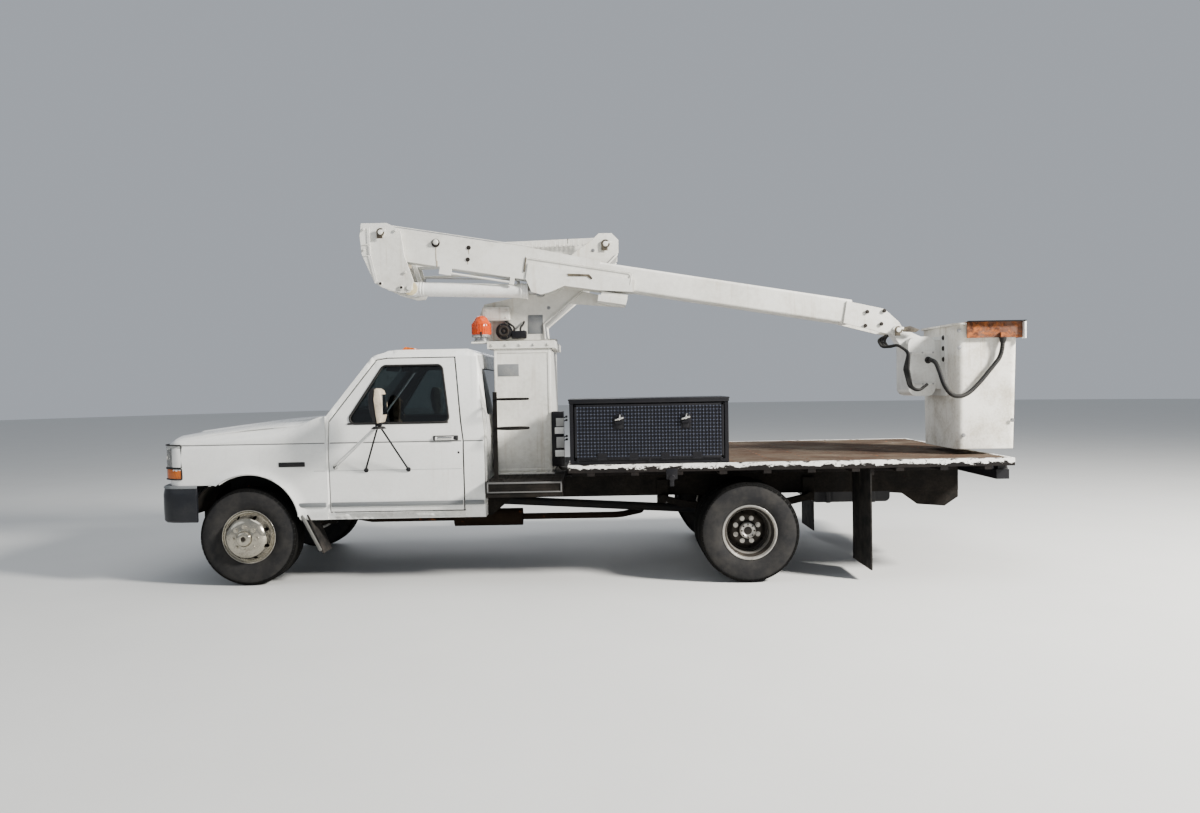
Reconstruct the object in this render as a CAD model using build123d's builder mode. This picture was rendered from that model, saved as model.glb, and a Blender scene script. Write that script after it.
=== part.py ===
from build123d import *
import math
import os

os.makedirs("parts", exist_ok=True)

# Driving dimensions in millimetres. x runs rearwards from the front axle, y towards the
# truck's right side, z up from the ground. LEFT is the driver's side.
LEFT, RIGHT = -1, 1
SIDES = ((LEFT, "left"), (RIGHT, "right"))

# Chassis
WHEELBASE = 4089
FRONT_OVERHANG = 760
TRACK_FRONT = 1720
TRACK_REAR = 1870
RUNNING_GAP = 0.3
BORE_GAP = 0.05
MOVING_GAP = 8
SKIN = 20

# Wheels
TYRE_RADIUS = 403
TYRE_WIDTH = 235
TYRE_SHOULDER = 38
DUAL_TYRE_WIDTH = 225
DUAL_SPACING = 285
RIM_RADIUS = 203
RIM_WALL = 10
RIM_FLANGE = 19
RIM_WIDTH = 176
RIM_LIP_WIDTH = 8
DISC = 14
BOLT_CIRCLE = 100
HAND_HOLE_CIRCLE = 128
HAND_HOLE_RADIUS = 13
WHEEL_BOLTS = 8
NUT_RADIUS = 15
NUT_HEIGHT = 22
HUB_RADIUS = 62
SPINDLE_RADIUS = 42
SPINDLE_GAP = 0.05
HUB_DEPTH = 95
CAP_RADIUS = 72
CAP_HEIGHT = 78

# Frame rails and axles
RAIL_OUTER = 432
RAIL_FLANGE = 70
RAIL_HEIGHT = 180
RAIL_WALL = 8
RAIL_FRONT = -600
RAIL_LOW_TOP = 650
RAIL_HIGH_TOP = 800
RAIL_KICK_START = 1940
RAIL_KICK_END = 2120
RAIL_REAR = 6060
CROSSMEMBER = 90
BODY_MOUNTS = (800, 1860)
BODY_MOUNT_RADIUS = 32
KINGPIN_Y = 700
KINGPIN_RADIUS = 15
AXLE_BOSS_RADIUS = 40
AXLE_BOSS_HEIGHT = 116
AXLE_BEAM_WIDTH = 80
AXLE_BEAM_TOP = 360
AXLE_BEAM_BOTTOM = 275
YOKE = 45
AXLE_TUBE_RADIUS = 55
DIFFERENTIAL_RADIUS = 165
SPRING_WIDTH = 70
FRONT_SPRING = 35
REAR_SPRING = 55
REAR_SPRING_REACH = 640

# Cab
CAB_FRONT = 660
CAB_REAR = 1955
CAB_HALF = 990
CAB_BOTTOM = 533
BELT = 1170
ROOF = 1925
ROOF_HALF = CAB_HALF - 190
DOOR_TOP_HALF = CAB_HALF - 85
DOOR_TOP = 1858
CAB_WALL = 45
DOOR_THICKNESS = 52
DOOR_FRONT_GAP = 10
DOOR_REAR_GAP = 12
DOOR_PIN = (706, CAB_HALF - 11)
DOOR_PIN_RADIUS = 5
DOOR_PIN_LENGTH = 30
FLOOR_TOP = 720
FLOOR_BOTTOM = 690
SILL_INNER = CAB_HALF - 190
SEAT_HALF = CAB_HALF - 270
DASH_HALF = CAB_HALF - 130
DRIVER_Y = 300 - SEAT_HALF
DOOR_FRONT = 690
DOOR_REAR = 1780
DOOR_BOTTOM = 600
GLASS = 6
GLASS_DEPTH = 18
TUNNEL_HALF = 200
TUNNEL_TOP = 830
TUNNEL_REAR = 1420

# Front clip
HOOD_HALF = 745
HOOD_PANEL = 32
HOOD_PIN = (628, 1370)
HOOD_PIN_RADIUS = 6
HOOD_PIN_REACH = 22
NOSE_X = -690
NOSE_BACK = -600
NOSE_TOP = 1172
NOSE_BOTTOM = 836
LAMP_INNER = 620
LAMP_OUTER = 985
LAMP_BOTTOM = 888
LAMP_SPLIT = 978
GRILLE_HALF = 580
GRILLE_BAR = 9
ARCH_RADIUS = 412
ARCH_X = 22
ARCH_Z = 512
LINER_RADIUS = 530
LINER_INNER_Y = 560
LINER_DROP = 180
BUMPER_TOP = 828
BUMPER_BOTTOM = 535
BUMPER_WALL = 20
BUMPER_SIDE_REAR = -400
BUMPER_HORN_FRONT = -732
BUMPER_HALF = 1000

# Bed
BED_FRONT = 2647
BED_REAR = 6187
BED_HALF = 1220
BED_TOP = 969
EDGE_HEIGHT = 62
EDGE_WALL = 30
BOARD = 38
SILL_HEIGHT = 52
BOARDS = 8
BOARD_GROOVE = 5

# Toolbox
BOX_FRONT = 2665
BOX_REAR = 3930
BOX_NEAR = -1180
BOX_FAR = -700
BOX_TOP = 1486
BOX_WALL = 12
HINGE_Y = BOX_NEAR - 6
HINGE_Z = 1006
HINGE_RADIUS = 4

# Pedestal and turret
PIVOT_X = 2250
PEDESTAL_FRONT = 2000
PEDESTAL_REAR = 2490
PEDESTAL_HALF = 550
PLATFORM_BOTTOM = 800
PLATFORM_TOP = 840
FLANGE_BOTTOM = 1930
TURNTABLE_Z = 1995
TURNTABLE_HEIGHT = 35
TURNTABLE_RADIUS = 275
PLATE = 16
TURRET_HALF = 280

# Booms
BOOM_PIN = (2980, 2855)
LOWER_BOOM_LENGTH = 1880
LOWER_BOOM_DROP = 55
LOWER_BOOM_HEIGHT = 190
LOWER_BOOM_WIDTH = 200
BOOM_WALL = 10
PIN_RADIUS = 32
LINK_OFFSET = (-122, -159)
LINK_RADIUS = 20
LINK_Y = 190
UPPER_PIN = (1053, 2942)
UPPER_Y = -450
UPPER_ANGLE = -9.5
UPPER_WIDTH = 180
UPPER_BASE_HEIGHT = 277
UPPER_AXIS_H = -69
UPPER_ARM_HEIGHT = 215
UPPER_BASE_LENGTH = 1905
UPPER_ARM_LENGTH = 4108
DOUBLER = 12
DOUBLER_LENGTH = 2228
ELBOW_PLATE = 24
ELBOW_FAR_HALF = 130
CLEVIS = 14

# Cylinders
LOWER_FOOT = (2050, 2100)
LOWER_EYE = (2530, 2660)
LOWER_BARREL_RADIUS = 46
LOWER_ROD_RADIUS = 25
LOWER_EYE_RADIUS = 35
UPPER_FOOT = (1285, 2469)
UPPER_EYE = (2400, 2430)
UPPER_BARREL_RADIUS = 61
UPPER_ROD_RADIUS = 30
UPPER_EYE_RADIUS = 44

# Bucket
TILT = math.radians(UPPER_ANGLE)
TIP_S = UPPER_ARM_LENGTH + 418.7
TIP_H = -167.2
TIP_PIN = (
    UPPER_PIN[0] + TIP_S * math.cos(TILT) - TIP_H * math.sin(TILT),
    UPPER_PIN[1] + TIP_S * math.sin(TILT) + TIP_H * math.cos(TILT),
)
BUCKET_FRONT = TIP_PIN[0] + 390
BUCKET_LENGTH = 510
BUCKET_NEAR = UPPER_Y - 420
BUCKET_FAR = UPPER_Y + 365
BUCKET_RIM = TIP_PIN[1] + 32
BUCKET_BOTTOM = BUCKET_RIM - 1050
BUCKET_WALL = 14
BUCKET_TAPER = 22
RIM_LIP = 22
TRAY_WALL = 8

BUCKET_REAR = BUCKET_FRONT + BUCKET_LENGTH
REAR_END = BUCKET_REAR + RIM_LIP + RUNNING_GAP + TRAY_WALL
CENTRE_SHIFT = (FRONT_OVERHANG - REAR_END) / 2


def finish(piece, name):
    """Move a finished piece from the axle datum to the middle of the truck and write it."""
    placed = piece.part.moved(Location((CENTRE_SHIFT, 0, 0)))
    placed.label = name
    export_step(placed, f"parts/{name}.step")


def side_plane(y):
    """Vertical plane at y on which sketches use (x, z)."""
    return Plane(origin=(0, y, 0), x_dir=(1, 0, 0), z_dir=(0, -1, 0))


def side_slab(points, y_low, y_high, radius=0, mode=Mode.ADD):
    """Extrude an (x, z) outline between two y planes."""
    with BuildSketch(side_plane(y_high)) as profile:
        with BuildLine():
            if radius:
                FilletPolyline(*points, radius=radius, close=True)
            else:
                Polyline(*points, close=True)
        make_face()
    extrude(profile.sketch, amount=y_high - y_low, mode=mode)


def both_sides(side, y_inner, y_outer):
    """The low and high y of a span given by its distances from the middle."""
    return sorted((side * y_inner, side * y_outer))


def block(x_low, x_high, y_low, y_high, z_low, z_high, mode=Mode.ADD):
    """A rectangular block given by its limits."""
    with Locations(((x_low + x_high) / 2, (y_low + y_high) / 2, (z_low + z_high) / 2)):
        Box(x_high - x_low, y_high - y_low, z_high - z_low, mode=mode)


def bar(start, end, radius, mode=Mode.ADD):
    """A round bar between two points."""
    way = Vector(*end) - Vector(*start)
    with BuildSketch(Plane(origin=start, z_dir=way)) as section:
        Circle(radius)
    extrude(section.sketch, amount=way.length, mode=mode)


def cross_bar(x, z, y_low, y_high, radius, mode=Mode.ADD):
    """A round bar across the truck at one (x, z)."""
    bar((x, y_low, z), (x, y_high, z), radius, mode)


def line_at(start, end, share):
    """The point at a share of the way between two (x, z) points."""
    return tuple(a + (b - a) * share for a, b in zip(start, end))


# Tyres and rims
def tyre_outline(centre_y, width):
    """Half section of a tyre in (radius, y), set on its rim."""
    half = width / 2
    seat = RIM_RADIUS + RUNNING_GAP
    bead = RIM_WIDTH / 2 - RIM_LIP_WIDTH - RUNNING_GAP
    return (
        (seat, centre_y - bead),
        (seat + RIM_FLANGE, centre_y - bead),
        (seat + RIM_FLANGE + 8, centre_y - half + 8),
        (RIM_RADIUS + 90, centre_y - half),
        (TYRE_RADIUS - TYRE_SHOULDER, centre_y - half + 12),
        (TYRE_RADIUS - 8, centre_y - half + TYRE_SHOULDER),
        (TYRE_RADIUS, centre_y - half + TYRE_SHOULDER + 22),
        (TYRE_RADIUS, centre_y + half - TYRE_SHOULDER - 22),
        (TYRE_RADIUS - 8, centre_y + half - TYRE_SHOULDER),
        (TYRE_RADIUS - TYRE_SHOULDER, centre_y + half - 12),
        (RIM_RADIUS + 90, centre_y + half),
        (seat + RIM_FLANGE + 8, centre_y + half - 8),
        (seat + RIM_FLANGE, centre_y + bead),
        (seat, centre_y + bead),
    )


def spin(outline, x):
    """Revolve a (radius, y) outline about the axle at x."""
    half_plane = Plane(origin=(x, 0, TYRE_RADIUS), x_dir=(1, 0, 0), z_dir=(0, 0, 1))
    with BuildSketch(half_plane) as profile:
        with BuildLine():
            Polyline(*outline, close=True)
        make_face()
    revolve(profile.sketch, axis=Axis((x, 0, TYRE_RADIUS), (0, 1, 0)))


def wheel_holes(x, y_face, side, depth):
    """Hand holes through the disc."""
    face = Plane(origin=(x, y_face, TYRE_RADIUS), x_dir=(1, 0, 0), z_dir=(0, side, 0))
    with BuildSketch(face) as holes:
        with PolarLocations(HAND_HOLE_CIRCLE, WHEEL_BOLTS, start_angle=180 / WHEEL_BOLTS):
            Circle(HAND_HOLE_RADIUS)
    extrude(holes.sketch, amount=-depth, mode=Mode.SUBTRACT)


def wheel_nuts(x, y_face, side):
    """Ring of hexagon nuts standing on the disc."""
    face = Plane(origin=(x, y_face, TYRE_RADIUS), x_dir=(1, 0, 0), z_dir=(0, side, 0))
    with BuildSketch(face) as nuts:
        with PolarLocations(BOLT_CIRCLE, WHEEL_BOLTS):
            RegularPolygon(NUT_RADIUS, 6)
    extrude(nuts.sketch, amount=NUT_HEIGHT)


REAR_WHEEL_X = WHEELBASE
DISC_OUT = DUAL_SPACING / 2
BORE = SPINDLE_RADIUS + SPINDLE_GAP
BARREL = RIM_RADIUS - RIM_WALL
FLANGE = RIM_RADIUS + RIM_FLANGE
RIM_HALF = RIM_WIDTH / 2

for side, word in SIDES:
    wheel_y = side * TRACK_FRONT / 2
    with BuildPart() as front_tyre:
        spin(tyre_outline(wheel_y, TYRE_WIDTH), 0)
    finish(front_tyre, f"front_tyre_{word}")

    # The front disc is dished outwards and carries a chromed cap over the hub
    disc_y = wheel_y + side * DISC_OUT
    with BuildPart() as front_rim:
        spin(
            tuple(
                (r, wheel_y + side * y)
                for r, y in (
                    (BORE, 0),
                    (HUB_RADIUS, 0),
                    (HUB_RADIUS, DISC_OUT - DISC),
                    (BOLT_CIRCLE + 55, DISC_OUT - DISC),
                    (BARREL - 12, RIM_HALF - 8),
                    (BARREL, RIM_HALF - 30),
                    (BARREL, -RIM_HALF),
                    (FLANGE, -RIM_HALF),
                    (FLANGE, 8 - RIM_HALF),
                    (RIM_RADIUS, 8 - RIM_HALF),
                    (RIM_RADIUS, RIM_HALF - 8),
                    (FLANGE, RIM_HALF - 8),
                    (FLANGE, RIM_HALF),
                    (BARREL + 4, RIM_HALF),
                    (BOLT_CIRCLE + 62, DISC_OUT),
                    (CAP_RADIUS, DISC_OUT),
                    (CAP_RADIUS, DISC_OUT + CAP_HEIGHT - 12),
                    (CAP_RADIUS - 14, DISC_OUT + CAP_HEIGHT),
                    (0, DISC_OUT + CAP_HEIGHT),
                    (0, DISC_OUT + 8),
                    (BORE, DISC_OUT + 8),
                )
            ),
            0,
        )
        wheel_holes(0, disc_y + side, side, 3 * DISC)
        wheel_nuts(0, disc_y, side)
    finish(front_rim, f"front_rim_{word}")

    # Twin rear wheels are dished towards each other and bolted disc to disc
    dual_y = side * TRACK_REAR / 2
    with BuildPart() as rear_tyres:
        for shift in (-DISC_OUT, DISC_OUT):
            spin(tyre_outline(dual_y + shift, DUAL_TYRE_WIDTH), REAR_WHEEL_X)
    finish(rear_tyres, f"rear_tyres_{word}")

    half_twin = (
        (HUB_RADIUS, DISC),
        (BOLT_CIRCLE + 50, DISC),
        (BARREL, DISC_OUT - RIM_HALF + 8),
        (BARREL, DISC_OUT + RIM_HALF),
        (FLANGE, DISC_OUT + RIM_HALF),
        (FLANGE, DISC_OUT + RIM_HALF - 8),
        (RIM_RADIUS, DISC_OUT + RIM_HALF - 8),
        (RIM_RADIUS, DISC_OUT - RIM_HALF + 8),
        (FLANGE, DISC_OUT - RIM_HALF + 8),
        (FLANGE, DISC_OUT - RIM_HALF),
        (RIM_RADIUS - 2, DISC_OUT - RIM_HALF),
        (BOLT_CIRCLE + 58, 0),
    )
    with BuildPart() as rear_rims:
        spin(
            tuple(
                (r, dual_y + side * y)
                for r, y in (
                    (BORE, -HUB_DEPTH),
                    (HUB_RADIUS, -HUB_DEPTH),
                    *((r, -y) for r, y in half_twin),
                    *reversed(half_twin[:-1]),
                    (HUB_RADIUS, HUB_DEPTH),
                    (0, HUB_DEPTH),
                    (0, HUB_DEPTH - 15),
                    (BORE, HUB_DEPTH - 15),
                )
            ),
            REAR_WHEEL_X,
        )
        wheel_holes(REAR_WHEEL_X, dual_y + side * 2 * DISC, side, 4 * DISC)
        wheel_nuts(REAR_WHEEL_X, dual_y + side * DISC, side)
    finish(rear_rims, f"rear_rims_{word}")

# Knuckles: a yoke above and below the axle's boss, a kingpin and a spindle
boss_half = AXLE_BOSS_HEIGHT / 2
yoke_gap = boss_half + RUNNING_GAP
for side, word in SIDES:
    kingpin_y = side * KINGPIN_Y
    web_inner = AXLE_BOSS_RADIUS + MOVING_GAP
    web_outer = web_inner + 24
    with BuildPart() as knuckle:
        for z_low, z_high in (
            (TYRE_RADIUS - yoke_gap - YOKE, TYRE_RADIUS - yoke_gap),
            (TYRE_RADIUS + yoke_gap, TYRE_RADIUS + yoke_gap + YOKE),
        ):
            bar((0, kingpin_y, z_low), (0, kingpin_y, z_high), AXLE_BOSS_RADIUS)
            block(-30, 30, *both_sides(side, KINGPIN_Y, KINGPIN_Y + web_outer), z_low, z_high)
        reach = yoke_gap + YOKE
        bar((0, kingpin_y, TYRE_RADIUS - reach), (0, kingpin_y, TYRE_RADIUS + reach), KINGPIN_RADIUS)
        web = both_sides(side, KINGPIN_Y + web_inner, KINGPIN_Y + web_outer)
        block(-45, 45, *web, TYRE_RADIUS - reach, TYRE_RADIUS + reach)
        spindle_start = side * (KINGPIN_Y + web_inner + 4)
        spindle_end = side * (TRACK_FRONT / 2 + DISC_OUT)
        cross_bar(0, TYRE_RADIUS, spindle_start, spindle_end, SPINDLE_RADIUS)
    finish(knuckle, f"knuckle_{word}")

# Front axle: dropped beam with kingpin bosses, on two leaf springs
spring_y = RAIL_OUTER - RAIL_FLANGE / 2
with BuildPart() as front_axle:
    for side in (LEFT, RIGHT):
        centre = side * KINGPIN_Y
        bar(
            (0, centre, TYRE_RADIUS - boss_half),
            (0, centre, TYRE_RADIUS + boss_half),
            AXLE_BOSS_RADIUS,
        )
    beam_end = KINGPIN_Y - 10
    with BuildSketch(Plane.YZ.offset(-AXLE_BEAM_WIDTH / 2)):
        with BuildLine():
            Polyline(
                (-beam_end, TYRE_RADIUS - boss_half + 8),
                (-beam_end + 45, TYRE_RADIUS - boss_half + 8),
                (-spring_y - 110, AXLE_BEAM_BOTTOM),
                (spring_y + 110, AXLE_BEAM_BOTTOM),
                (beam_end - 45, TYRE_RADIUS - boss_half + 8),
                (beam_end, TYRE_RADIUS - boss_half + 8),
                (beam_end, TYRE_RADIUS + boss_half - 8),
                (spring_y + 130, AXLE_BEAM_TOP),
                (-spring_y - 130, AXLE_BEAM_TOP),
                (-beam_end, TYRE_RADIUS + boss_half - 8),
                close=True,
            )
        make_face()
    extrude(amount=AXLE_BEAM_WIDTH)
    for side in (LEFT, RIGHT):
        centre = side * KINGPIN_Y
        bar(
            (0, centre, TYRE_RADIUS - boss_half),
            (0, centre, TYRE_RADIUS + boss_half),
            KINGPIN_RADIUS + RUNNING_GAP / 6,
            Mode.SUBTRACT,
        )
        leaf = both_sides(side, spring_y - SPRING_WIDTH / 2, spring_y + SPRING_WIDTH / 2)
        with BuildSketch(side_plane(leaf[1])):
            with BuildLine():
                rail_bottom = RAIL_LOW_TOP - RAIL_HEIGHT
                low = ThreePointArc((-500, rail_bottom - 40), (0, AXLE_BEAM_TOP), (520, rail_bottom - 40))
                high = ThreePointArc(
                    (-500, rail_bottom - 40 + FRONT_SPRING),
                    (0, AXLE_BEAM_TOP + FRONT_SPRING),
                    (520, rail_bottom - 40 + FRONT_SPRING),
                )
                Line(low @ 0, high @ 0)
                Line(low @ 1, high @ 1)
            make_face()
        extrude(amount=SPRING_WIDTH)
        for x_low in (-540, 500):
            block(x_low, x_low + 60, *leaf, rail_bottom - 50, rail_bottom)
finish(front_axle, "front_axle")

# Rear axle: tube, differential, spindles and two leaf springs
rear_spring_y = RAIL_OUTER + 33 + SPRING_WIDTH / 2
with BuildPart() as rear_axle:
    tube_end = TRACK_REAR / 2 - HUB_DEPTH - 5
    cross_bar(REAR_WHEEL_X, TYRE_RADIUS, -tube_end, tube_end, AXLE_TUBE_RADIUS)
    spindle_end = TRACK_REAR / 2 + HUB_DEPTH - 20
    cross_bar(REAR_WHEEL_X, TYRE_RADIUS, -spindle_end, spindle_end, SPINDLE_RADIUS)
    with Locations((REAR_WHEEL_X, 0, TYRE_RADIUS)):
        Sphere(DIFFERENTIAL_RADIUS)
    for side in (LEFT, RIGHT):
        leaf = both_sides(
            side, rear_spring_y - SPRING_WIDTH / 2, rear_spring_y + SPRING_WIDTH / 2
        )
        seat = TYRE_RADIUS + AXLE_TUBE_RADIUS + 25
        eye_z = RAIL_HIGH_TOP - RAIL_HEIGHT - 20
        with BuildSketch(side_plane(leaf[1])):
            with BuildLine():
                low = ThreePointArc(
                    (REAR_WHEEL_X - REAR_SPRING_REACH, eye_z - REAR_SPRING / 2),
                    (REAR_WHEEL_X, seat),
                    (REAR_WHEEL_X + REAR_SPRING_REACH, eye_z - REAR_SPRING / 2),
                )
                high = ThreePointArc(
                    (REAR_WHEEL_X - REAR_SPRING_REACH, eye_z + REAR_SPRING / 2),
                    (REAR_WHEEL_X, seat + REAR_SPRING),
                    (REAR_WHEEL_X + REAR_SPRING_REACH, eye_z + REAR_SPRING / 2),
                )
                Line(low @ 0, high @ 0)
                Line(low @ 1, high @ 1)
            make_face()
        extrude(amount=SPRING_WIDTH)
        block(REAR_WHEEL_X - 70, REAR_WHEEL_X + 70, *leaf, TYRE_RADIUS, seat + 5)
        for x in (REAR_WHEEL_X - REAR_SPRING_REACH, REAR_WHEEL_X + REAR_SPRING_REACH):
            cross_bar(x, eye_z, *leaf, REAR_SPRING / 2 + 8)
finish(rear_axle, "rear_axle")

# Ladder frame: two channel rails that kick up behind the cab, and crossmembers
rail_line = (
    (RAIL_FRONT, RAIL_LOW_TOP),
    (RAIL_KICK_START, RAIL_LOW_TOP),
    (RAIL_KICK_END, RAIL_HIGH_TOP),
    (RAIL_REAR, RAIL_HIGH_TOP),
)


def rail_outline(down_low, down_high):
    """The rail's side outline between two depths below its top line."""
    upper = tuple((x, z - down_low) for x, z in rail_line)
    lower = tuple((x, z - down_high) for x, z in reversed(rail_line))
    return upper + lower


CROSSMEMBERS = (
    # x, z of the top, height
    (-540, RAIL_LOW_TOP - 8, 120),
    (160, RAIL_LOW_TOP - RAIL_HEIGHT, 40),
    (1080, RAIL_LOW_TOP - RAIL_HEIGHT + 40, 60),
    (2250, RAIL_HIGH_TOP - 8, 120),
    (3250, RAIL_HIGH_TOP - 8, 120),
    (4680, RAIL_HIGH_TOP - 8, 90),
    (6000, RAIL_HIGH_TOP - 8, 150),
)
HITCH_HALF = 200
HITCH_TOP = 780
HITCH_BOTTOM = 560
HITCH_PLATE = 16
HITCH_BOLT_X = 240
HITCH_BOLT_Z = 130
HITCH_BOLT_RADIUS = 9
HITCH_X = RAIL_REAR + HITCH_PLATE

with BuildPart() as frame:
    for side in (LEFT, RIGHT):
        rail = both_sides(side, RAIL_OUTER - RAIL_FLANGE, RAIL_OUTER)
        side_slab(rail_outline(0, RAIL_HEIGHT), *rail)
        hollow = both_sides(side, RAIL_OUTER - RAIL_FLANGE, RAIL_OUTER - RAIL_WALL)
        side_slab(rail_outline(RAIL_WALL, RAIL_HEIGHT - RAIL_WALL), *hollow, mode=Mode.SUBTRACT)
        mount_y = side * (RAIL_OUTER - RAIL_FLANGE / 2)
        for x in BODY_MOUNTS:
            bar((x, mount_y, RAIL_LOW_TOP - 1), (x, mount_y, FLOOR_BOTTOM), BODY_MOUNT_RADIUS)
    inner = RAIL_OUTER - RAIL_WALL
    for x, top, height in CROSSMEMBERS:
        block(x - CROSSMEMBER / 2, x + CROSSMEMBER / 2, -inner, inner, top - height, top)
    for side in (LEFT, RIGHT):
        bracket = both_sides(side, RAIL_OUTER - 2, rear_spring_y - SPRING_WIDTH / 2)
        for x in (REAR_WHEEL_X - REAR_SPRING_REACH, REAR_WHEEL_X + REAR_SPRING_REACH):
            block(x - 50, x + 50, *bracket, eye_z - 45, RAIL_HIGH_TOP - 40)
        # Plates under the rear of the rails that carry the hitch
        plate = both_sides(side, RAIL_OUTER - 20, RAIL_OUTER - 4)
        side_slab(
            (
                (5530, RAIL_HIGH_TOP - RAIL_HEIGHT + 4),
                (5700, 500),
                (5940, 480),
                (RAIL_REAR, HITCH_BOTTOM),
                (RAIL_REAR, RAIL_HIGH_TOP - RAIL_HEIGHT + 4),
            ),
            *plate,
        )
    block(RAIL_REAR - 60, RAIL_REAR, -RAIL_OUTER + 4, RAIL_OUTER - 4, HITCH_BOTTOM, HITCH_BOTTOM + 70)
    block(RAIL_REAR - 4, HITCH_X, -HITCH_HALF, HITCH_HALF, HITCH_BOTTOM, HITCH_TOP)
    hitch_face = Plane(origin=(HITCH_X, 0, (HITCH_TOP + HITCH_BOTTOM) / 2), x_dir=(0, 1, 0), z_dir=(1, 0, 0))
    with BuildSketch(hitch_face):
        with GridLocations(HITCH_BOLT_X, HITCH_BOLT_Z, 2, 2):
            Circle(HITCH_BOLT_RADIUS)
    extrude(amount=-HITCH_PLATE, mode=Mode.SUBTRACT)
finish(frame, "frame")

# Engine as one plain block, with its radiator, gearbox and propeller shaft
ENGINE_FRONT = -420
ENGINE_REAR = 500
with BuildPart() as engine:
    block(ENGINE_FRONT, ENGINE_REAR, -290, 290, RAIL_LOW_TOP - RAIL_HEIGHT, 1080)
    block(ENGINE_REAR, 1250, -150, 150, RAIL_LOW_TOP - RAIL_HEIGHT + 40, 770)
    bar((1240, 0, 590), (REAR_WHEEL_X - DIFFERENTIAL_RADIUS + 14, 0, 425), 38)
    with BuildSketch(side_plane(0)):
        with Locations((REAR_WHEEL_X, TYRE_RADIUS)):
            Circle(DIFFERENTIAL_RADIUS + RUNNING_GAP)
    extrude(amount=80, both=True, mode=Mode.SUBTRACT)
    # Fan shroud and radiator ahead of the block
    block(-560, -500, -350, 350, RAIL_LOW_TOP - 8, 1150)
    bar((-500, 0, 850), (ENGINE_FRONT, 0, 850), 200)
finish(engine, "engine_and_shaft")

# Fuel tank slung between the rails behind the axle
with BuildPart() as tank:
    tank_half = RAIL_OUTER - RAIL_FLANGE - RUNNING_GAP
    block(4780, 5480, -tank_half, tank_half, 520, 770)
    fillet(tank.edges().filter_by(Axis.Y), radius=45)
    block(4786, 5474, -tank_half + 6, tank_half - 6, 566, 724, Mode.SUBTRACT)
finish(tank, "fuel_tank")

# Exhaust with its silencer, let out ahead of the right rear wheels
with BuildPart() as exhaust:
    with BuildLine() as route:
        FilletPolyline(
            (440, 240, RAIL_LOW_TOP - RAIL_HEIGHT),
            (440, 240, 400),
            (700, 240, 352),
            (3080, 240, 352),
            (3300, 520, 352),
            (3300, 900, 352),
            radius=(30, 60, 160, 120),
        )
    with BuildSketch(Plane(origin=route.line @ 0, z_dir=route.line % 0)):
        Circle(30)
    sweep()
    bar((1500, 240, 352), (2150, 240, 352), 82)
finish(exhaust, "exhaust")

# Cab, from a side outline and a front outline
CAB_SIDE = (
    (CAB_FRONT, CAB_BOTTOM),
    (CAB_FRONT, 1385),
    (1045, 1878),
    (1200, ROOF),
    (1810, ROOF),
    (1892, 1885),
    (CAB_REAR, 1240),
    (CAB_REAR, CAB_BOTTOM),
)
CAB_ACROSS = (
    (CAB_HALF - 12, CAB_BOTTOM),
    (CAB_HALF, CAB_BOTTOM + 90),
    (CAB_HALF, BELT),
    (DOOR_TOP_HALF, DOOR_TOP),
    (ROOF_HALF, ROOF + 2),
)
ROOF_CROWN = 22
DOOR_SIDE = (
    (DOOR_FRONT, DOOR_BOTTOM),
    (DOOR_FRONT, 1335),
    (1078, DOOR_TOP - 22),
    (1165, DOOR_TOP - 8),
    (1712, DOOR_TOP - 8),
    (DOOR_REAR - 22, BELT + 160),
    (DOOR_REAR, BELT),
    (DOOR_REAR, DOOR_BOTTOM),
)
WINDOW_SIDE = ((820, 1320), (1672, 1320), (1612, 1792), (1128, 1792))


def cab_body(inset_side, inset_across, x_grow=0):
    """The cab's outer form, drawn in by given amounts from the side and the front."""
    with BuildPart() as body:
        with BuildSketch(side_plane(0)):
            with BuildLine():
                Polyline(*CAB_SIDE, close=True)
            make_face()
            if inset_side:
                offset(amount=-inset_side, kind=Kind.INTERSECTION, mode=Mode.REPLACE)
        extrude(amount=2 * CAB_HALF, both=True)
        with BuildSketch(Plane.YZ.offset(CAB_FRONT - x_grow)):
            with BuildLine():
                points = [(y, z) for y, z in CAB_ACROSS]
                points.append((0, ROOF + ROOF_CROWN))
                points.extend((-y, z) for y, z in reversed(CAB_ACROSS))
                Polyline(*points, close=True)
            make_face()
            if inset_across:
                offset(amount=-inset_across, kind=Kind.INTERSECTION, mode=Mode.REPLACE)
        extrude(amount=CAB_REAR - CAB_FRONT + 2 * x_grow, mode=Mode.INTERSECT)
    return body.part


cab_outer = cab_body(0, 0)
door_inner = cab_body(0, DOOR_THICKNESS, 50)
cab_core = cab_body(0, DOOR_THICKNESS + MOVING_GAP, 50)
cavity = cab_body(CAB_WALL, DOOR_THICKNESS + MOVING_GAP, 50)
glass_outer = cab_body(0, GLASS_DEPTH, 50)
glass_inner = cab_body(0, GLASS_DEPTH + GLASS, 50)


def grown(points, front, rear, bottom, top):
    """The door's outline moved out by the gaps at its edges."""
    middle = sum(x for x, z in points) / len(points)
    centre = sum(z for x, z in points) / len(points)
    return tuple(
        (x - front if x < middle else x + rear, z - bottom if z < centre else z + top)
        for x, z in points
    )


def windscreen_plane():
    """The plane of the windscreen, its y down the glass."""
    base, head = CAB_SIDE[1], CAB_SIDE[2]
    middle = line_at(base, head, 0.5)
    run, rise = head[0] - base[0], head[1] - base[1]
    return Plane(origin=(middle[0], 0, middle[1]), x_dir=(0, 1, 0), z_dir=(-rise, 0, run))


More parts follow.
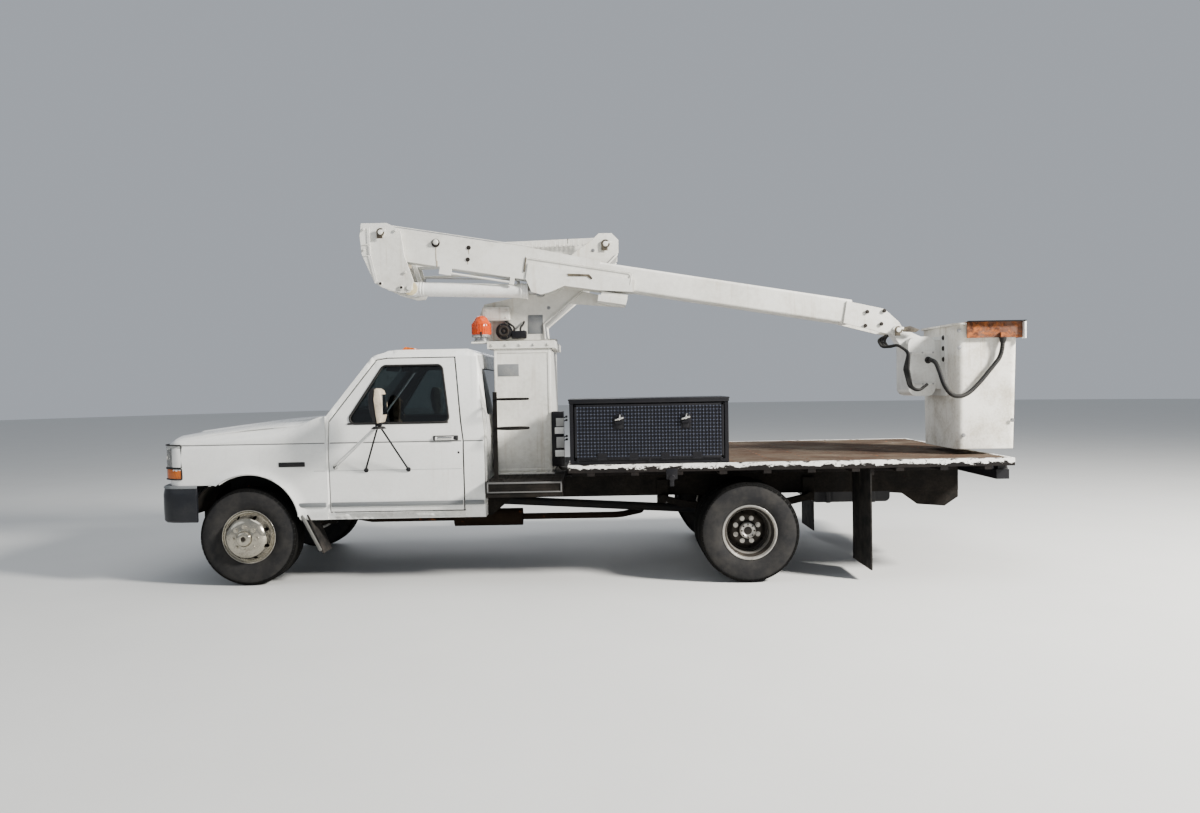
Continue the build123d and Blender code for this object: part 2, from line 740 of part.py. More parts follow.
def rear_window_plane():
    """The plane of the cab's back wall above the belt."""
    head, base = CAB_SIDE[5], CAB_SIDE[6]
    middle = line_at(base, head, 0.5)
    run, rise = head[0] - base[0], head[1] - base[1]
    return Plane(origin=(middle[0], 0, middle[1]), x_dir=(0, 1, 0), z_dir=(rise, 0, -run))


def windscreen_shape():
    """Rounded outline of the windscreen."""
    with BuildLine() as edge:
        foot, head = CAB_HALF - 160, CAB_HALF - 215
        FilletPolyline((-foot, 250), (foot, 250), (head, -232), (-head, -232), radius=50, close=True)
    make_face(edge.line.edges())


def rear_window_shape():
    """Rounded outline of the back window."""
    RectangleRounded(2 * CAB_HALF - 660, 400, 60)


def door_pin(side, z_low, radius, mode=Mode.ADD):
    """The upright pin on the sill that a door turns on, or its bore."""
    x, y = DOOR_PIN[0], side * DOOR_PIN[1]
    bar((x, y, z_low), (x, y, DOOR_BOTTOM + DOOR_PIN_LENGTH), radius, mode)


with BuildPart() as cab_shell:
    add(cab_outer)
    add(cavity, mode=Mode.SUBTRACT)
    # Floor pressing, raised between the sills
    block(CAB_FRONT, CAB_REAR, -CAB_HALF + 70, CAB_HALF - 70, CAB_BOTTOM, FLOOR_TOP)
    block(CAB_FRONT, CAB_REAR, -SILL_INNER, SILL_INNER, CAB_BOTTOM, FLOOR_BOTTOM, Mode.SUBTRACT)
    tunnel_wall = FLOOR_TOP - FLOOR_BOTTOM
    block(CAB_FRONT, TUNNEL_REAR, -TUNNEL_HALF, TUNNEL_HALF, FLOOR_BOTTOM, TUNNEL_TOP)
    block(
        CAB_FRONT,
        TUNNEL_REAR - tunnel_wall,
        -TUNNEL_HALF + tunnel_wall,
        TUNNEL_HALF - tunnel_wall,
        FLOOR_BOTTOM,
        TUNNEL_TOP - tunnel_wall,
        Mode.SUBTRACT,
    )
    # Door openings, cut to the depth of the doors
    with BuildSketch(side_plane(0), mode=Mode.PRIVATE) as opening:
        with BuildLine():
            Polyline(*grown(DOOR_SIDE, DOOR_FRONT_GAP, DOOR_REAR_GAP, MOVING_GAP, MOVING_GAP), close=True)
        make_face()
    cutter = extrude(opening.sketch, amount=2 * CAB_HALF, both=True, mode=Mode.PRIVATE)
    add(cutter - cab_core, mode=Mode.SUBTRACT)
    for side in (LEFT, RIGHT):
        door_pin(side, DOOR_BOTTOM - MOVING_GAP - 20, DOOR_PIN_RADIUS)
    with BuildSketch(windscreen_plane()):
        windscreen_shape()
    extrude(amount=2 * CAB_WALL, both=True, mode=Mode.SUBTRACT)
    with BuildSketch(rear_window_plane()):
        rear_window_shape()
    extrude(amount=2 * CAB_WALL, both=True, mode=Mode.SUBTRACT)
finish(cab_shell, "cab_shell")

with BuildPart() as cab_glass:
    with BuildSketch(windscreen_plane().offset(-GLASS_DEPTH)):
        windscreen_shape()
    extrude(amount=-GLASS)
    with BuildSketch(rear_window_plane().offset(-GLASS_DEPTH)):
        rear_window_shape()
    extrude(amount=-GLASS)
finish(cab_glass, "cab_glass")

for side, word in SIDES:
    outside = both_sides(side, 300, CAB_HALF + 60)
    with BuildPart() as door:
        side_slab(DOOR_SIDE, *outside)
        add(cab_outer, mode=Mode.INTERSECT)
        add(door_inner, mode=Mode.SUBTRACT)
        side_slab(WINDOW_SIDE, *outside, radius=40, mode=Mode.SUBTRACT)
        # Pull handle and its lock
        handle = both_sides(side, CAB_HALF - 4, CAB_HALF + 20)
        block(1560, 1725, *handle, 1176, 1204)
        door_pin(side, DOOR_BOTTOM - 1, DOOR_PIN_RADIUS + BORE_GAP, Mode.SUBTRACT)
    finish(door, f"door_{word}")

    with BuildPart() as door_glass:
        side_slab(WINDOW_SIDE, *outside, radius=40)
        add(glass_outer, mode=Mode.INTERSECT)
        add(glass_inner, mode=Mode.SUBTRACT)
    finish(door_glass, f"door_glass_{word}")

    # Mirror on a tripod of tubes from the door
    foot_y = side * CAB_HALF
    with BuildPart() as mirror:
        block(1140, 1176, *both_sides(side, 1165, 1335), 1335, 1625)
        hub = (1158, side * 1225, 1325)
        for foot in ((990, foot_y, 940), (1335, foot_y, 940), (735, foot_y, 980)):
            bar((foot[0], foot_y + side * 9, foot[2]), hub, 8)
            bar(foot, (foot[0], foot_y + side * 9, foot[2]), 22)
        bar((1158, side * 1225, 1310), (1158, side * 1225, 1340), 14)
    finish(mirror, f"mirror_{word}")

# Bonnet, closed between the wings
HOOD_LINE = ((-680, 1182), (-672, 1228), (-600, 1264), (-300, 1302), (0, 1336), (640, 1386))
with BuildPart() as hood:
    under = ((640, 1386 - HOOD_PANEL), (0, 1304), (-300, 1270), (-590, 1232), (-640, 1212), (-648, 1182))
    side_slab((*HOOD_LINE, *under), -HOOD_HALF + MOVING_GAP, HOOD_HALF - MOVING_GAP)
    for side in (LEFT, RIGHT):
        bore = both_sides(side, HOOD_HALF - MOVING_GAP - HOOD_PIN_REACH, HOOD_HALF)
        cross_bar(*HOOD_PIN, *bore, HOOD_PIN_RADIUS + BORE_GAP, Mode.SUBTRACT)
finish(hood, "hood")

# Wings: an outer skin with a wheel arch, a top level with the bonnet, and a liner
WING_BACK = CAB_FRONT - RUNNING_GAP
for side, word in SIDES:
    outer = both_sides(side, HOOD_HALF, CAB_HALF)
    inside = both_sides(side, HOOD_HALF - 1, CAB_HALF - SKIN)
    with BuildPart() as wing:
        side_slab(
            (
                (NOSE_BACK, NOSE_BOTTOM),
                (NOSE_BACK, HOOD_LINE[0][1]),
                *HOOD_LINE[:5],
                (WING_BACK, 1386),
                (WING_BACK, CAB_BOTTOM),
                (400, CAB_BOTTOM),
                (-250, NOSE_BOTTOM),
            ),
            *outer,
        )
        side_slab(
            (
                (NOSE_BACK + SKIN, NOSE_BOTTOM - 10),
                (NOSE_BACK + SKIN, 1236),
                (0, 1312),
                (WING_BACK - SKIN, 1360),
                (WING_BACK - SKIN, CAB_BOTTOM - 10),
                (400, CAB_BOTTOM - 10),
                (-250, NOSE_BOTTOM - 10),
            ),
            *inside,
            mode=Mode.SUBTRACT,
        )
        skin = both_sides(side, CAB_HALF - SKIN - 1, CAB_HALF + 1)
        with BuildSketch(side_plane(skin[1])):
            with Locations((ARCH_X, ARCH_Z)):
                Circle(ARCH_RADIUS)
        extrude(amount=skin[1] - skin[0], mode=Mode.SUBTRACT)
        pin_start = HOOD_HALF - MOVING_GAP - HOOD_PIN_REACH + RUNNING_GAP
        cross_bar(*HOOD_PIN, *both_sides(side, pin_start, HOOD_HALF + SKIN), HOOD_PIN_RADIUS)
        liner = both_sides(side, LINER_INNER_Y, CAB_HALF - SKIN + 4)
        with BuildSketch(side_plane(liner[1])):
            with Locations((0, TYRE_RADIUS)):
                Circle(LINER_RADIUS)
                Circle(LINER_RADIUS - 14, mode=Mode.SUBTRACT)
            with Locations((0, TYRE_RADIUS - LINER_RADIUS + LINER_DROP)):
                Rectangle(3 * LINER_RADIUS, 2 * LINER_RADIUS, mode=Mode.SUBTRACT)
        extrude(amount=liner[1] - liner[0])
    finish(wing, f"wing_{word}")


def nose_plan():
    """Plan outline of the nose, rounded at its corners."""
    half = (
        (NOSE_BACK, LAMP_OUTER),
        (NOSE_X + 65, LAMP_OUTER),
        (NOSE_X + 25, LAMP_OUTER - 25),
        (NOSE_X, LAMP_OUTER - 85),
    )
    with BuildLine() as edge:
        Polyline(*half, *((x, -y) for x, y in reversed(half)), close=True)
    make_face(edge.line.edges())


# Nose panel with its lamp pockets and an egg-crate grille
LAMP_BACK = NOSE_BACK - 12
GRILLE_BOTTOM = LAMP_BOTTOM
GRILLE_TOP = 1140
GRILLE_UPRIGHTS = 12
GRILLE_ROWS = 4
with BuildPart() as nose:
    with BuildSketch(Plane.XY.offset(NOSE_BOTTOM)):
        nose_plan()
    extrude(amount=NOSE_TOP - NOSE_BOTTOM)
    for side in (LEFT, RIGHT):
        pocket = both_sides(side, LAMP_INNER, LAMP_OUTER + 20)
        block(NOSE_X - 10, LAMP_BACK, *pocket, LAMP_BOTTOM, NOSE_TOP + 10, Mode.SUBTRACT)
    block(NOSE_X - 10, NOSE_BACK + 10, -GRILLE_HALF, GRILLE_HALF, GRILLE_BOTTOM, GRILLE_TOP, Mode.SUBTRACT)
    bar_depth = (NOSE_X + 12, NOSE_X + 50)
    for i in range(1, GRILLE_UPRIGHTS):
        y = -GRILLE_HALF + 2 * GRILLE_HALF * i / GRILLE_UPRIGHTS
        block(*bar_depth, y - GRILLE_BAR / 2, y + GRILLE_BAR / 2, GRILLE_BOTTOM - 2, GRILLE_TOP + 2)
    for i in range(1, GRILLE_ROWS):
        z = GRILLE_BOTTOM + (GRILLE_TOP - GRILLE_BOTTOM) * i / GRILLE_ROWS
        block(*bar_depth, -GRILLE_HALF - 2, GRILLE_HALF + 2, z - GRILLE_BAR / 2, z + GRILLE_BAR / 2)
finish(nose, "grille_panel")

# Headlamps with a marker lamp under each
LAMP_GAP = 3
with BuildPart() as lamps:
    with BuildSketch(Plane.XY.offset(LAMP_BOTTOM)):
        nose_plan()
    extrude(amount=NOSE_TOP - LAMP_BOTTOM)
    lamp_box = (LAMP_BOTTOM - 10, NOSE_TOP + 10)
    block(NOSE_X - 10, NOSE_BACK + 10, -LAMP_INNER, LAMP_INNER, *lamp_box, Mode.SUBTRACT)
    block(LAMP_BACK, NOSE_BACK + 10, -BED_HALF, BED_HALF, *lamp_box, Mode.SUBTRACT)
    block(NOSE_X - 10, NOSE_BACK, -BED_HALF, BED_HALF, LAMP_SPLIT, LAMP_SPLIT + LAMP_GAP, Mode.SUBTRACT)
finish(lamps, "headlamps")


def bumper_plan(inset):
    """Plan outline of the bumper, drawn in by an inset and closed across its back."""
    half = BUMPER_HALF - inset
    front = -FRONT_OVERHANG + inset
    with BuildLine() as edge:
        corner_r = RadiusArc((-560 + inset / 2, half), (-662 + inset, half - 78), 100)
        face = ThreePointArc(corner_r @ 1, (front, 0), (-662 + inset, -half + 78))
        corner_l = RadiusArc(face @ 1, (-560 + inset / 2, -half), 100)
        Polyline(corner_l @ 1, (BUMPER_SIDE_REAR, -half), (BUMPER_SIDE_REAR, half), corner_r @ 0)
    make_face(edge.line.edges())


with BuildPart() as bumper:
    with BuildSketch(Plane.XY.offset(BUMPER_BOTTOM)):
        bumper_plan(0)
    extrude(amount=BUMPER_TOP - BUMPER_BOTTOM)
    with BuildSketch(Plane.XY.offset(BUMPER_BOTTOM - 1)):
        bumper_plan(BUMPER_WALL)
    extrude(amount=BUMPER_TOP - BUMPER_BOTTOM + 2, mode=Mode.SUBTRACT)
    open_half = BUMPER_HALF - BUMPER_WALL
    block(
        BUMPER_SIDE_REAR - 2 * BUMPER_WALL,
        BUMPER_SIDE_REAR + 10,
        -open_half,
        open_half,
        BUMPER_BOTTOM - 1,
        BUMPER_TOP + 1,
        Mode.SUBTRACT,
    )
    for side in (LEFT, RIGHT):
        horn = both_sides(side, RAIL_OUTER - RAIL_FLANGE, RAIL_OUTER)
        block(BUMPER_HORN_FRONT, RAIL_FRONT, *horn, 560, 640)
finish(bumper, "front_bumper")

# Cab fittings
ROOF_LAMPS = (-560, -170, 0, 170, 560)
with BuildPart() as roof_lamps:
    for y in ROOF_LAMPS:
        side_slab(((1205, ROOF), (1330, ROOF), (1318, ROOF + 22), (1245, ROOF + 34)), y - 42, y + 42)
finish(roof_lamps, "roof_lamps")

with BuildPart() as seat:
    side_slab(
        (
            (1235, FLOOR_TOP),
            (1690, FLOOR_TOP),
            (1690, 940),
            (1840, 1440),
            (1745, 1455),
            (1590, 985),
            (1210, 1010),
            (1190, 960),
            (1235, 880),
        ),
        -SEAT_HALF,
        SEAT_HALF,
        radius=22,
    )
    side_gap = TUNNEL_HALF + RUNNING_GAP
    block(1100, TUNNEL_REAR + RUNNING_GAP, -side_gap, side_gap, 700, TUNNEL_TOP + RUNNING_GAP, Mode.SUBTRACT)
finish(seat, "bench_seat")

COLUMN_FOOT = (905, DRIVER_Y, 1085)
WHEEL_CENTRE = (1085, DRIVER_Y, 1195)
STEERING_RADIUS = 185
STEERING_RIM = 13
with BuildPart() as dashboard:
    side_slab(
        ((705, 930), (790, 905), (905, 960), (960, 1120), (930, 1240), (830, 1300), (705, 1300)),
        -DASH_HALF,
        DASH_HALF,
        radius=20,
    )
    bar(COLUMN_FOOT, line_at(COLUMN_FOOT, WHEEL_CENTRE, 0.9), 34)
finish(dashboard, "dashboard")

column_way = Vector(*WHEEL_CENTRE) - Vector(*COLUMN_FOOT)
wheel_plane = Plane(origin=WHEEL_CENTRE, x_dir=(0, 1, 0), z_dir=column_way)
with BuildPart() as steering_wheel:
    with Locations(wheel_plane.location):
        Torus(STEERING_RADIUS, STEERING_RIM)
    hub_start = Vector(*line_at(COLUMN_FOOT, WHEEL_CENTRE, 0.9)) + column_way.normalized() * RUNNING_GAP
    hub_end = Vector(*WHEEL_CENTRE) + column_way.normalized() * 16
    bar(tuple(hub_start), tuple(hub_end), 42)
    with BuildSketch(wheel_plane.offset(-6)):
        Rectangle(2 * STEERING_RADIUS - 8, 46)
        with Locations((0, -STEERING_RADIUS / 2 + 8)):
            Rectangle(40, STEERING_RADIUS - 16)
    extrude(amount=12)
finish(steering_wheel, "steering_wheel")

# Mud flaps: a pair behind the front wheels and a pair behind the twin wheels
REAR_FLAP_X = 5050
BED_UNDERSIDE = BED_TOP - EDGE_HEIGHT
with BuildPart() as flaps:
    for side in (LEFT, RIGHT):
        front = both_sides(side, 760, CAB_HALF - SKIN)
        flap_top = TYRE_RADIUS + LINER_DROP
        flap_x = math.sqrt((LINER_RADIUS - 14) ** 2 - LINER_DROP**2)
        side_slab(
            ((flap_x, flap_top), (flap_x + 13, flap_top), (622, 262), (610, 256)),
            *front,
        )
        rear = both_sides(side, 690, 1185)
        block(REAR_FLAP_X, REAR_FLAP_X + 12, *rear, 85, BED_UNDERSIDE - 10)
finish(flaps, "mud_flaps")

# Platform between the cab and the bed, with a step box on each side
PLATFORM_FRONT = 1985
PLATFORM_REAR = 2600
POST_X = 2052
POST_Y = -985
RING_RADIUS = 128
RINGS = (1262, 1500)
with BuildPart() as platform:
    block(PLATFORM_FRONT, PLATFORM_REAR, -1150, 1150, PLATFORM_BOTTOM, PLATFORM_TOP)
    for side in (LEFT, RIGHT):
        step = both_sides(side, 620, 1150)
        block(PLATFORM_FRONT, PLATFORM_REAR, *step, 715, PLATFORM_BOTTOM)
        hollow = both_sides(side, 660, 1160)
        block(PLATFORM_FRONT + 30, PLATFORM_REAR - 30, *hollow, 735, PLATFORM_BOTTOM - 8, Mode.SUBTRACT)
    # Post with two carrying rings at the left
    block(POST_X - 16, POST_X + 16, POST_Y - 16, POST_Y + 16, PLATFORM_TOP - 1, 1560)
    block(POST_X - 55, POST_X + 55, POST_Y - 45, POST_Y + 45, PLATFORM_TOP - 1, PLATFORM_TOP + 10)
    for z in RINGS:
        with Locations((POST_X + 16 + RING_RADIUS, POST_Y, z)):
            Torus(RING_RADIUS, 9)
finish(platform, "step_platform")

# Bed: steel edge, cross bearers and runners, with a plank floor let into it
with BuildPart() as bed_frame:
    block(BED_FRONT, BED_REAR, -BED_HALF, BED_HALF, BED_UNDERSIDE, BED_TOP)
    block(
        BED_FRONT + EDGE_WALL,
        BED_REAR - EDGE_WALL,
        -BED_HALF + EDGE_WALL,
        BED_HALF - EDGE_WALL,
        BED_UNDERSIDE,
        BED_TOP,
        Mode.SUBTRACT,
    )
    bearer_top = BED_TOP - BOARD
    for i in range(10):
        x = BED_FRONT + 180 + i * 350
        block(x - 30, x + 30, -BED_HALF + 2, BED_HALF - 2, bearer_top - SILL_HEIGHT, bearer_top)
    for side in (LEFT, RIGHT):
        runner = both_sides(side, RAIL_OUTER - RAIL_FLANGE, RAIL_OUTER)
        block(BED_FRONT + 5, RAIL_REAR, *runner, RAIL_HIGH_TOP, bearer_top - SILL_HEIGHT + 2)
        # Hangers for the mud flaps
        hanger = both_sides(side, 690, 1185)
        block(REAR_FLAP_X + 12, REAR_FLAP_X + 32, *hanger, BED_UNDERSIDE - 60, bearer_top - 4)
        block(REAR_FLAP_X - 120, REAR_FLAP_X + 32, *hanger, bearer_top - 30, bearer_top - 4)
finish(bed_frame, "bed_frame")

with BuildPart() as bed_floor:
    floor_half = BED_HALF - EDGE_WALL
    block(BED_FRONT + EDGE_WALL, BED_REAR - EDGE_WALL, -floor_half, floor_half, bearer_top, BED_TOP - 2)
    board_width = 2 * floor_half / BOARDS
    for i in range(1, BOARDS):
        y = -floor_half + board_width * i
        block(BED_FRONT, BED_REAR, y - 3, y + 3, BED_TOP - 2 - BOARD_GROOVE, BED_TOP, Mode.SUBTRACT)
finish(bed_floor, "bed_floor")

# Rear beam hung under the bed, with its lamps
BEAM_FRONT = 6085
BEAM_HALF = 1120
with BuildPart() as rear_beam:
    block(BEAM_FRONT, BED_REAR, -BEAM_HALF, BEAM_HALF, 790, 868)
    for side in (LEFT, RIGHT):
        post = both_sides(side, 640, 720)
        block(BEAM_FRONT + 20, BED_REAR - 20, *post, 860, BED_UNDERSIDE)
        post = both_sides(side, 1020, 1100)
        block(BEAM_FRONT + 20, BED_REAR - 20, *post, 860, BED_UNDERSIDE)
        for y in (800, 960):
            bar((BED_REAR - 1, side * y, 829), (BED_REAR + 22, side * y, 829), 34)
finish(rear_beam, "rear_beam")

# Toolbox with a drop front, hinged along its lower edge
BOX_SILL = BED_TOP + 32
BOX_LENGTH = BOX_REAR - BOX_FRONT
with BuildPart() as toolbox:
    block(BOX_FRONT, BOX_REAR, BOX_NEAR, BOX_FAR, BED_TOP, BOX_TOP)
    block(
        BOX_FRONT + BOX_WALL,
        BOX_REAR - BOX_WALL,
        BOX_NEAR + BOX_WALL,
        BOX_FAR - BOX_WALL,
        BED_TOP + BOX_WALL,
        BOX_TOP - BOX_WALL,
        Mode.SUBTRACT,
    )
    block(
        BOX_FRONT + 30,
        BOX_REAR - 30,
        BOX_NEAR - 1,
        BOX_NEAR + BOX_WALL + 1,
        BOX_SILL,
        BOX_TOP - 32,
        Mode.SUBTRACT,
    )
    # Hinge rod along the sill, held at its ends and in the middle
    bar((BOX_FRONT + 50, HINGE_Y, HINGE_Z), (BOX_REAR - 50, HINGE_Y, HINGE_Z), HINGE_RADIUS)
    for share in (0.05, 0.5, 0.95):
        x = BOX_FRONT + share * BOX_LENGTH
        block(x - 8, x + 8, HINGE_Y - 6, BOX_NEAR, BOX_SILL - 14, HINGE_Z)
        bar((x - 8, HINGE_Y, HINGE_Z), (x + 8, HINGE_Y, HINGE_Z), HINGE_RADIUS + 2)
finish(toolbox, "toolbox")

DOOR_PANEL_FRONT = BOX_FRONT + 30 + MOVING_GAP
DOOR_PANEL_REAR = BOX_REAR - 30 - MOVING_GAP
with BuildPart() as toolbox_door:
    block(
        DOOR_PANEL_FRONT,
        DOOR_PANEL_REAR,
        BOX_NEAR,
        BOX_NEAR + BOX_WALL,
        BOX_SILL + MOVING_GAP,
        BOX_TOP - 32 - MOVING_GAP,
    )
    for share in (0.31, 0.73):
        x = BOX_FRONT + share * BOX_LENGTH
        block(x - 38, x + 38, BOX_NEAR - 7, BOX_NEAR, 1250, 1345)
        block(x - 30, x + 30, BOX_NEAR - 22, BOX_NEAR, 1292, 1308)
    # Hinge knuckles round the rod
    for share in (0.2, 0.4, 0.6, 0.8):
        x = BOX_FRONT + share * BOX_LENGTH
        block(x - 35, x + 35, HINGE_Y, BOX_NEAR, HINGE_Z, BOX_SILL + 60)
        bar((x - 35, HINGE_Y, HINGE_Z), (x + 35, HINGE_Y, HINGE_Z), HINGE_RADIUS + 3)
        bar((x - 36, HINGE_Y, HINGE_Z), (x + 36, HINGE_Y, HINGE_Z), HINGE_RADIUS + BORE_GAP, Mode.SUBTRACT)
finish(toolbox_door, "toolbox_door")

# Pedestal: a plated column with a top flange and a bracket for the beacon
BEACON_X = 1880
BEACON_Y = -475
with BuildPart() as pedestal:
    block(PEDESTAL_FRONT, PEDESTAL_REAR, -PEDESTAL_HALF, PEDESTAL_HALF, PLATFORM_TOP, FLANGE_BOTTOM)
    block(
        PEDESTAL_FRONT + PLATE,
        PEDESTAL_REAR - PLATE,
        -PEDESTAL_HALF + PLATE,
        PEDESTAL_HALF - PLATE,
        PLATFORM_TOP,
        FLANGE_BOTTOM,
        Mode.SUBTRACT,
    )
    block(1945, 2530, -PEDESTAL_HALF - 22, PEDESTAL_HALF + 22, FLANGE_BOTTOM, TURNTABLE_Z)
    block(BEACON_X - 75, 1950, BEACON_Y - 70, BEACON_Y + 70, TURNTABLE_Z - 14, TURNTABLE_Z)
    # Lower controls on its rear face
    block(PEDESTAL_REAR - 1, 2585, -545, -350, 1000, 1350)
    for z in (1085, 1250):
        bar((2540, -540, z), (2540, -565, z), 26)
finish(pedestal, "pedestal")

with BuildPart() as beacon:
    bar((BEACON_X, BEACON_Y, TURNTABLE_Z), (BEACON_X, BEACON_Y, TURNTABLE_Z + 60), 62)
    bar((BEACON_X, BEACON_Y, TURNTABLE_Z + 60), (BEACON_X, BEACON_Y, 2225), 74)
    fillet(beacon.edges().group_by(Axis.Z)[-1], radius=22)
finish(beacon, "beacon")

# Turret: turntable, two side plates that sweep back to the boom ears, and closing plates
TURRET_SIDE = (
    (1875, TURNTABLE_Z + 20),
    (1850, 2250),
    (1890, 2340),
    (2180, 2400),
    (2580, 2700),
    (2870, 2905),
    (2925, 2957),
    (3040, 2957),
    (3100, 2895),
    (3100, 2780),
    (2760, 2440),
    (2420, 2155),
    (2430, TURNTABLE_Z + 20),
)
TURRET_INNER = TURRET_HALF - PLATE
LINK_PIN = tuple(a + b for a, b in zip(BOOM_PIN, LINK_OFFSET))
LINK_HALF = 15


with BuildPart() as turret:
    bar(
        (PIVOT_X, 0, TURNTABLE_Z + RUNNING_GAP),
        (PIVOT_X, 0, TURNTABLE_Z + TURNTABLE_HEIGHT),
        TURNTABLE_RADIUS,
    )
    block(1880, 2428, -TURRET_HALF, TURRET_HALF, TURNTABLE_Z + 20, TURNTABLE_Z + TURNTABLE_HEIGHT)
    for side in (LEFT, RIGHT):
        side_slab(TURRET_SIDE, *both_sides(side, TURRET_INNER, TURRET_HALF))
    side_slab(
        ((1875, TURNTABLE_Z + 20), (1850, 2250), (1890, 2340), (1908, 2340), (1868, 2250), (1893, TURNTABLE_Z + 20)),
        -TURRET_INNER,
        TURRET_INNER,
    )
    side_slab(
        (
            (2430, TURNTABLE_Z + 20),
            (2420, 2155),
            (2760, 2440),
            (3090, 2770),
            (3078, 2782),
            (2749, 2452),
            (2403, 2162),
            (2412, TURNTABLE_Z + 20),
        ),
        -TURRET_INNER,
        TURRET_INNER,
    )
    # Lugs for the lower cylinder's foot
    for side in (LEFT, RIGHT):
        lug = both_sides(side, 52, 52 + CLEVIS)
        foot_x, foot_z = LOWER_FOOT
        side_slab(
            (
                (foot_x - 60, TURNTABLE_Z + 30),
                (foot_x + 60, TURNTABLE_Z + 30),
                (foot_x + 36, foot_z + 30),
                (foot_x - 36, foot_z + 30),
            ),
            *lug,
        )
    cross_bar(*LOWER_FOOT, -60, 60, 16)
    # Stub for the level link
    cross_bar(*LINK_PIN, LINK_Y - LINK_HALF - 6, TURRET_INNER + 2, LINK_RADIUS - 6)
    # Arm and saddle for the upper boom
    rest_low, rest_high = UPPER_Y - UPPER_WIDTH / 2 - 10, -TURRET_HALF + 2
    side_slab(((2905, 2330), (3150, 2290), (3165, 2345), (2915, 2385)), rest_low, rest_high)
    side_slab(((2640, 2335), (3150, 2290), (3165, 2345), (2760, 2445)), -TURRET_HALF, -TURRET_INNER)
    side_slab(((2935, 2375), (3160, 2337), (3170, 2377), (2942, 2415)), rest_low + 20, rest_high - 60)
    cross_bar(*BOOM_PIN, -TURRET_HALF - 1, TURRET_HALF + 1, PIN_RADIUS + BORE_GAP, Mode.SUBTRACT)
finish(turret, "turret")

with BuildPart() as motor:
    bar((1935, -TURRET_HALF, 2250), (1935, -TURRET_HALF - 90, 2250), 62)
    block(2010, 2130, -TURRET_HALF - 70, -TURRET_HALF, 2180, 2250)
finish(motor, "swing_motor")

# Lower boom: a hollow beam with a pin across each end
ELBOW_PIN = (BOOM_PIN[0] - LOWER_BOOM_LENGTH, BOOM_PIN[1] - LOWER_BOOM_DROP)
LOWER_BOOM_PLANE = Plane(
    origin=(BOOM_PIN[0], 0, BOOM_PIN[1]),
    x_dir=(-LOWER_BOOM_LENGTH, 0, -LOWER_BOOM_DROP),
    z_dir=(0, 1, 0),
)
LOWER_SPAN = math.hypot(LOWER_BOOM_LENGTH, LOWER_BOOM_DROP)
FAR_INNER = ELBOW_FAR_HALF - ELBOW_PLATE
with BuildPart() as lower_boom:
    with BuildSketch(LOWER_BOOM_PLANE) as beam:
        with Locations((LOWER_SPAN / 2, 0)):
            SlotCenterToCenter(LOWER_SPAN, LOWER_BOOM_HEIGHT)
    extrude(amount=LOWER_BOOM_WIDTH / 2, both=True)
    with BuildSketch(LOWER_BOOM_PLANE):
        with Locations((LOWER_SPAN / 2, 0)):
            Rectangle(LOWER_SPAN - 2 * LOWER_BOOM_HEIGHT, LOWER_BOOM_HEIGHT - 2 * BOOM_WALL)
    extrude(amount=LOWER_BOOM_WIDTH / 2 - BOOM_WALL, both=True, mode=Mode.SUBTRACT)
    cross_bar(*BOOM_PIN, -TURRET_INNER + 3, TURRET_INNER - 3, PIN_RADIUS + 22)
    cross_bar(*BOOM_PIN, -TURRET_HALF - 18, TURRET_HALF + 18, PIN_RADIUS)
    cross_bar(*ELBOW_PIN, -ELBOW_FAR_HALF - 14, ELBOW_FAR_HALF + 14, PIN_RADIUS)
    # Lugs for the cylinder's eye
    eye_x, eye_z = LOWER_EYE
    for side in (LEFT, RIGHT):
        lug = both_sides(side, 48, 48 + CLEVIS)
        side_slab(
            (
                (eye_x - 75, eye_z + 105),
                (eye_x - 36, eye_z - 32),
                (eye_x + 36, eye_z - 32),
                (eye_x + 75, eye_z + 105),
            ),
            *lug,
        )
finish(lower_boom, "lower_boom")

# Level link beside the lower boom, which keeps the elbow upright
LINK_END = tuple(a + b for a, b in zip(ELBOW_PIN, LINK_OFFSET))
with BuildPart() as link:
    for x, z in (LINK_PIN, LINK_END):
        cross_bar(x, z, LINK_Y - LINK_HALF, LINK_Y + LINK_HALF, LINK_RADIUS + 8)
    bar((LINK_PIN[0], LINK_Y, LINK_PIN[1]), (LINK_END[0], LINK_Y, LINK_END[1]), LINK_HALF - 2)
    cross_bar(*LINK_PIN, 0, TURRET_HALF, LINK_RADIUS - 6 + BORE_GAP, Mode.SUBTRACT)
finish(link, "level_link")

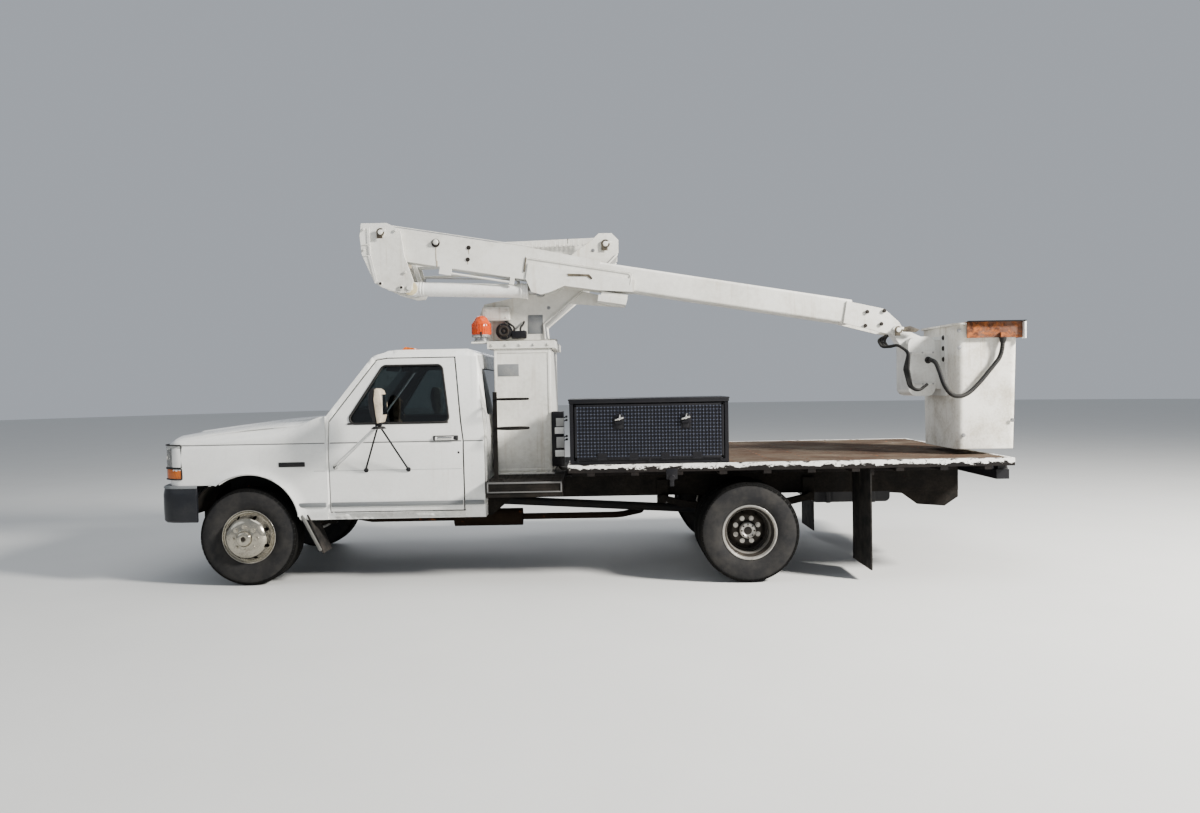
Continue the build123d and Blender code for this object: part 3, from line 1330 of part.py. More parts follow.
# Elbow: two pairs of plates, joined by a box across their front edges
ELBOW_SIDE = (
    (867, 2920),
    (880, 3028),
    (1100, 3028),
    (1160, 3000),
    (1219, 2956),
    (1249, 2742),
    (1318, 2534),
    (1310, 2470),
    (1285, 2430),
    (1213, 2425),
    (1054, 2474),
    (988, 2514),
    (881, 2761),
)
NEAR_INNER = UPPER_WIDTH / 2 + 5
with BuildPart() as elbow:
    for side in (LEFT, RIGHT):
        near = sorted((UPPER_Y + side * NEAR_INNER, UPPER_Y + side * (NEAR_INNER + ELBOW_PLATE)))
        side_slab(ELBOW_SIDE, *near)
        side_slab(ELBOW_SIDE, *both_sides(side, FAR_INNER, ELBOW_FAR_HALF))
    box_low = UPPER_Y - NEAR_INNER - ELBOW_PLATE + 1
    side_slab(((905, 2740), (965, 2740), (965, 2850), (890, 2850)), box_low, ELBOW_FAR_HALF - 1)
    cross_bar(*UPPER_PIN, UPPER_Y - 200, UPPER_Y + 200, PIN_RADIUS + BORE_GAP, Mode.SUBTRACT)
    cross_bar(*ELBOW_PIN, -ELBOW_FAR_HALF - 1, ELBOW_FAR_HALF + 1, PIN_RADIUS + BORE_GAP, Mode.SUBTRACT)
    cross_bar(*UPPER_FOOT, UPPER_Y - NEAR_INNER - 36, UPPER_Y + NEAR_INNER + 36, 22)
    cross_bar(*LINK_END, ELBOW_FAR_HALF - 1, LINK_Y - LINK_HALF - RUNNING_GAP, LINK_RADIUS)
finish(elbow, "elbow")

# Upper boom: steel base with doublers, fibreglass arm and tip plates
UPPER_PLANE = Plane(
    origin=(UPPER_PIN[0], UPPER_Y, UPPER_PIN[1]),
    x_dir=(math.cos(TILT), 0, math.sin(TILT)),
    z_dir=(0, -1, 0),
)


def along_boom(x, z):
    """An (x, z) place as distances along and above the upper boom's pin line."""
    dx, dz = x - UPPER_PIN[0], z - UPPER_PIN[1]
    return (
        dx * math.cos(TILT) + dz * math.sin(TILT),
        dz * math.cos(TILT) - dx * math.sin(TILT),
    )


def boom_point(s, h, half):
    """The place of a point given along, above and beside the upper boom."""
    x = UPPER_PIN[0] + s * math.cos(TILT) - h * math.sin(TILT)
    z = UPPER_PIN[1] + s * math.sin(TILT) + h * math.cos(TILT)
    return (x, UPPER_Y - half, z)


def boom_slab(points, half_low, half_high, mode=Mode.ADD):
    """Extrude an outline drawn along the upper boom between two half widths."""
    with BuildSketch(UPPER_PLANE.offset(half_low)) as profile:
        with BuildLine():
            Polyline(*points, close=True)
        make_face()
    extrude(profile.sketch, amount=half_high - half_low, mode=mode)


BASE_TOP = UPPER_AXIS_H + UPPER_BASE_HEIGHT / 2
ROD_SIDE = UPPER_WIDTH / 2 - 9
ROD_RADIUS = 9
BASE_BOTTOM = UPPER_AXIS_H - UPPER_BASE_HEIGHT / 2
ARM_TOP = UPPER_AXIS_H + UPPER_ARM_HEIGHT / 2
ARM_BOTTOM = UPPER_AXIS_H - UPPER_ARM_HEIGHT / 2
half_width = UPPER_WIDTH / 2
EYE_S, EYE_H = along_boom(*UPPER_EYE)
with BuildPart() as upper_base:
    boom_slab(
        (
            (-35, -60),
            (30, BASE_BOTTOM),
            (1500, BASE_BOTTOM),
            (UPPER_BASE_LENGTH, ARM_BOTTOM - 8),
            (UPPER_BASE_LENGTH, ARM_TOP + 8),
            (1305, BASE_TOP),
            (0, BASE_TOP),
        ),
        -half_width,
        half_width,
    )
    with BuildSketch(UPPER_PLANE):
        Circle(75)
    extrude(amount=half_width, both=True)
    boom_slab(
        (
            (120, BASE_BOTTOM + BOOM_WALL),
            (1500, BASE_BOTTOM + BOOM_WALL),
            (UPPER_BASE_LENGTH - 20, ARM_BOTTOM + 2),
            (UPPER_BASE_LENGTH - 20, ARM_TOP - 2),
            (1305, BASE_TOP - BOOM_WALL),
            (120, BASE_TOP - BOOM_WALL),
        ),
        -half_width + BOOM_WALL,
        half_width - BOOM_WALL,
        Mode.SUBTRACT,
    )
    for low in (-half_width - DOUBLER, half_width):
        boom_slab(
            (
                (1285, UPPER_AXIS_H),
                (1285, BASE_BOTTOM + 6),
                (EYE_S - 62, EYE_H - 24),
                (EYE_S + 24, EYE_H - 34),
                (EYE_S + 90, EYE_H - 6),
                (1626, BASE_BOTTOM - 5),
                (1920, BASE_BOTTOM),
                (DOUBLER_LENGTH, ARM_BOTTOM),
                (DOUBLER_LENGTH, UPPER_AXIS_H),
            ),
            low,
            low + DOUBLER,
        )
    # Levelling rod under the boom's near edge, held by a clevis and a lug
    rod_h = BASE_BOTTOM - 42
    lug = (ROD_SIDE - ROD_RADIUS, ROD_SIDE + ROD_RADIUS)
    boom_slab(((535, rod_h - 20), (640, rod_h - 20), (640, BASE_BOTTOM + 1), (535, BASE_BOTTOM + 1)), *lug)
    boom_slab(((1150, rod_h - 18), (1190, rod_h - 18), (1190, BASE_BOTTOM + 1), (1150, BASE_BOTTOM + 1)), *lug)
    with BuildSketch(Plane(origin=boom_point(600, rod_h, ROD_SIDE), z_dir=UPPER_PLANE.x_dir)) as rod_section:
        Circle(ROD_RADIUS)
    extrude(rod_section.sketch, amount=560)
    cross_bar(*UPPER_PIN, UPPER_Y - NEAR_INNER - ELBOW_PLATE - 14, UPPER_Y + NEAR_INNER + ELBOW_PLATE + 14, PIN_RADIUS)
finish(upper_base, "upper_boom_base")

TIP_START = UPPER_ARM_LENGTH - 48
TIP_PLATE = 14
with BuildPart() as arm:
    arm_start = UPPER_BASE_LENGTH
    boom_slab(
        (
            (arm_start, ARM_BOTTOM),
            (UPPER_ARM_LENGTH, ARM_BOTTOM),
            (UPPER_ARM_LENGTH, ARM_TOP),
            (arm_start, ARM_TOP),
        ),
        -half_width,
        half_width,
    )
    fillet(arm.edges().filter_by(Axis(UPPER_PLANE.origin, UPPER_PLANE.x_dir)), radius=24)
    boom_slab(
        (
            (arm_start - 1, ARM_BOTTOM + 14),
            (UPPER_ARM_LENGTH - 20, ARM_BOTTOM + 14),
            (UPPER_ARM_LENGTH - 20, ARM_TOP - 14),
            (arm_start - 1, ARM_TOP - 14),
        ),
        -half_width + 14,
        half_width - 14,
        Mode.SUBTRACT,
    )
    # Tip plates that carry the bucket's pin
    for low in (-half_width - TIP_PLATE, half_width):
        boom_slab(
            (
                (TIP_START, ARM_TOP - 22),
                (TIP_START + 330, ARM_TOP - 40),
                (TIP_S + 10, TIP_H + 70),
                (TIP_S + 48, TIP_H + 20),
                (TIP_S + 48, TIP_H - 20),
                (TIP_S + 20, TIP_H - 42),
                (TIP_S - 120, TIP_H - 40),
                (TIP_START, ARM_BOTTOM + 2),
            ),
            low,
            low + TIP_PLATE,
        )
    boom_slab(
        (
            (UPPER_ARM_LENGTH, ARM_BOTTOM + 24),
            (UPPER_ARM_LENGTH + 16, ARM_BOTTOM + 24),
            (UPPER_ARM_LENGTH + 16, ARM_TOP - 44),
            (UPPER_ARM_LENGTH, ARM_TOP - 44),
        ),
        -half_width,
        half_width,
    )
    cross_bar(*TIP_PIN, UPPER_Y - half_width - 1, UPPER_Y - half_width - TIP_PLATE - 12, 40)
    cross_bar(*TIP_PIN, UPPER_Y - half_width - TIP_PLATE - 12, UPPER_Y + half_width + TIP_PLATE + 12, 22)
finish(arm, "upper_boom_arm")

# Lift cylinders: a barrel on a foot pin and a rod whose eye lies between two lugs
CYLINDERS = (
    # name, foot, eye, y, barrel radius, rod radius, eye radius, foot half, eye half, pin
    ("lower", LOWER_FOOT, LOWER_EYE, 0, LOWER_BARREL_RADIUS, LOWER_ROD_RADIUS, LOWER_EYE_RADIUS, 50, 42, 16),
    ("upper", UPPER_FOOT, UPPER_EYE, UPPER_Y, UPPER_BARREL_RADIUS, UPPER_ROD_RADIUS, UPPER_EYE_RADIUS, 60, 82, 22),
)
GLAND_GAP = 60
for name, foot, eye, y, barrel_r, rod_r, eye_r, foot_half, eye_half, pin in CYLINDERS:
    start = Vector(foot[0], y, foot[1])
    way = (Vector(eye[0], y, eye[1]) - start).normalized()
    closed = math.dist(foot, eye)
    gland = closed - eye_r - GLAND_GAP
    with BuildPart() as barrel:
        bar(tuple(start), tuple(start + way * gland), barrel_r)
        bar(tuple(start + way * (gland - 45)), tuple(start + way * (gland + 4)), barrel_r + 5)
        cross_bar(*foot, y - foot_half, y + foot_half, barrel_r + 4)
        bore = tuple(start + way * (barrel_r + 10)), tuple(start + way * (gland + 5))
        bar(*bore, rod_r + BORE_GAP, Mode.SUBTRACT)
        cross_bar(*foot, y - foot_half - 1, y + foot_half + 1, pin + BORE_GAP, Mode.SUBTRACT)
    finish(barrel, f"{name}_cylinder_barrel")
    with BuildPart() as rod:
        bar(tuple(start + way * (barrel_r + 15)), tuple(start + way * closed), rod_r)
        cross_bar(*eye, y - eye_half, y + eye_half, eye_r)
    finish(rod, f"{name}_cylinder_rod")

# Bucket bracket: hub on the tip pin, a housing and the plate behind the bucket
HOUSING_FRONT = TIP_PIN[0] + 80
HOUSING_REAR = TIP_PIN[0] + 310
HOUSING_TOP = TIP_PIN[1] - 62
HOUSING_BOTTOM = HOUSING_TOP - 511
HOUSING_HALF = 150
with BuildPart() as bracket:
    with BuildSketch(side_plane(UPPER_Y + HOUSING_HALF)):
        with Locations(((HOUSING_FRONT + HOUSING_REAR) / 2, (HOUSING_BOTTOM + HOUSING_TOP) / 2)):
            RectangleRounded(HOUSING_REAR - HOUSING_FRONT, HOUSING_TOP - HOUSING_BOTTOM, 70)
    extrude(amount=2 * HOUSING_HALF)
    block(HOUSING_REAR - 80, BUCKET_FRONT, UPPER_Y - 120, UPPER_Y + 120, HOUSING_BOTTOM + 60, HOUSING_TOP - 30)
    block(BUCKET_FRONT - 24, BUCKET_FRONT, UPPER_Y - 230, UPPER_Y + 230, HOUSING_BOTTOM, HOUSING_TOP)
    side_slab(
        (
            (TIP_PIN[0] - 20, TIP_PIN[1] - 38),
            (HOUSING_FRONT + 30, HOUSING_TOP - 160),
            (HOUSING_REAR - 60, HOUSING_TOP - 10),
            (TIP_PIN[0] + 20, TIP_PIN[1] + 38),
        ),
        UPPER_Y - 60,
        UPPER_Y + 60,
    )
    cross_bar(*TIP_PIN, UPPER_Y - half_width + 5, UPPER_Y + half_width - 5, 46)
    cross_bar(*TIP_PIN, UPPER_Y - half_width, UPPER_Y + half_width, 22 + BORE_GAP, Mode.SUBTRACT)
finish(bracket, "bucket_bracket")

BUCKET_Y = (BUCKET_NEAR + BUCKET_FAR) / 2
BUCKET_WIDTH = BUCKET_FAR - BUCKET_NEAR
BUCKET_CORNER = 55
BUCKET_FLOOR = 24


def bucket_section(z, shrink, taper):
    """Rounded plan section of the bucket; its front face stays upright."""
    middle_x = BUCKET_FRONT + shrink + (BUCKET_LENGTH - 2 * shrink - taper) / 2
    with BuildSketch(Plane.XY.offset(z)) as section:
        with Locations((middle_x, BUCKET_Y)):
            RectangleRounded(
                BUCKET_LENGTH - 2 * shrink - taper,
                BUCKET_WIDTH - 2 * shrink - 2 * taper,
                BUCKET_CORNER - shrink,
            )
    return section.sketch.faces()[0]


with BuildPart() as bucket:
    loft([bucket_section(BUCKET_BOTTOM, 0, BUCKET_TAPER), bucket_section(BUCKET_RIM, 0, 0)])
    with BuildSketch(Plane.XY.offset(BUCKET_RIM - 18)):
        with Locations((BUCKET_FRONT + BUCKET_LENGTH / 2, BUCKET_Y)):
            RectangleRounded(
                BUCKET_LENGTH + 2 * RIM_LIP, BUCKET_WIDTH + 2 * RIM_LIP, BUCKET_CORNER + RIM_LIP
            )
    extrude(amount=18)
    loft(
        [
            bucket_section(BUCKET_BOTTOM + BUCKET_FLOOR, BUCKET_WALL, BUCKET_TAPER),
            bucket_section(BUCKET_RIM, BUCKET_WALL, 0),
        ],
        mode=Mode.SUBTRACT,
    )
finish(bucket, "bucket")

# Steel tray hooked over the rim at the near rear corner
TRAY_FRONT = BUCKET_FRONT + 70
TRAY_BOTTOM = BUCKET_RIM - 127
TRAY_FAR = UPPER_Y - 30
lip_y = BUCKET_NEAR - RIM_LIP - RUNNING_GAP
lip_x = BUCKET_REAR + RIM_LIP + RUNNING_GAP
TRAY_GLAND_X = BUCKET_FRONT + 360
HOSE_RADIUS = 18
HOSE_Y = lip_y - 17
with BuildPart() as tray:
    block(TRAY_FRONT, REAR_END, lip_y - TRAY_WALL, lip_y, TRAY_BOTTOM, BUCKET_RIM + TRAY_WALL)
    block(lip_x, REAR_END, lip_y - TRAY_WALL, TRAY_FAR, TRAY_BOTTOM, BUCKET_RIM + TRAY_WALL)
    block(TRAY_FRONT, REAR_END, lip_y - TRAY_WALL, BUCKET_NEAR + 30, BUCKET_RIM, BUCKET_RIM + TRAY_WALL)
    block(BUCKET_REAR - 30, REAR_END, lip_y - TRAY_WALL, TRAY_FAR, BUCKET_RIM, BUCKET_RIM + TRAY_WALL)
    block(TRAY_GLAND_X - 26, TRAY_GLAND_X + 26, HOSE_Y - 26, lip_y, TRAY_BOTTOM, TRAY_BOTTOM + 40)
finish(tray, "rim_tray")

# Hose that loops from the bracket's housing round the bucket's near side to the tray
HOSE_START_Y = UPPER_Y - HOUSING_HALF
HOSE_LEAVES_X = HOUSING_REAR - 60
HOSE_LEAVES_Z = HOUSING_TOP - 203
HOSE = (
    (HOSE_LEAVES_X, HOSE_START_Y, HOSE_LEAVES_Z),
    (HOSE_LEAVES_X, HOSE_Y + 164, HOSE_LEAVES_Z),
    (HOSE_LEAVES_X - 6, HOSE_Y + 47, HOSE_LEAVES_Z - 95),
    (HOSE_LEAVES_X + 6, HOSE_Y - 16, HOSE_LEAVES_Z - 220),
    (HOSE_LEAVES_X + 72, HOSE_Y - 25, HOSE_LEAVES_Z - 310),
    (HOSE_LEAVES_X + 188, HOSE_Y - 15, HOSE_LEAVES_Z - 307),
    (HOSE_LEAVES_X + 305, HOSE_Y - 6, HOSE_LEAVES_Z - 200),
    (TRAY_GLAND_X - 90, HOSE_Y, HOSE_LEAVES_Z - 75),
    (TRAY_GLAND_X, HOSE_Y, HOSE_LEAVES_Z + 35),
    (TRAY_GLAND_X, HOSE_Y, TRAY_BOTTOM),
)


def route_radii(points):
    """Arc radii as large as the runs on both sides of each point allow."""
    radii = []
    for before, point, after in zip(points, points[1:], points[2:]):
        into, out = Vector(*point) - Vector(*before), Vector(*after) - Vector(*point)
        half_turn = math.radians(into.get_angle(out)) / 2
        radii.append(0.45 * min(into.length, out.length) / math.tan(half_turn))
    return radii


hose_radii = route_radii(HOSE)
with BuildPart() as hose:
    with BuildLine() as hose_route:
        FilletPolyline(*HOSE, radius=hose_radii)
    with BuildSketch(Plane(origin=HOSE[0], z_dir=(0, -1, 0))):
        Circle(HOSE_RADIUS)
    sweep()
finish(hose, "bucket_hose")
hose_length = sum(edge.length for edge in hose_route.line.edges())
print("hose radii", [round(r) for r in hose_radii], "length", round(hose_length))
print("hose volume ratio", hose.part.volume / (math.pi * HOSE_RADIUS**2 * hose_length))
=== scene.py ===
"""Dresses the cherry picker truck for its pictures: finishes, trim, wheels, lamps, seats and stage.

Every shape is given in millimetres: x back from the front axle, y to the truck's right and z up
from the ground. PLACE turns that into the frame's metres.
"""

import math

import bmesh
import bpy
from bpy.props import FloatProperty, FloatVectorProperty, IntProperty, PointerProperty
from mathutils import Matrix, Vector


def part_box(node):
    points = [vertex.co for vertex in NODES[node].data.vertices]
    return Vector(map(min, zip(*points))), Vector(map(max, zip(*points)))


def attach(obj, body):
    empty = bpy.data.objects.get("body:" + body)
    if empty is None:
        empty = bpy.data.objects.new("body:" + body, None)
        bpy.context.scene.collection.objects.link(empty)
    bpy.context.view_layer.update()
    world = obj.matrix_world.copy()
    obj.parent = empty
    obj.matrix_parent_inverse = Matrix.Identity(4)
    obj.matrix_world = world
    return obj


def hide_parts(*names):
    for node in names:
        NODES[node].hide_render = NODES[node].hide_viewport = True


bl_info = {
    "name": "Cherry picker truck",
    "version": (1, 0, 0),
    "blender": (4, 5, 0),
    "location": "3D View > Sidebar > Truck",
    "description": "Finishes, trim and stage of a flatbed truck with a slewing work boom",
    "category": "Object",
}

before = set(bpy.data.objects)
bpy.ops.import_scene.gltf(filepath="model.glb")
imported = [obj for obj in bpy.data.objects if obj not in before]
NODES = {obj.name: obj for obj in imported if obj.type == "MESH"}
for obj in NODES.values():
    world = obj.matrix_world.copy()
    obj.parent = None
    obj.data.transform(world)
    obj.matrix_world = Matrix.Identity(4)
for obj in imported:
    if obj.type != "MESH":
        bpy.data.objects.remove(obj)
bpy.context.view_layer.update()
MM = 0.001
_low, _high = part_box("front_tyre_left")
PLACE = Matrix.Translation(((_low.x + _high.x) / 2, 0, 0)) @ Matrix.Scale(MM, 4)
LEFT, RIGHT = -1, 1
SIDES = ((LEFT, "left"), (RIGHT, "right"))

# The cab's half width, and the heights of its belt groove and lower crease
HALF = 990
BELT = 1170
CREASE = 945
# The tyres' radius, which is the axles' height, their half widths and their places across
WHEELBASE = 4089
TYRE = 403
FRONT_HALF_TYRE, REAR_HALF_TYRE = 117.5, 112.5
FRONT_Y, OUTER_Y, INNER_Y = 860, 1077.5, 792.5
# The upper boom's slope and its pin's x and z
TILT = math.radians(-9.5)
UPPER_PIN = (1053, 2942)


def lean(z):
    """How far the cab's side leans in at height z."""
    return 85 * max(0.0, z - BELT) / 688


def body_side(z):
    """How far out the cab's side is at height z."""
    return HALF - lean(z)


def boom_point(s, h, y):
    """A point given along and above the upper boom's own line."""
    return (
        UPPER_PIN[0] + s * math.cos(TILT) - h * math.sin(TILT), y,
        UPPER_PIN[1] + s * math.sin(TILT) + h * math.cos(TILT),
    )


# Shapes


class Shape:
    """A mesh that is being built, in millimetres."""

    def __init__(self):
        self.bm = bmesh.new()

    def mesh(self):
        """The finished mesh, in metres. The shape is used up."""
        bmesh.ops.remove_doubles(self.bm, verts=self.bm.verts, dist=0.01)
        bmesh.ops.recalc_face_normals(self.bm, faces=self.bm.faces)
        bmesh.ops.transform(self.bm, matrix=PLACE, verts=self.bm.verts)
        mesh = bpy.data.meshes.new("shape")
        self.bm.to_mesh(mesh)
        self.bm.free()
        soften(mesh)
        return mesh

    def round_off(self, edges, bevel, segments=2):
        """Rounds edges by a bevel, if it isn't 0."""
        if bevel:
            bmesh.ops.bevel(
                self.bm, geom=list(edges), offset=bevel, segments=segments, profile=0.5,
                affect="EDGES", clamp_overlap=True,
            )

    def box(self, x0, x1, y0, y1, z0, z1, bevel=0, turn=None, segments=2):
        """A box between two corners, turned about its centre."""
        made = bmesh.ops.create_cube(self.bm, size=1)["verts"]
        centre = Vector(((x0 + x1) / 2, (y0 + y1) / 2, (z0 + z1) / 2))
        size = (abs(x1 - x0), abs(y1 - y0), abs(z1 - z0))
        turned = Matrix.Translation(centre) @ (turn or Matrix.Identity(4))
        matrix = turned @ Matrix.Diagonal((*size, 1))
        bmesh.ops.transform(self.bm, matrix=matrix, verts=made)
        self.round_off({e for v in made for e in v.link_edges}, bevel, segments)
        return self

    def prism(self, outline, low, high, axis="y", bevel=0):
        """A flat outline pushed through from low to high along y or z."""

        def place(a, b, c):
            return (a, c, b) if axis == "y" else (a, b, c)

        first = [self.bm.verts.new(place(a, b, low)) for a, b in outline]
        last = [self.bm.verts.new(place(a, b, high)) for a, b in outline]
        faces = [self.bm.faces.new(first), self.bm.faces.new(last[::-1])]
        for i in range(len(outline)):
            j = (i + 1) % len(outline)
            faces.append(self.bm.faces.new((first[j], first[i], last[i], last[j])))
        if bevel:
            self.round_off({e for f in faces[:2] for e in f.edges}, bevel)
        return self

    def rod(self, a, b, r, r2=None, sides=24, bevel=0):
        """A round bar or cone from a to b."""
        a, b = Vector(a), Vector(b)
        made = bmesh.ops.create_cone(
            self.bm, cap_ends=True, segments=sides, radius1=r, radius2=r if r2 is None else r2,
            depth=(b - a).length,
        )["verts"]
        turn = (b - a).to_track_quat("Z", "Y").to_matrix().to_4x4()
        bmesh.ops.transform(self.bm, matrix=Matrix.Translation((a + b) / 2) @ turn, verts=made)
        if bevel:
            flat = {f for v in made for f in v.link_faces if len(f.verts) > 4}
            self.round_off({e for f in flat for e in f.edges}, bevel)
        return self

    def lathe(self, profile, centre, axis, sides=72):
        """A closed profile of (radius, distance along the axis) turned round that axis."""
        turn = Vector(axis).to_track_quat("Z", "Y").to_matrix().to_4x4()
        matrix = Matrix.Translation(centre) @ turn
        rings = []
        for i in range(sides):
            angle = 2 * math.pi * i / sides
            rings.append(
                [
                    self.bm.verts.new(
                        matrix @ Vector((r * math.cos(angle), r * math.sin(angle), t))
                    )
                    for r, t in profile
                ]
            )
        count = len(profile)
        for i in range(sides):
            here, there = rings[i], rings[(i + 1) % sides]
            for k in range(count):
                n = (k + 1) % count
                if profile[k][0] < 0.01 and profile[n][0] < 0.01:
                    continue
                self.bm.faces.new((here[k], here[n], there[n], there[k]))
        return self


def soften(mesh, angle=35):
    """Smooth shading that keeps edges sharper than the angle."""
    for polygon in mesh.polygons:
        polygon.use_smooth = True
    mesh.set_sharp_from_angle(angle=math.radians(angle))


def joined(parts):
    """One mesh from (shape, finish) pairs and from meshes that keep their own finishes."""
    bm = bmesh.new()
    materials = []
    for part in parts:
        shape, finish = part if isinstance(part, tuple) else (part, None)
        mesh = shape.mesh() if isinstance(shape, Shape) else shape
        before = len(bm.faces)
        bm.from_mesh(mesh)
        bm.faces.ensure_lookup_table()
        own = [finish] if finish else [m.name for m in mesh.materials]
        materials += [name for name in own if name not in materials]
        for face in bm.faces[before:]:
            face.material_index = materials.index(own[0 if finish else face.material_index])
    whole = bpy.data.meshes.new("joined")
    bm.to_mesh(whole)
    bm.free()
    for finish in materials:
        whole.materials.append(material(finish))
    soften(whole)
    return whole


def piece(name, mesh, body, stands_for=()):
    """Adds one finished piece, which rides on a body of the frame.

    It is given as a mesh with its own finish, a (shape, finish) pair or a list of either.
    """
    if isinstance(mesh, list):
        mesh = joined(mesh)
    elif isinstance(mesh, tuple):
        shape, finish = mesh
        mesh = shape.mesh() if isinstance(shape, Shape) else shape
        mesh.materials.clear()
        mesh.materials.append(material(finish))
    mesh.name = name
    obj = bpy.data.objects.new(name, mesh)
    bpy.context.scene.collection.objects.link(obj)
    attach(obj, body)
    if stands_for:
        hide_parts(*stands_for)
    return obj


# Node trees


class Graph:
    """Short ways to add nodes to a tree."""

    def __init__(self, tree):
        self.tree = tree

    def add(self, kind, inputs=None, **settings):
        """A node with settings and with values or links on its inputs."""
        node = self.tree.nodes.new(kind)
        for key, value in settings.items():
            setattr(node, key, value)
        for key, value in (inputs or {}).items():
            self.put(node.inputs[key], value)
        return node

    def put(self, socket, value):
        if isinstance(value, bpy.types.NodeSocket):
            self.tree.links.new(value, socket)
        elif value is not None:
            socket.default_value = value

    def math(self, operation, a, b=None, clamp=False):
        node = self.add("ShaderNodeMath", {0: a, 1: b}, operation=operation, use_clamp=clamp)
        return node.outputs[0]

    def plus(self, a, b):
        return self.math("ADD", a, b)

    def minus(self, a, b, clamp=False):
        return self.math("SUBTRACT", a, b, clamp)

    def times(self, a, b, clamp=False):
        return self.math("MULTIPLY", a, b, clamp)

    def mix(self, factor, a, b):
        return self.add("ShaderNodeMix", {0: factor, 6: a, 7: b}, data_type="RGBA").outputs[2]

    def spread(self, value, low, high, to_low=0.0, to_high=1.0):
        node = self.add(
            "ShaderNodeMapRange",
            {
                "Value": value, "From Min": low, "From Max": high, "To Min": to_low,
                "To Max": to_high,
            },
            interpolation_type="SMOOTHSTEP",
        )
        return node.outputs[0]

    def place(self, scale=None):
        """Object coordinates, stretched if a scale is given."""
        coordinates = self.add("ShaderNodeTexCoord").outputs["Object"]
        if not scale:
            return coordinates
        node = self.add("ShaderNodeMapping", {"Vector": coordinates, "Scale": scale})
        return node.outputs[0]

    def noise(self, vector, scale, detail=5.0, rough=0.6, distortion=0.0):
        node = self.add(
            "ShaderNodeTexNoise",
            {
                "Vector": vector, "Scale": scale, "Detail": detail, "Roughness": rough,
                "Distortion": distortion,
            },
        )
        return node.outputs[0]

    def close(self, results):
        """Ends a group's tree in its results, by name."""
        self.add("NodeGroupOutput", results)
        return self.tree


def group(kind, name, inputs, outputs):
    """An empty node group with named sockets, as (graph, its inputs)."""
    tree = bpy.data.node_groups.new(name, kind + "NodeTree")
    for rows, way in ((inputs, "INPUT"), (outputs, "OUTPUT")):
        for label, socket, *value in rows:
            item = tree.interface.new_socket(label, in_out=way, socket_type="NodeSocket" + socket)
            if value:
                item.default_value = value[0]
    graph = Graph(tree)
    return graph, graph.add("NodeGroupInput").outputs


# Geometry Nodes trees


def growing(name, inputs):
    """An empty geometry tree that also takes a material."""
    shape = ("Geometry", "Geometry")
    return group("Geometry", name, [shape, *inputs, ("Material", "Material")], [shape])


def painted(graph, geometry, source):
    """Ends a tree in Realize Instances and Set Material."""
    real = graph.add("GeometryNodeRealizeInstances", {"Geometry": geometry}).outputs[0]
    paint = graph.add("GeometryNodeSetMaterial", {"Geometry": real, "Material": source["Material"]})
    return graph.close({"Geometry": paint.outputs[0]})


def placed(graph, source, instance):
    """Puts an instance on each spot, with its z along aim, its x along lie and its own size."""
    aim, lie, size = [
        graph.add(
            "GeometryNodeInputNamedAttribute", {"Name": label}, data_type="FLOAT_VECTOR",
        ).outputs["Attribute"]
        for label in ("aim", "lie", "size")
    ]
    align = "FunctionNodeAlignRotationToVector"
    up = graph.add(align, {"Vector": aim}, axis="Z").outputs[0]
    turn = graph.add(align, {"Rotation": up, "Vector": lie}, axis="X", pivot_axis="Z").outputs[0]
    spread = graph.add(
        "GeometryNodeInstanceOnPoints",
        {"Points": source["Geometry"], "Instance": instance, "Rotation": turn, "Scale": size},
    )
    return spread.outputs[0]


def bolt_tree():
    """A washer and a head on each spot."""
    graph, source = growing(
        "Bolt heads", [("Radius", "Float", 0.01), ("Height", "Float", 0.008), ("Sides", "Int", 6)],
    )
    join = graph.add("GeometryNodeJoinGeometry")
    for wide, tall, sides in ((1.0, 1.0, source["Sides"]), (1.45, 0.3, 16)):
        radius, depth = graph.times(source["Radius"], wide), graph.times(source["Height"], tall)
        head = graph.add(
            "GeometryNodeMeshCylinder", {"Vertices": sides, "Radius": radius, "Depth": depth},
        )
        graph.put(join.inputs[0], head.outputs["Mesh"])
    return painted(graph, placed(graph, source, join.outputs[0]), source)


def block_tree():
    """A block on each spot, such as a tread lug, bar, rib or slat."""
    graph, source = growing("Blocks", [])
    cube = graph.add("GeometryNodeMeshCube", {"Size": (1, 1, 1)}).outputs["Mesh"]
    return painted(graph, placed(graph, source, cube), source)


def pipe_tree():
    """A round pipe with bent corners along each line of edges."""
    graph, source = growing(
        "Pipes", [("Radius", "Float", 0.01), ("Bend", "Float", 0.03), ("Sides", "Int", 14)],
    )
    line = graph.add("GeometryNodeMeshToCurve", {"Mesh": source["Geometry"]}).outputs[0]
    bent = graph.add("GeometryNodeFilletCurve", {"Curve": line, "Count": 6}, mode="POLY")
    graph.put(bent.inputs["Limit Radius"], True)
    graph.put(bent.inputs["Radius"], source["Bend"])
    ring = graph.add(
        "GeometryNodeCurvePrimitiveCircle",
        {"Resolution": source["Sides"], "Radius": source["Radius"]},
    )
    pipe = graph.add(
        "GeometryNodeCurveToMesh",
        {"Curve": bent.outputs[0], "Profile Curve": ring.outputs["Curve"], "Fill Caps": True},
    )
    return painted(graph, pipe.outputs[0], source)


TREES = {}


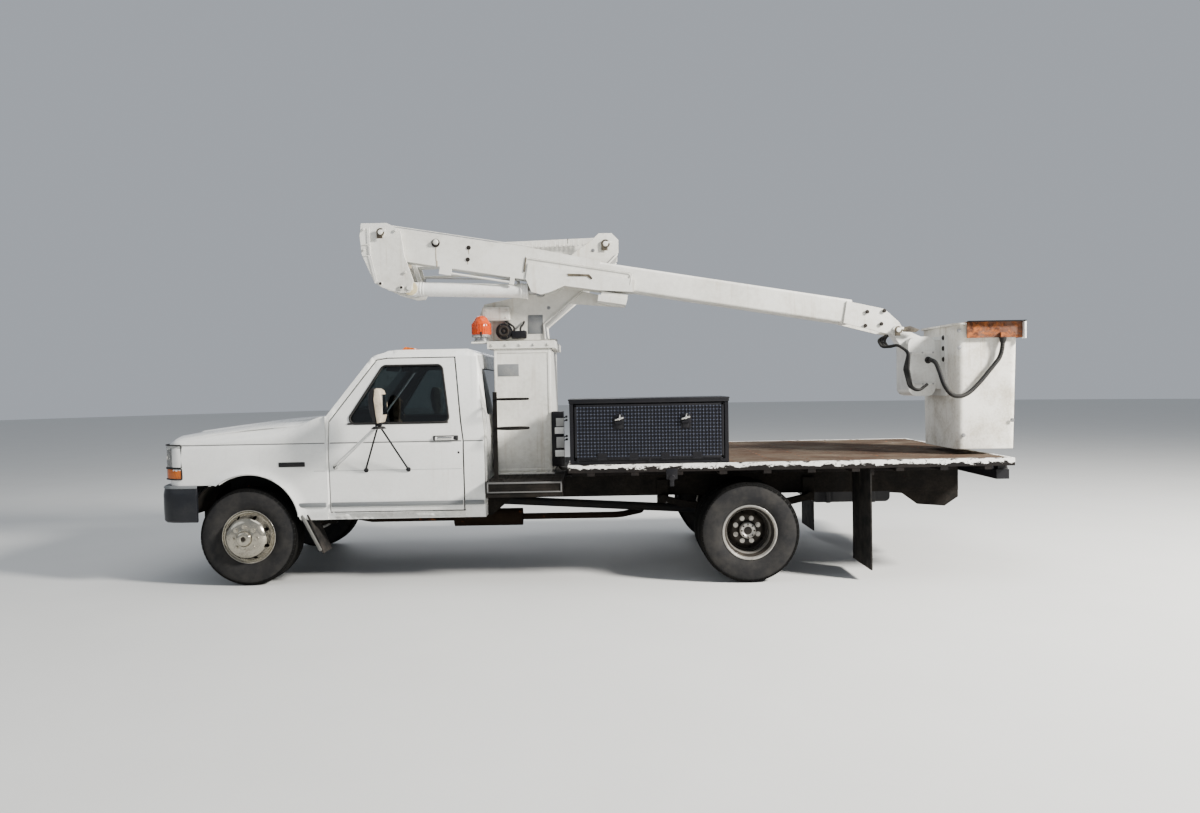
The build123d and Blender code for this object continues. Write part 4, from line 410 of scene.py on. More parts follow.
def grown(kind, mesh, finish, **values):
    """Runs a tree on a mesh and returns the result as a plain mesh."""
    makers = {"bolts": bolt_tree, "blocks": block_tree, "pipes": pipe_tree}
    if kind not in TREES:
        TREES[kind] = makers[kind]()
    carrier = bpy.data.objects.new("carrier", mesh)
    bpy.context.scene.collection.objects.link(carrier)
    modifier = carrier.modifiers.new("Grow", "NODES")
    modifier.node_group = TREES[kind]
    values["Material"] = material(finish)
    for item in TREES[kind].interface.items_tree:
        if item.in_out == "INPUT" and item.name in values:
            modifier[item.identifier] = values[item.name]
    evaluated = carrier.evaluated_get(bpy.context.evaluated_depsgraph_get())
    result = bpy.data.meshes.new_from_object(evaluated)
    carrier.modifiers.remove(modifier)
    bpy.data.objects.remove(carrier)
    result.materials.clear()
    result.materials.append(material(finish))
    bm = bmesh.new()
    bm.from_mesh(result)
    bmesh.ops.recalc_face_normals(bm, faces=bm.faces)
    bm.to_mesh(result)
    bm.free()
    soften(result)
    return result


def spots(rows):
    """A mesh of points from rows of (place, aim, lie, size), in millimetres."""
    mesh = bpy.data.meshes.new("spots")
    mesh.from_pydata([PLACE @ Vector(row[0]) for row in rows], [], [])
    for label, column in (("aim", 1), ("lie", 2), ("size", 3)):
        data = mesh.attributes.new(label, "FLOAT_VECTOR", "POINT")
        values = [v for row in rows for v in row[column]]
        data.data.foreach_set("vector", values)
    return mesh


def bolts(places, aim, radius, height, finish, sides=6):
    """Bolt heads at places, which stand up along aim."""
    rows = [(place, aim, (1, 0, 0.3), (1, 1, 1)) for place in places]
    return grown(
        "bolts", spots(rows), finish, Radius=radius * MM, Height=2 * height * MM, Sides=sides,
    )


def blocks(rows, finish):
    """Blocks from rows of (centre, aim, lie, size along lie, across and along aim)."""
    scaled = [(c, a, l, tuple(v * MM for v in s)) for c, a, l, s in rows]
    return grown("blocks", spots(scaled), finish)


def pipes(lines, radius, finish, bend=30, sides=14, closed=False):
    """Round pipes along lines of points."""
    points, edges = [], []
    for line in lines:
        start = len(points)
        points += [PLACE @ Vector(p) for p in line]
        edges += [(start + i, start + i + 1) for i in range(len(line) - 1)]
        if closed:
            edges.append((len(points) - 1, start))
    mesh = bpy.data.meshes.new("lines")
    mesh.from_pydata(points, edges, [])
    return grown("pipes", mesh, finish, Radius=radius * MM, Bend=bend * MM, Sides=sides)


def rounded(corners, radius, steps=6):
    """The points of a polygon whose corners are rounded."""
    points = []
    count = len(corners)
    for i in range(count):
        here = Vector(corners[i])
        before, after = Vector(corners[i - 1]) - here, Vector(corners[(i + 1) % count]) - here
        half = before.angle(after) / 2
        reach = min(radius / math.tan(half), before.length * 0.45, after.length * 0.45)
        centre = here + (
            before.normalized() + after.normalized()
        ).normalized() * (reach / math.cos(half))
        start, end = here + before.normalized() * reach, here + after.normalized() * reach
        first, last = start - centre, end - centre
        for k in range(steps + 1):
            t = k / steps
            arm = first.lerp(last, t).normalized() * first.length
            points.append(tuple(centre + arm))
    return points


def dressed(node, cuts, bend):
    """A merged copy of a CAD node, cut into a grid and bent outwards by a rule, in millimetres."""
    bm = bmesh.new()
    bm.from_mesh(NODES[node].data)
    bmesh.ops.transform(bm, matrix=PLACE.inverted(), verts=bm.verts)
    bmesh.ops.remove_doubles(bm, verts=bm.verts, dist=0.02)
    bmesh.ops.dissolve_limit(bm, angle_limit=math.radians(0.3), verts=bm.verts, edges=bm.edges)
    for normal, low, high, step in cuts:
        count = max(1, round((high - low) / step))
        for i in range(count + 1):
            at = low + (high - low) * i / count
            bmesh.ops.bisect_plane(
                bm, geom=bm.verts[:] + bm.edges[:] + bm.faces[:], dist=0.01,
                plane_co=Vector(normal) * at, plane_no=normal,
            )
    for vert in bm.verts:
        vert.co = bend(vert.co)
    bmesh.ops.triangulate(bm, faces=[f for f in bm.faces if len(f.verts) > 4])
    bmesh.ops.transform(bm, matrix=PLACE, verts=bm.verts)
    mesh = bpy.data.meshes.new(node)
    bm.to_mesh(mesh)
    bm.free()
    soften(mesh, 32)
    return mesh


# Finishes


def dirt_group():
    """Dust and road dirt, thicker low down, and runs that water leaves on upright faces."""
    graph, source = group(
        "Shader", "Dirt and runs",
        [
            ("Colour", "Color", (0.8, 0.8, 0.8, 1)),
            ("Dirt colour", "Color", (0.16, 0.13, 0.09, 1)), ("Amount", "Float", 0.3),
            ("Top", "Float", 1.2), ("Scale", "Float", 3.0), ("Runs", "Float", 0.2),
            ("Run colour", "Color", (0.2, 0.15, 0.1, 1)),
        ],
        [("Colour", "Color"), ("Mask", "Float")],
    )
    place = graph.place()
    height = graph.add("ShaderNodeSeparateXYZ", {0: place}).outputs[2]
    low = graph.minus(1.0, graph.math("DIVIDE", height, source["Top"]), True)
    wide = graph.noise(place, source["Scale"], 6.0, 0.65)
    fine = graph.noise(place, graph.times(source["Scale"], 14.0), 4.0, 0.7)
    cloud = graph.plus(graph.times(wide, 0.75), graph.times(fine, 0.35))
    spread = graph.spread(cloud, 0.42, 0.78)
    level = graph.plus(0.3, graph.times(low, 1.5))
    dirt = graph.times(graph.times(spread, level), source["Amount"], True)
    coloured = graph.mix(dirt, source["Colour"], source["Dirt colour"])
    streak = graph.noise(graph.place((26, 26, 1.1)), 1.0, 5.0, 0.6)
    patch = graph.noise(place, 1.7, 3.0, 0.5)
    runs = graph.times(
        graph.times(graph.spread(streak, 0.53, 0.74), graph.spread(patch, 0.4, 0.62)),
        source["Runs"], True,
    )
    tone = graph.mix(runs, coloured, source["Run colour"])
    return graph.close({"Colour": tone, "Mask": graph.math("MAXIMUM", dirt, runs)})


def rust_group():
    """Rust that eats through in patches and specks."""
    graph, source = group(
        "Shader", "Rust",
        [
            ("Colour", "Color", (0.8, 0.8, 0.8, 1)), ("Amount", "Float", 0.2),
            ("Scale", "Float", 6.0), ("Dark", "Color", (0.05, 0.02, 0.012, 1)),
            ("Bright", "Color", (0.32, 0.1, 0.03, 1)),
        ],
        [("Colour", "Color"), ("Mask", "Float"), ("Height", "Float")],
    )
    place = graph.place()
    patch = graph.noise(place, source["Scale"], 8.0, 0.68, 0.3)
    speck = graph.noise(place, graph.times(source["Scale"], 9.0), 6.0, 0.7)
    both = graph.plus(graph.times(patch, 0.8), graph.times(speck, 0.25))
    edge = graph.minus(0.82, graph.times(source["Amount"], 0.5))
    mask = graph.spread(graph.minus(both, edge), -0.02, 0.05)
    tone = graph.noise(place, graph.times(source["Scale"], 5.0), 5.0, 0.7)
    rusty = graph.mix(graph.spread(tone, 0.35, 0.65), source["Dark"], source["Bright"])
    tone = graph.mix(mask, source["Colour"], rusty)
    return graph.close({"Colour": tone, "Mask": mask, "Height": graph.times(mask, speck)})


def edge_group():
    """A softened edge's normal, and a mask along edges: where paint has rubbed off, and on the
    lattice where painted highlight goes.
    """
    graph, source = group(
        "Shader", "Edges",
        [("Radius", "Float", 0.004), ("Amount", "Float", 0.5), ("Scale", "Float", 30.0)],
        [("Mask", "Float"), ("Normal", "Vector")],
    )
    soft = graph.add("ShaderNodeBevel", {"Radius": source["Radius"]}, samples=4).outputs[0]
    true = graph.add("ShaderNodeNewGeometry").outputs["True Normal"]
    facing = graph.add("ShaderNodeVectorMath", {0: soft, 1: true}, operation="DOT_PRODUCT")
    edge = graph.spread(graph.minus(1.0, facing.outputs["Value"]), 0.02, 0.2)
    torn = graph.spread(graph.noise(graph.place(), source["Scale"], 5.0, 0.7), 0.42, 0.6)
    mask = graph.times(graph.times(edge, torn), source["Amount"], True)
    return graph.close({"Mask": mask, "Normal": soft})


def grain_group():
    """Fine unevenness: orange peel, casting skin or moulded grain, as a height."""
    graph, source = group(
        "Shader", "Grain",
        [("Scale", "Float", 200.0), ("Waves", "Float", 0.3), ("Wave scale", "Float", 2.5)],
        [("Height", "Float")],
    )
    place = graph.place()
    fine = graph.noise(place, source["Scale"], 3.0, 0.6)
    wide = graph.noise(place, source["Wave scale"], 2.0, 0.5)
    waves = graph.times(graph.times(wide, source["Waves"]), 20.0)
    return graph.close({"Height": graph.plus(fine, waves)})


GROUPS = {}


def use(graph, name, inputs):
    """Puts a shared effect into a material with its own values."""
    makers = {"dirt": dirt_group, "rust": rust_group, "edges": edge_group, "grain": grain_group}
    if name not in GROUPS:
        GROUPS[name] = makers[name]()
    node = graph.add("ShaderNodeGroup", node_tree=GROUPS[name])
    for key, value in inputs.items():
        graph.put(node.inputs[key], value)
    return node.outputs


def rgb(colour):
    return (*colour, 1)


def board_pattern(graph, facts):
    """Old deck boards: grain along the truck and worn paths."""
    along = graph.place((1.2, 26, 26))
    grain = graph.noise(along, 3.0, 6.0, 0.65, 0.4)
    worn = graph.noise(graph.place(), 2.2, 5.0, 0.6)
    tone = graph.mix(
        graph.spread(grain, 0.3, 0.7), rgb((0.022, 0.013, 0.009)), rgb((0.085, 0.05, 0.032)),
    )
    grey = graph.mix(graph.spread(worn, 0.45, 0.75), tone, rgb((0.12, 0.095, 0.07)))
    return grey, grain


def cloth_pattern(graph, facts):
    """Woven seat cloth."""
    place = graph.place((900, 900, 900))
    waves = [
        graph.add(
            "ShaderNodeTexWave", {"Vector": place, "Scale": 0.5}, bands_direction=direction,
        ).outputs[1]
        for direction in "XYZ"
    ]
    weave = graph.plus(graph.times(waves[0], waves[1]), waves[2])
    fade = graph.noise(graph.place(), 6.0, 4.0, 0.6)
    tone = graph.mix(graph.spread(fade, 0.3, 0.7), rgb((0.05, 0.05, 0.055)), rgb((0.1, 0.1, 0.1)))
    return tone, weave


def edge_band_pattern(graph, facts):
    """Black bed rail with a ragged white band left along its upper edge."""
    place = graph.place()
    height = graph.add("ShaderNodeSeparateXYZ", {0: place}).outputs[2]
    ragged = graph.noise(graph.place((7, 7, 14)), 1.6, 8.0, 0.72)
    wobble = graph.times(graph.minus(ragged, 0.5), 0.13)
    at = graph.plus(height, wobble)
    lower = graph.spread(at, 0.937, 0.941)
    speck = graph.spread(graph.noise(place, 22.0, 7.0, 0.8), 0.39, 0.43)
    upper = graph.minus(1.0, graph.spread(at, 0.972, 0.976))
    white = graph.times(graph.times(lower, speck), upper)
    tone = graph.mix(white, rgb(facts["colour"]), rgb((0.8, 0.79, 0.75)))
    return tone, ragged


def tyre_pattern(graph, facts):
    """Rubber with clouds of paler dust."""
    place = graph.place()
    cloud = graph.noise(place, 7.0, 6.0, 0.7)
    fine = graph.noise(place, 120.0, 3.0, 0.6)
    tone = graph.mix(
        graph.spread(cloud, 0.35, 0.7), rgb((0.018, 0.018, 0.019)), rgb((0.036, 0.034, 0.032)),
    )
    return tone, fine


def hose_pattern(graph, facts):
    """Ribs of a convoluted hose, along its own length, with painted shade in the troughs and
    painted highlight on the crests.
    """
    uv = graph.add("ShaderNodeTexCoord").outputs["UV"]
    wave = graph.add(
        "ShaderNodeTexWave", {"Vector": uv, "Scale": 26.0}, bands_direction="X", wave_profile="SIN",
    ).outputs[1]
    tone = graph.mix(wave, rgb((0.003, 0.003, 0.003)), rgb((0.014, 0.014, 0.015)))
    return tone, wave


PATTERNS = {
    "boards": board_pattern, "cloth": cloth_pattern, "band": edge_band_pattern,
    "tyre": tyre_pattern, "hose": hose_pattern,
}

ROAD = (0.17, 0.14, 0.1)
# Each finish: shine, colour, roughness, metal, coat, dirt (amount, top, scale, colour),
# runs (amount, colour), rust (amount, scale), edges (radius, wear, wear colour, which
# on the lattice is painted highlight), grain (scale, waves, height), pattern
FINISHES = {
    "cab white": dict(
        colour=(0.8, 0.8, 0.77), rough=0.27, coat=0.6, dirt=(0.3, 0.95, 2.4, ROAD),
        runs=(0.16, (0.36, 0.3, 0.22)), rust=(0.1, 7.0), edges=(0.004, 0.12, (0.4, 0.36, 0.3)),
        grain=(90.0, 0.35, 0.0006),
    ),
    "boom white": dict(
        colour=(0.74, 0.73, 0.68), rough=0.42, coat=0.15, dirt=(0.36, 6.0, 1.8, (0.3, 0.27, 0.2)),
        runs=(0.5, (0.34, 0.25, 0.16)), rust=(0.22, 9.0), edges=(0.004, 0.45, (0.22, 0.14, 0.09)),
        grain=(60.0, 0.5, 0.0008),
    ),
    "fibreglass": dict(
        colour=(0.76, 0.74, 0.68), rough=0.5, dirt=(0.55, 4.2, 3.6, (0.3, 0.25, 0.16)),
        runs=(0.75, (0.3, 0.23, 0.14)), rust=(0.05, 14.0), edges=(0.012, 0.25, (0.4, 0.35, 0.26)),
        grain=(40.0, 0.6, 0.001),
    ),
    "white gel": dict(
        colour=(0.7, 0.7, 0.67), rough=0.35, coat=0.3, dirt=(0.35, 4.2, 4.0, (0.25, 0.2, 0.14)),
        runs=(0.4, (0.3, 0.22, 0.14)), rust=(0.16, 12.0), edges=(0.003, 0.3, (0.3, 0.25, 0.2)),
        grain=(60.0, 0.3, 0.0006),
    ),
    "black paint": dict(
        shine=0.14, colour=(0.008, 0.008, 0.01), rough=0.44, coat=0.1,
        dirt=(0.2, 1.3, 4.0, (0.03, 0.026, 0.023)), runs=(0.15, (0.04, 0.034, 0.03)),
        rust=(0.06, 11.0), edges=(0.003, 0.25, (0.045, 0.04, 0.035)), grain=(80.0, 0.4, 0.0008),
    ),
    "bumper black": dict(
        shine=0.3, colour=(0.006, 0.007, 0.01), rough=0.4, coat=0.12,
        dirt=(0.2, 0.9, 5.0, (0.08, 0.075, 0.07)), runs=(0.1, (0.08, 0.07, 0.06)),
        rust=(0.06, 12.0), edges=(0.006, 0.1, (0.12, 0.12, 0.12)), grain=(70.0, 0.3, 0.0005),
    ),
    # The covers' chrome is darkened and browned as painted reflection of dark surroundings
    "cover chrome": dict(
        colour=(0.44, 0.41, 0.34), rough=0.1, metal=1.0, dirt=(0.4, 1.4, 12.0, (0.05, 0.04, 0.026)),
        rust=(0.08, 18.0), edges=(0.0015, 0.1, (0.3, 0.25, 0.18)), grain=(50.0, 0.3, 0.0004),
    ),
    # The grey line under the crease is painted shade; the same grey covers the pedestal's control
    # panels
    "crease dirt": dict(
        colour=(0.4, 0.4, 0.39), rough=0.6, dirt=(0.4, 1.2, 9.0, (0.2, 0.18, 0.15)),
        edges=(0.001, 0.0, (0.3, 0.3, 0.3)), grain=(220.0, 0.2, 0.0003),
    ),
    # The dark line in the belt groove is painted shade; the same dark grey edges the step platform
    "groove dirt": dict(
        colour=(0.1, 0.1, 0.1), rough=0.7, dirt=(0.4, 1.2, 9.0, (0.2, 0.18, 0.15)),
        edges=(0.001, 0.0, (0.3, 0.3, 0.3)), grain=(220.0, 0.2, 0.0003),
    ),
    "bed rail": dict(
        shine=0.08, colour=(0.009, 0.008, 0.008), rough=0.6,
        dirt=(0.2, 1.3, 5.0, (0.07, 0.055, 0.045)), rust=(0.2, 10.0),
        edges=(0.004, 0.3, (0.07, 0.05, 0.035)), grain=(50.0, 0.5, 0.0012), pattern="band",
    ),
    "chassis black": dict(
        shine=0.06, colour=(0.008, 0.0075, 0.007), rough=0.75,
        dirt=(0.5, 1.3, 4.0, (0.04, 0.032, 0.025)), rust=(0.2, 8.0),
        edges=(0.004, 0.3, (0.06, 0.04, 0.03)), grain=(60.0, 0.4, 0.0015),
    ),
    "bare steel": dict(
        colour=(0.4, 0.4, 0.4), rough=0.34, metal=1.0, dirt=(0.4, 4.0, 5.0, (0.1, 0.08, 0.06)),
        rust=(0.25, 14.0), edges=(0.002, 0.2, (0.6, 0.6, 0.6)), grain=(140.0, 0.3, 0.0005),
    ),
    "rusty steel": dict(
        shine=0.15, colour=(0.12, 0.055, 0.035), rough=0.85,
        dirt=(0.5, 3.0, 7.0, (0.2, 0.14, 0.11)), rust=(0.6, 5.0),
        edges=(0.003, 0.3, (0.3, 0.2, 0.14)), grain=(70.0, 0.6, 0.0022),
    ),
    "burnt steel": dict(
        shine=0.04, colour=(0.03, 0.02, 0.014), rough=0.85, metal=0.1,
        dirt=(0.4, 1.2, 6.0, (0.045, 0.032, 0.022)), rust=(0.4, 6.0),
        edges=(0.003, 0.2, (0.06, 0.04, 0.03)), grain=(70.0, 0.6, 0.002),
    ),
    "cylinder grey": dict(
        colour=(0.86, 0.86, 0.83), rough=0.3, coat=0.3, dirt=(0.3, 5.0, 3.0, (0.3, 0.26, 0.2)),
        runs=(0.3, (0.3, 0.22, 0.15)), rust=(0.14, 10.0), edges=(0.003, 0.3, (0.3, 0.22, 0.16)),
        grain=(90.0, 0.3, 0.0005),
    ),
    "tyre": dict(
        shine=0.08, colour=(0.02, 0.02, 0.021), rough=0.86,
        dirt=(0.2, 0.9, 9.0, (0.038, 0.036, 0.033)), edges=(0.003, 0.0, (0.1, 0.1, 0.1)),
        grain=(300.0, 0.1, 0.0006), pattern="tyre",
    ),
    "tread": dict(
        shine=0.04, colour=(0.006, 0.006, 0.006), rough=0.9,
        dirt=(0.2, 0.9, 9.0, (0.03, 0.027, 0.022)), edges=(0.002, 0.1, (0.04, 0.04, 0.04)),
        grain=(200.0, 0.1, 0.0008),
    ),
    "flap rubber": dict(
        shine=0.08, colour=(0.01, 0.01, 0.01), rough=0.78,
        dirt=(0.5, 1.1, 7.0, (0.06, 0.052, 0.045)), runs=(0.4, (0.08, 0.07, 0.06)),
        edges=(0.002, 0.2, (0.1, 0.1, 0.1)), grain=(160.0, 0.7, 0.0012),
    ),
    "flap grey": dict(
        colour=(0.13, 0.13, 0.12), rough=0.7, dirt=(0.5, 1.1, 8.0, (0.04, 0.036, 0.03)),
        runs=(0.5, (0.04, 0.036, 0.03)), edges=(0.002, 0.2, (0.2, 0.2, 0.19)),
        grain=(120.0, 0.6, 0.001),
    ),
    "seal rubber": dict(
        shine=0.15, colour=(0.012, 0.012, 0.012), rough=0.6,
        dirt=(0.2, 3.0, 8.0, (0.12, 0.11, 0.1)), edges=(0.001, 0.1, (0.05, 0.05, 0.05)),
        grain=(300.0, 0.1, 0.0003),
    ),
    "chrome": dict(
        colour=(0.72, 0.7, 0.66), rough=0.1, metal=1.0, dirt=(0.42, 1.4, 9.0, (0.1, 0.075, 0.04)),
        rust=(0.12, 16.0), edges=(0.0015, 0.1, (0.3, 0.25, 0.18)), grain=(50.0, 0.3, 0.0004),
    ),
    "wheel steel": dict(
        colour=(0.5, 0.48, 0.44), rough=0.34, metal=0.9, dirt=(0.6, 1.1, 10.0, (0.06, 0.05, 0.04)),
        rust=(0.16, 14.0), edges=(0.002, 0.3, (0.6, 0.58, 0.54)), grain=(90.0, 0.4, 0.0008),
    ),
    "dark wheel": dict(
        shine=0.2, colour=(0.022, 0.019, 0.017), rough=0.6, metal=0.3,
        dirt=(0.6, 1.0, 9.0, (0.06, 0.05, 0.038)), rust=(0.22, 12.0),
        edges=(0.002, 0.3, (0.14, 0.12, 0.1)), grain=(90.0, 0.4, 0.001),
    ),
    "grey moulding": dict(
        colour=(0.16, 0.17, 0.175), rough=0.55, dirt=(0.3, 1.2, 6.0, (0.17, 0.16, 0.14)),
        edges=(0.002, 0.15, (0.3, 0.3, 0.3)), grain=(220.0, 0.2, 0.0005),
    ),
    "black plastic": dict(
        shine=0.2, colour=(0.011, 0.011, 0.012), rough=0.55,
        dirt=(0.2, 2.6, 6.0, (0.07, 0.065, 0.06)), edges=(0.002, 0.15, (0.1, 0.1, 0.1)),
        grain=(260.0, 0.2, 0.0006),
    ),
    "cabin plastic": dict(
        shine=0.12, colour=(0.045, 0.045, 0.05), rough=0.65,
        dirt=(0.25, 3.0, 6.0, (0.12, 0.11, 0.1)), edges=(0.003, 0.1, (0.2, 0.2, 0.2)),
        grain=(320.0, 0.2, 0.0009),
    ),
    "mirror beige": dict(
        colour=(0.52, 0.44, 0.33), rough=0.5, dirt=(0.45, 3.5, 16.0, (0.1, 0.08, 0.06)),
        runs=(0.4, (0.15, 0.12, 0.09)), edges=(0.003, 0.4, (0.2, 0.17, 0.13)),
        grain=(120.0, 0.3, 0.0006),
    ),
    "blank label": dict(
        colour=(0.13, 0.14, 0.15), rough=0.5, dirt=(0.4, 5.0, 9.0, (0.3, 0.29, 0.26)),
        edges=(0.0008, 0.2, (0.5, 0.5, 0.48)), grain=(160.0, 0.2, 0.0003),
    ),
    "boards": dict(
        shine=0.08, colour=(0.1, 0.07, 0.05), rough=0.85, dirt=(0.45, 3.0, 3.0, (0.12, 0.1, 0.075)),
        edges=(0.004, 0.3, (0.24, 0.18, 0.12)), grain=(90.0, 0.4, 0.0025), pattern="boards",
    ),
    "seat cloth": dict(
        colour=(0.14, 0.14, 0.15), rough=0.92, dirt=(0.25, 3.0, 7.0, (0.2, 0.17, 0.13)),
        edges=(0.004, 0.0, (0.2, 0.2, 0.2)), grain=(500.0, 0.1, 0.0008), pattern="cloth",
    ),
    "hose": dict(
        shine=0.2, colour=(0.02, 0.02, 0.02), rough=0.5, dirt=(0.2, 3.0, 9.0, (0.1, 0.09, 0.07)),
        edges=(0.001, 0.0, (0.1, 0.1, 0.1)), grain=(200.0, 0.1, 0.0012), pattern="hose",
    ),
    "cream ring": dict(
        colour=(0.6, 0.52, 0.32), rough=0.5, dirt=(0.4, 5.0, 9.0, (0.14, 0.1, 0.05)),
        rust=(0.3, 12.0), edges=(0.002, 0.3, (0.5, 0.4, 0.2)), grain=(90.0, 0.3, 0.0006),
    ),
    # Grease on pins; the same dark finish stands as painted shade in the boom's lifting slot and
    # the bracket's gap
    "grease": dict(
        shine=0.25, colour=(0.03, 0.024, 0.018), rough=0.5,
        dirt=(0.8, 6.0, 14.0, (0.2, 0.17, 0.12)), edges=(0.002, 0.2, (0.2, 0.18, 0.14)),
        grain=(60.0, 0.5, 0.002),
    ),
    "rust stain": dict(
        colour=(0.3, 0.24, 0.16), rough=0.7, dirt=(0.8, 6.0, 20.0, (0.6, 0.57, 0.5)),
        edges=(0.001, 0.0, (0.3, 0.3, 0.3)), grain=(90.0, 0.3, 0.0003),
    ),
    # The lattice's bluish tint and the pale bluish colour on its edges are painted highlight, not
    # wear
    "lattice": dict(
        shine=0.2, colour=(0.014, 0.016, 0.026), rough=0.38,
        dirt=(0.15, 2.0, 8.0, (0.06, 0.06, 0.07)), edges=(0.001, 0.6, (0.1, 0.11, 0.15)),
        grain=(120.0, 0.3, 0.0005),
    ),
    # The knots' pale bluish colour and paler edges are painted highlight
    "lattice knot highlight": dict(
        shine=0.3, colour=(0.07, 0.08, 0.11), rough=0.3, metal=0.3,
        dirt=(0.35, 2.0, 6.0, (0.02, 0.02, 0.025)), edges=(0.001, 0.6, (0.35, 0.38, 0.45)),
        grain=(120.0, 0.3, 0.0004),
    ),
    "engine paint": dict(
        shine=0.08, colour=(0.02, 0.021, 0.023), rough=0.65, metal=0.2,
        dirt=(0.6, 1.6, 6.0, (0.03, 0.025, 0.02)), rust=(0.3, 9.0),
        edges=(0.004, 0.3, (0.08, 0.06, 0.05)), grain=(70.0, 0.5, 0.0016),
    ),
}
# Each see-through finish: colour, roughness, transmission, ribs per metre
CLEAR = {
    "window glass": ((0.2, 0.24, 0.24), 0.02, 1.0, 0),
    "clear lens": ((0.9, 0.9, 0.88), 0.12, 0.85, 90),
    "amber lens": ((0.95, 0.23, 0.02), 0.16, 0.55, 60),
    "red lens": ((0.6, 0.01, 0.008), 0.16, 0.5, 70),
    "beacon lens": ((0.8, 0.1, 0.012), 0.14, 0.4, 45),
    "mirror glass": ((0.75, 0.77, 0.78), 0.03, 0.0, 0),
}


def paint_solid(name, facts):
    """Builds an opaque finish from its row."""
    made = bpy.data.materials.new(name)
    made.use_nodes = True
    graph = Graph(made.node_tree)
    shader = made.node_tree.nodes["Principled BSDF"]
    colour, pattern_height = rgb(facts["colour"]), None
    if "pattern" in facts:
        colour, pattern_height = PATTERNS[facts["pattern"]](graph, facts)
    amount, top, scale, dirt_colour = facts["dirt"]
    runs, run_colour = facts.get("runs", (0.0, (0.2, 0.15, 0.1)))
    dirty = use(
        graph, "dirt",
        {
            "Colour": colour, "Dirt colour": rgb(dirt_colour), "Amount": amount, "Top": top,
            "Scale": scale, "Runs": runs, "Run colour": rgb(run_colour),
        },
    )
    # The edge colour is rubbed-edge wear, and on the lattice painted highlight
    radius, edge_amount, edge_colour = facts["edges"]
    edges = use(graph, "edges", {"Radius": radius, "Amount": edge_amount})
    worn = graph.mix(edges["Mask"], dirty["Colour"], rgb(edge_colour))
    fine, waves, height = facts["grain"]
    grain = use(graph, "grain", {"Scale": fine, "Waves": waves})["Height"]
    mask, bumps = dirty["Mask"], grain
    if pattern_height is not None:
        bumps = graph.plus(graph.times(pattern_height, 3.0), grain)
    if "rust" in facts:
        rust = use(
            graph, "rust", {"Colour": worn, "Amount": facts["rust"][0], "Scale": facts["rust"][1]},
        )
        worn = rust["Colour"]
        mask = graph.math("MAXIMUM", mask, rust["Mask"])
        bumps = graph.plus(bumps, graph.times(rust["Height"], 1.5))
        if facts.get("metal"):
            clean = graph.minus(1.0, mask)
            graph.put(shader.inputs["Metallic"], graph.times(clean, facts["metal"]))
    elif facts.get("metal"):
        shader.inputs["Metallic"].default_value = facts["metal"]
    graph.put(shader.inputs["Base Color"], worn)
    uneven = graph.noise(graph.place(), 9.0, 4.0, 0.6)
    rough = graph.spread(uneven, 0.2, 0.8, facts["rough"] * 0.85, facts["rough"] * 1.2)
    graph.put(shader.inputs["Roughness"], graph.math("MAXIMUM", rough, graph.times(mask, 0.8)))
    if "shine" in facts:
        shader.inputs["Specular IOR Level"].default_value = facts["shine"]
    if facts.get("coat"):
        shader.inputs["Coat Weight"].default_value = facts["coat"]
        shader.inputs["Coat Roughness"].default_value = 0.08
    bump = graph.add(
        "ShaderNodeBump",
        {"Strength": 0.5, "Distance": height, "Height": bumps, "Normal": edges["Normal"]},
    )
    graph.put(shader.inputs["Normal"], bump.outputs[0])
    return made


def paint_clear(name, facts):
    """Builds glass, a ribbed lens or mirror glass from its row."""
    colour, rough, through, ribs = facts
    made = bpy.data.materials.new(name)
    made.use_nodes = True
    graph = Graph(made.node_tree)
    shader = made.node_tree.nodes["Principled BSDF"]
    dust = graph.spread(graph.noise(graph.place(), 9.0, 6.0, 0.7), 0.5, 0.85, 0.0, 0.25)
    graph.put(shader.inputs["Base Color"], graph.mix(dust, rgb(colour), rgb((0.5, 0.47, 0.42))))
    graph.put(shader.inputs["Roughness"], graph.plus(rough, graph.times(dust, 0.4)))
    if through:
        shader.inputs["Transmission Weight"].default_value = through
        shader.inputs["IOR"].default_value = 1.45
    else:
        shader.inputs["Metallic"].default_value = 1.0
    if ribs:
        wave = graph.add(
            "ShaderNodeTexWave", {"Vector": graph.place((1, 1, 0)), "Scale": ribs / 3.14},
            bands_direction="DIAGONAL",
        ).outputs[1]
        bump = graph.add("ShaderNodeBump", {"Strength": 0.6, "Distance": 0.003, "Height": wave})
        graph.put(shader.inputs["Normal"], bump.outputs[0])
    return made


MATERIALS = {}


def material(name):
    """The material of that name, built when it is first asked for."""
    if name not in MATERIALS:
        colours = bpy.context.scene.truck_colours
        chosen = {
            "cab white": colours.cab, "boom white": colours.boom, "fibreglass": colours.bucket,
        }
        if name in CLEAR:
            MATERIALS[name] = paint_clear(name, CLEAR[name])
        else:
            facts = dict(FINISHES[name])
            if name in chosen:
                facts["colour"] = tuple(chosen[name])
            MATERIALS[name] = paint_solid(name, facts)
    return MATERIALS[name]


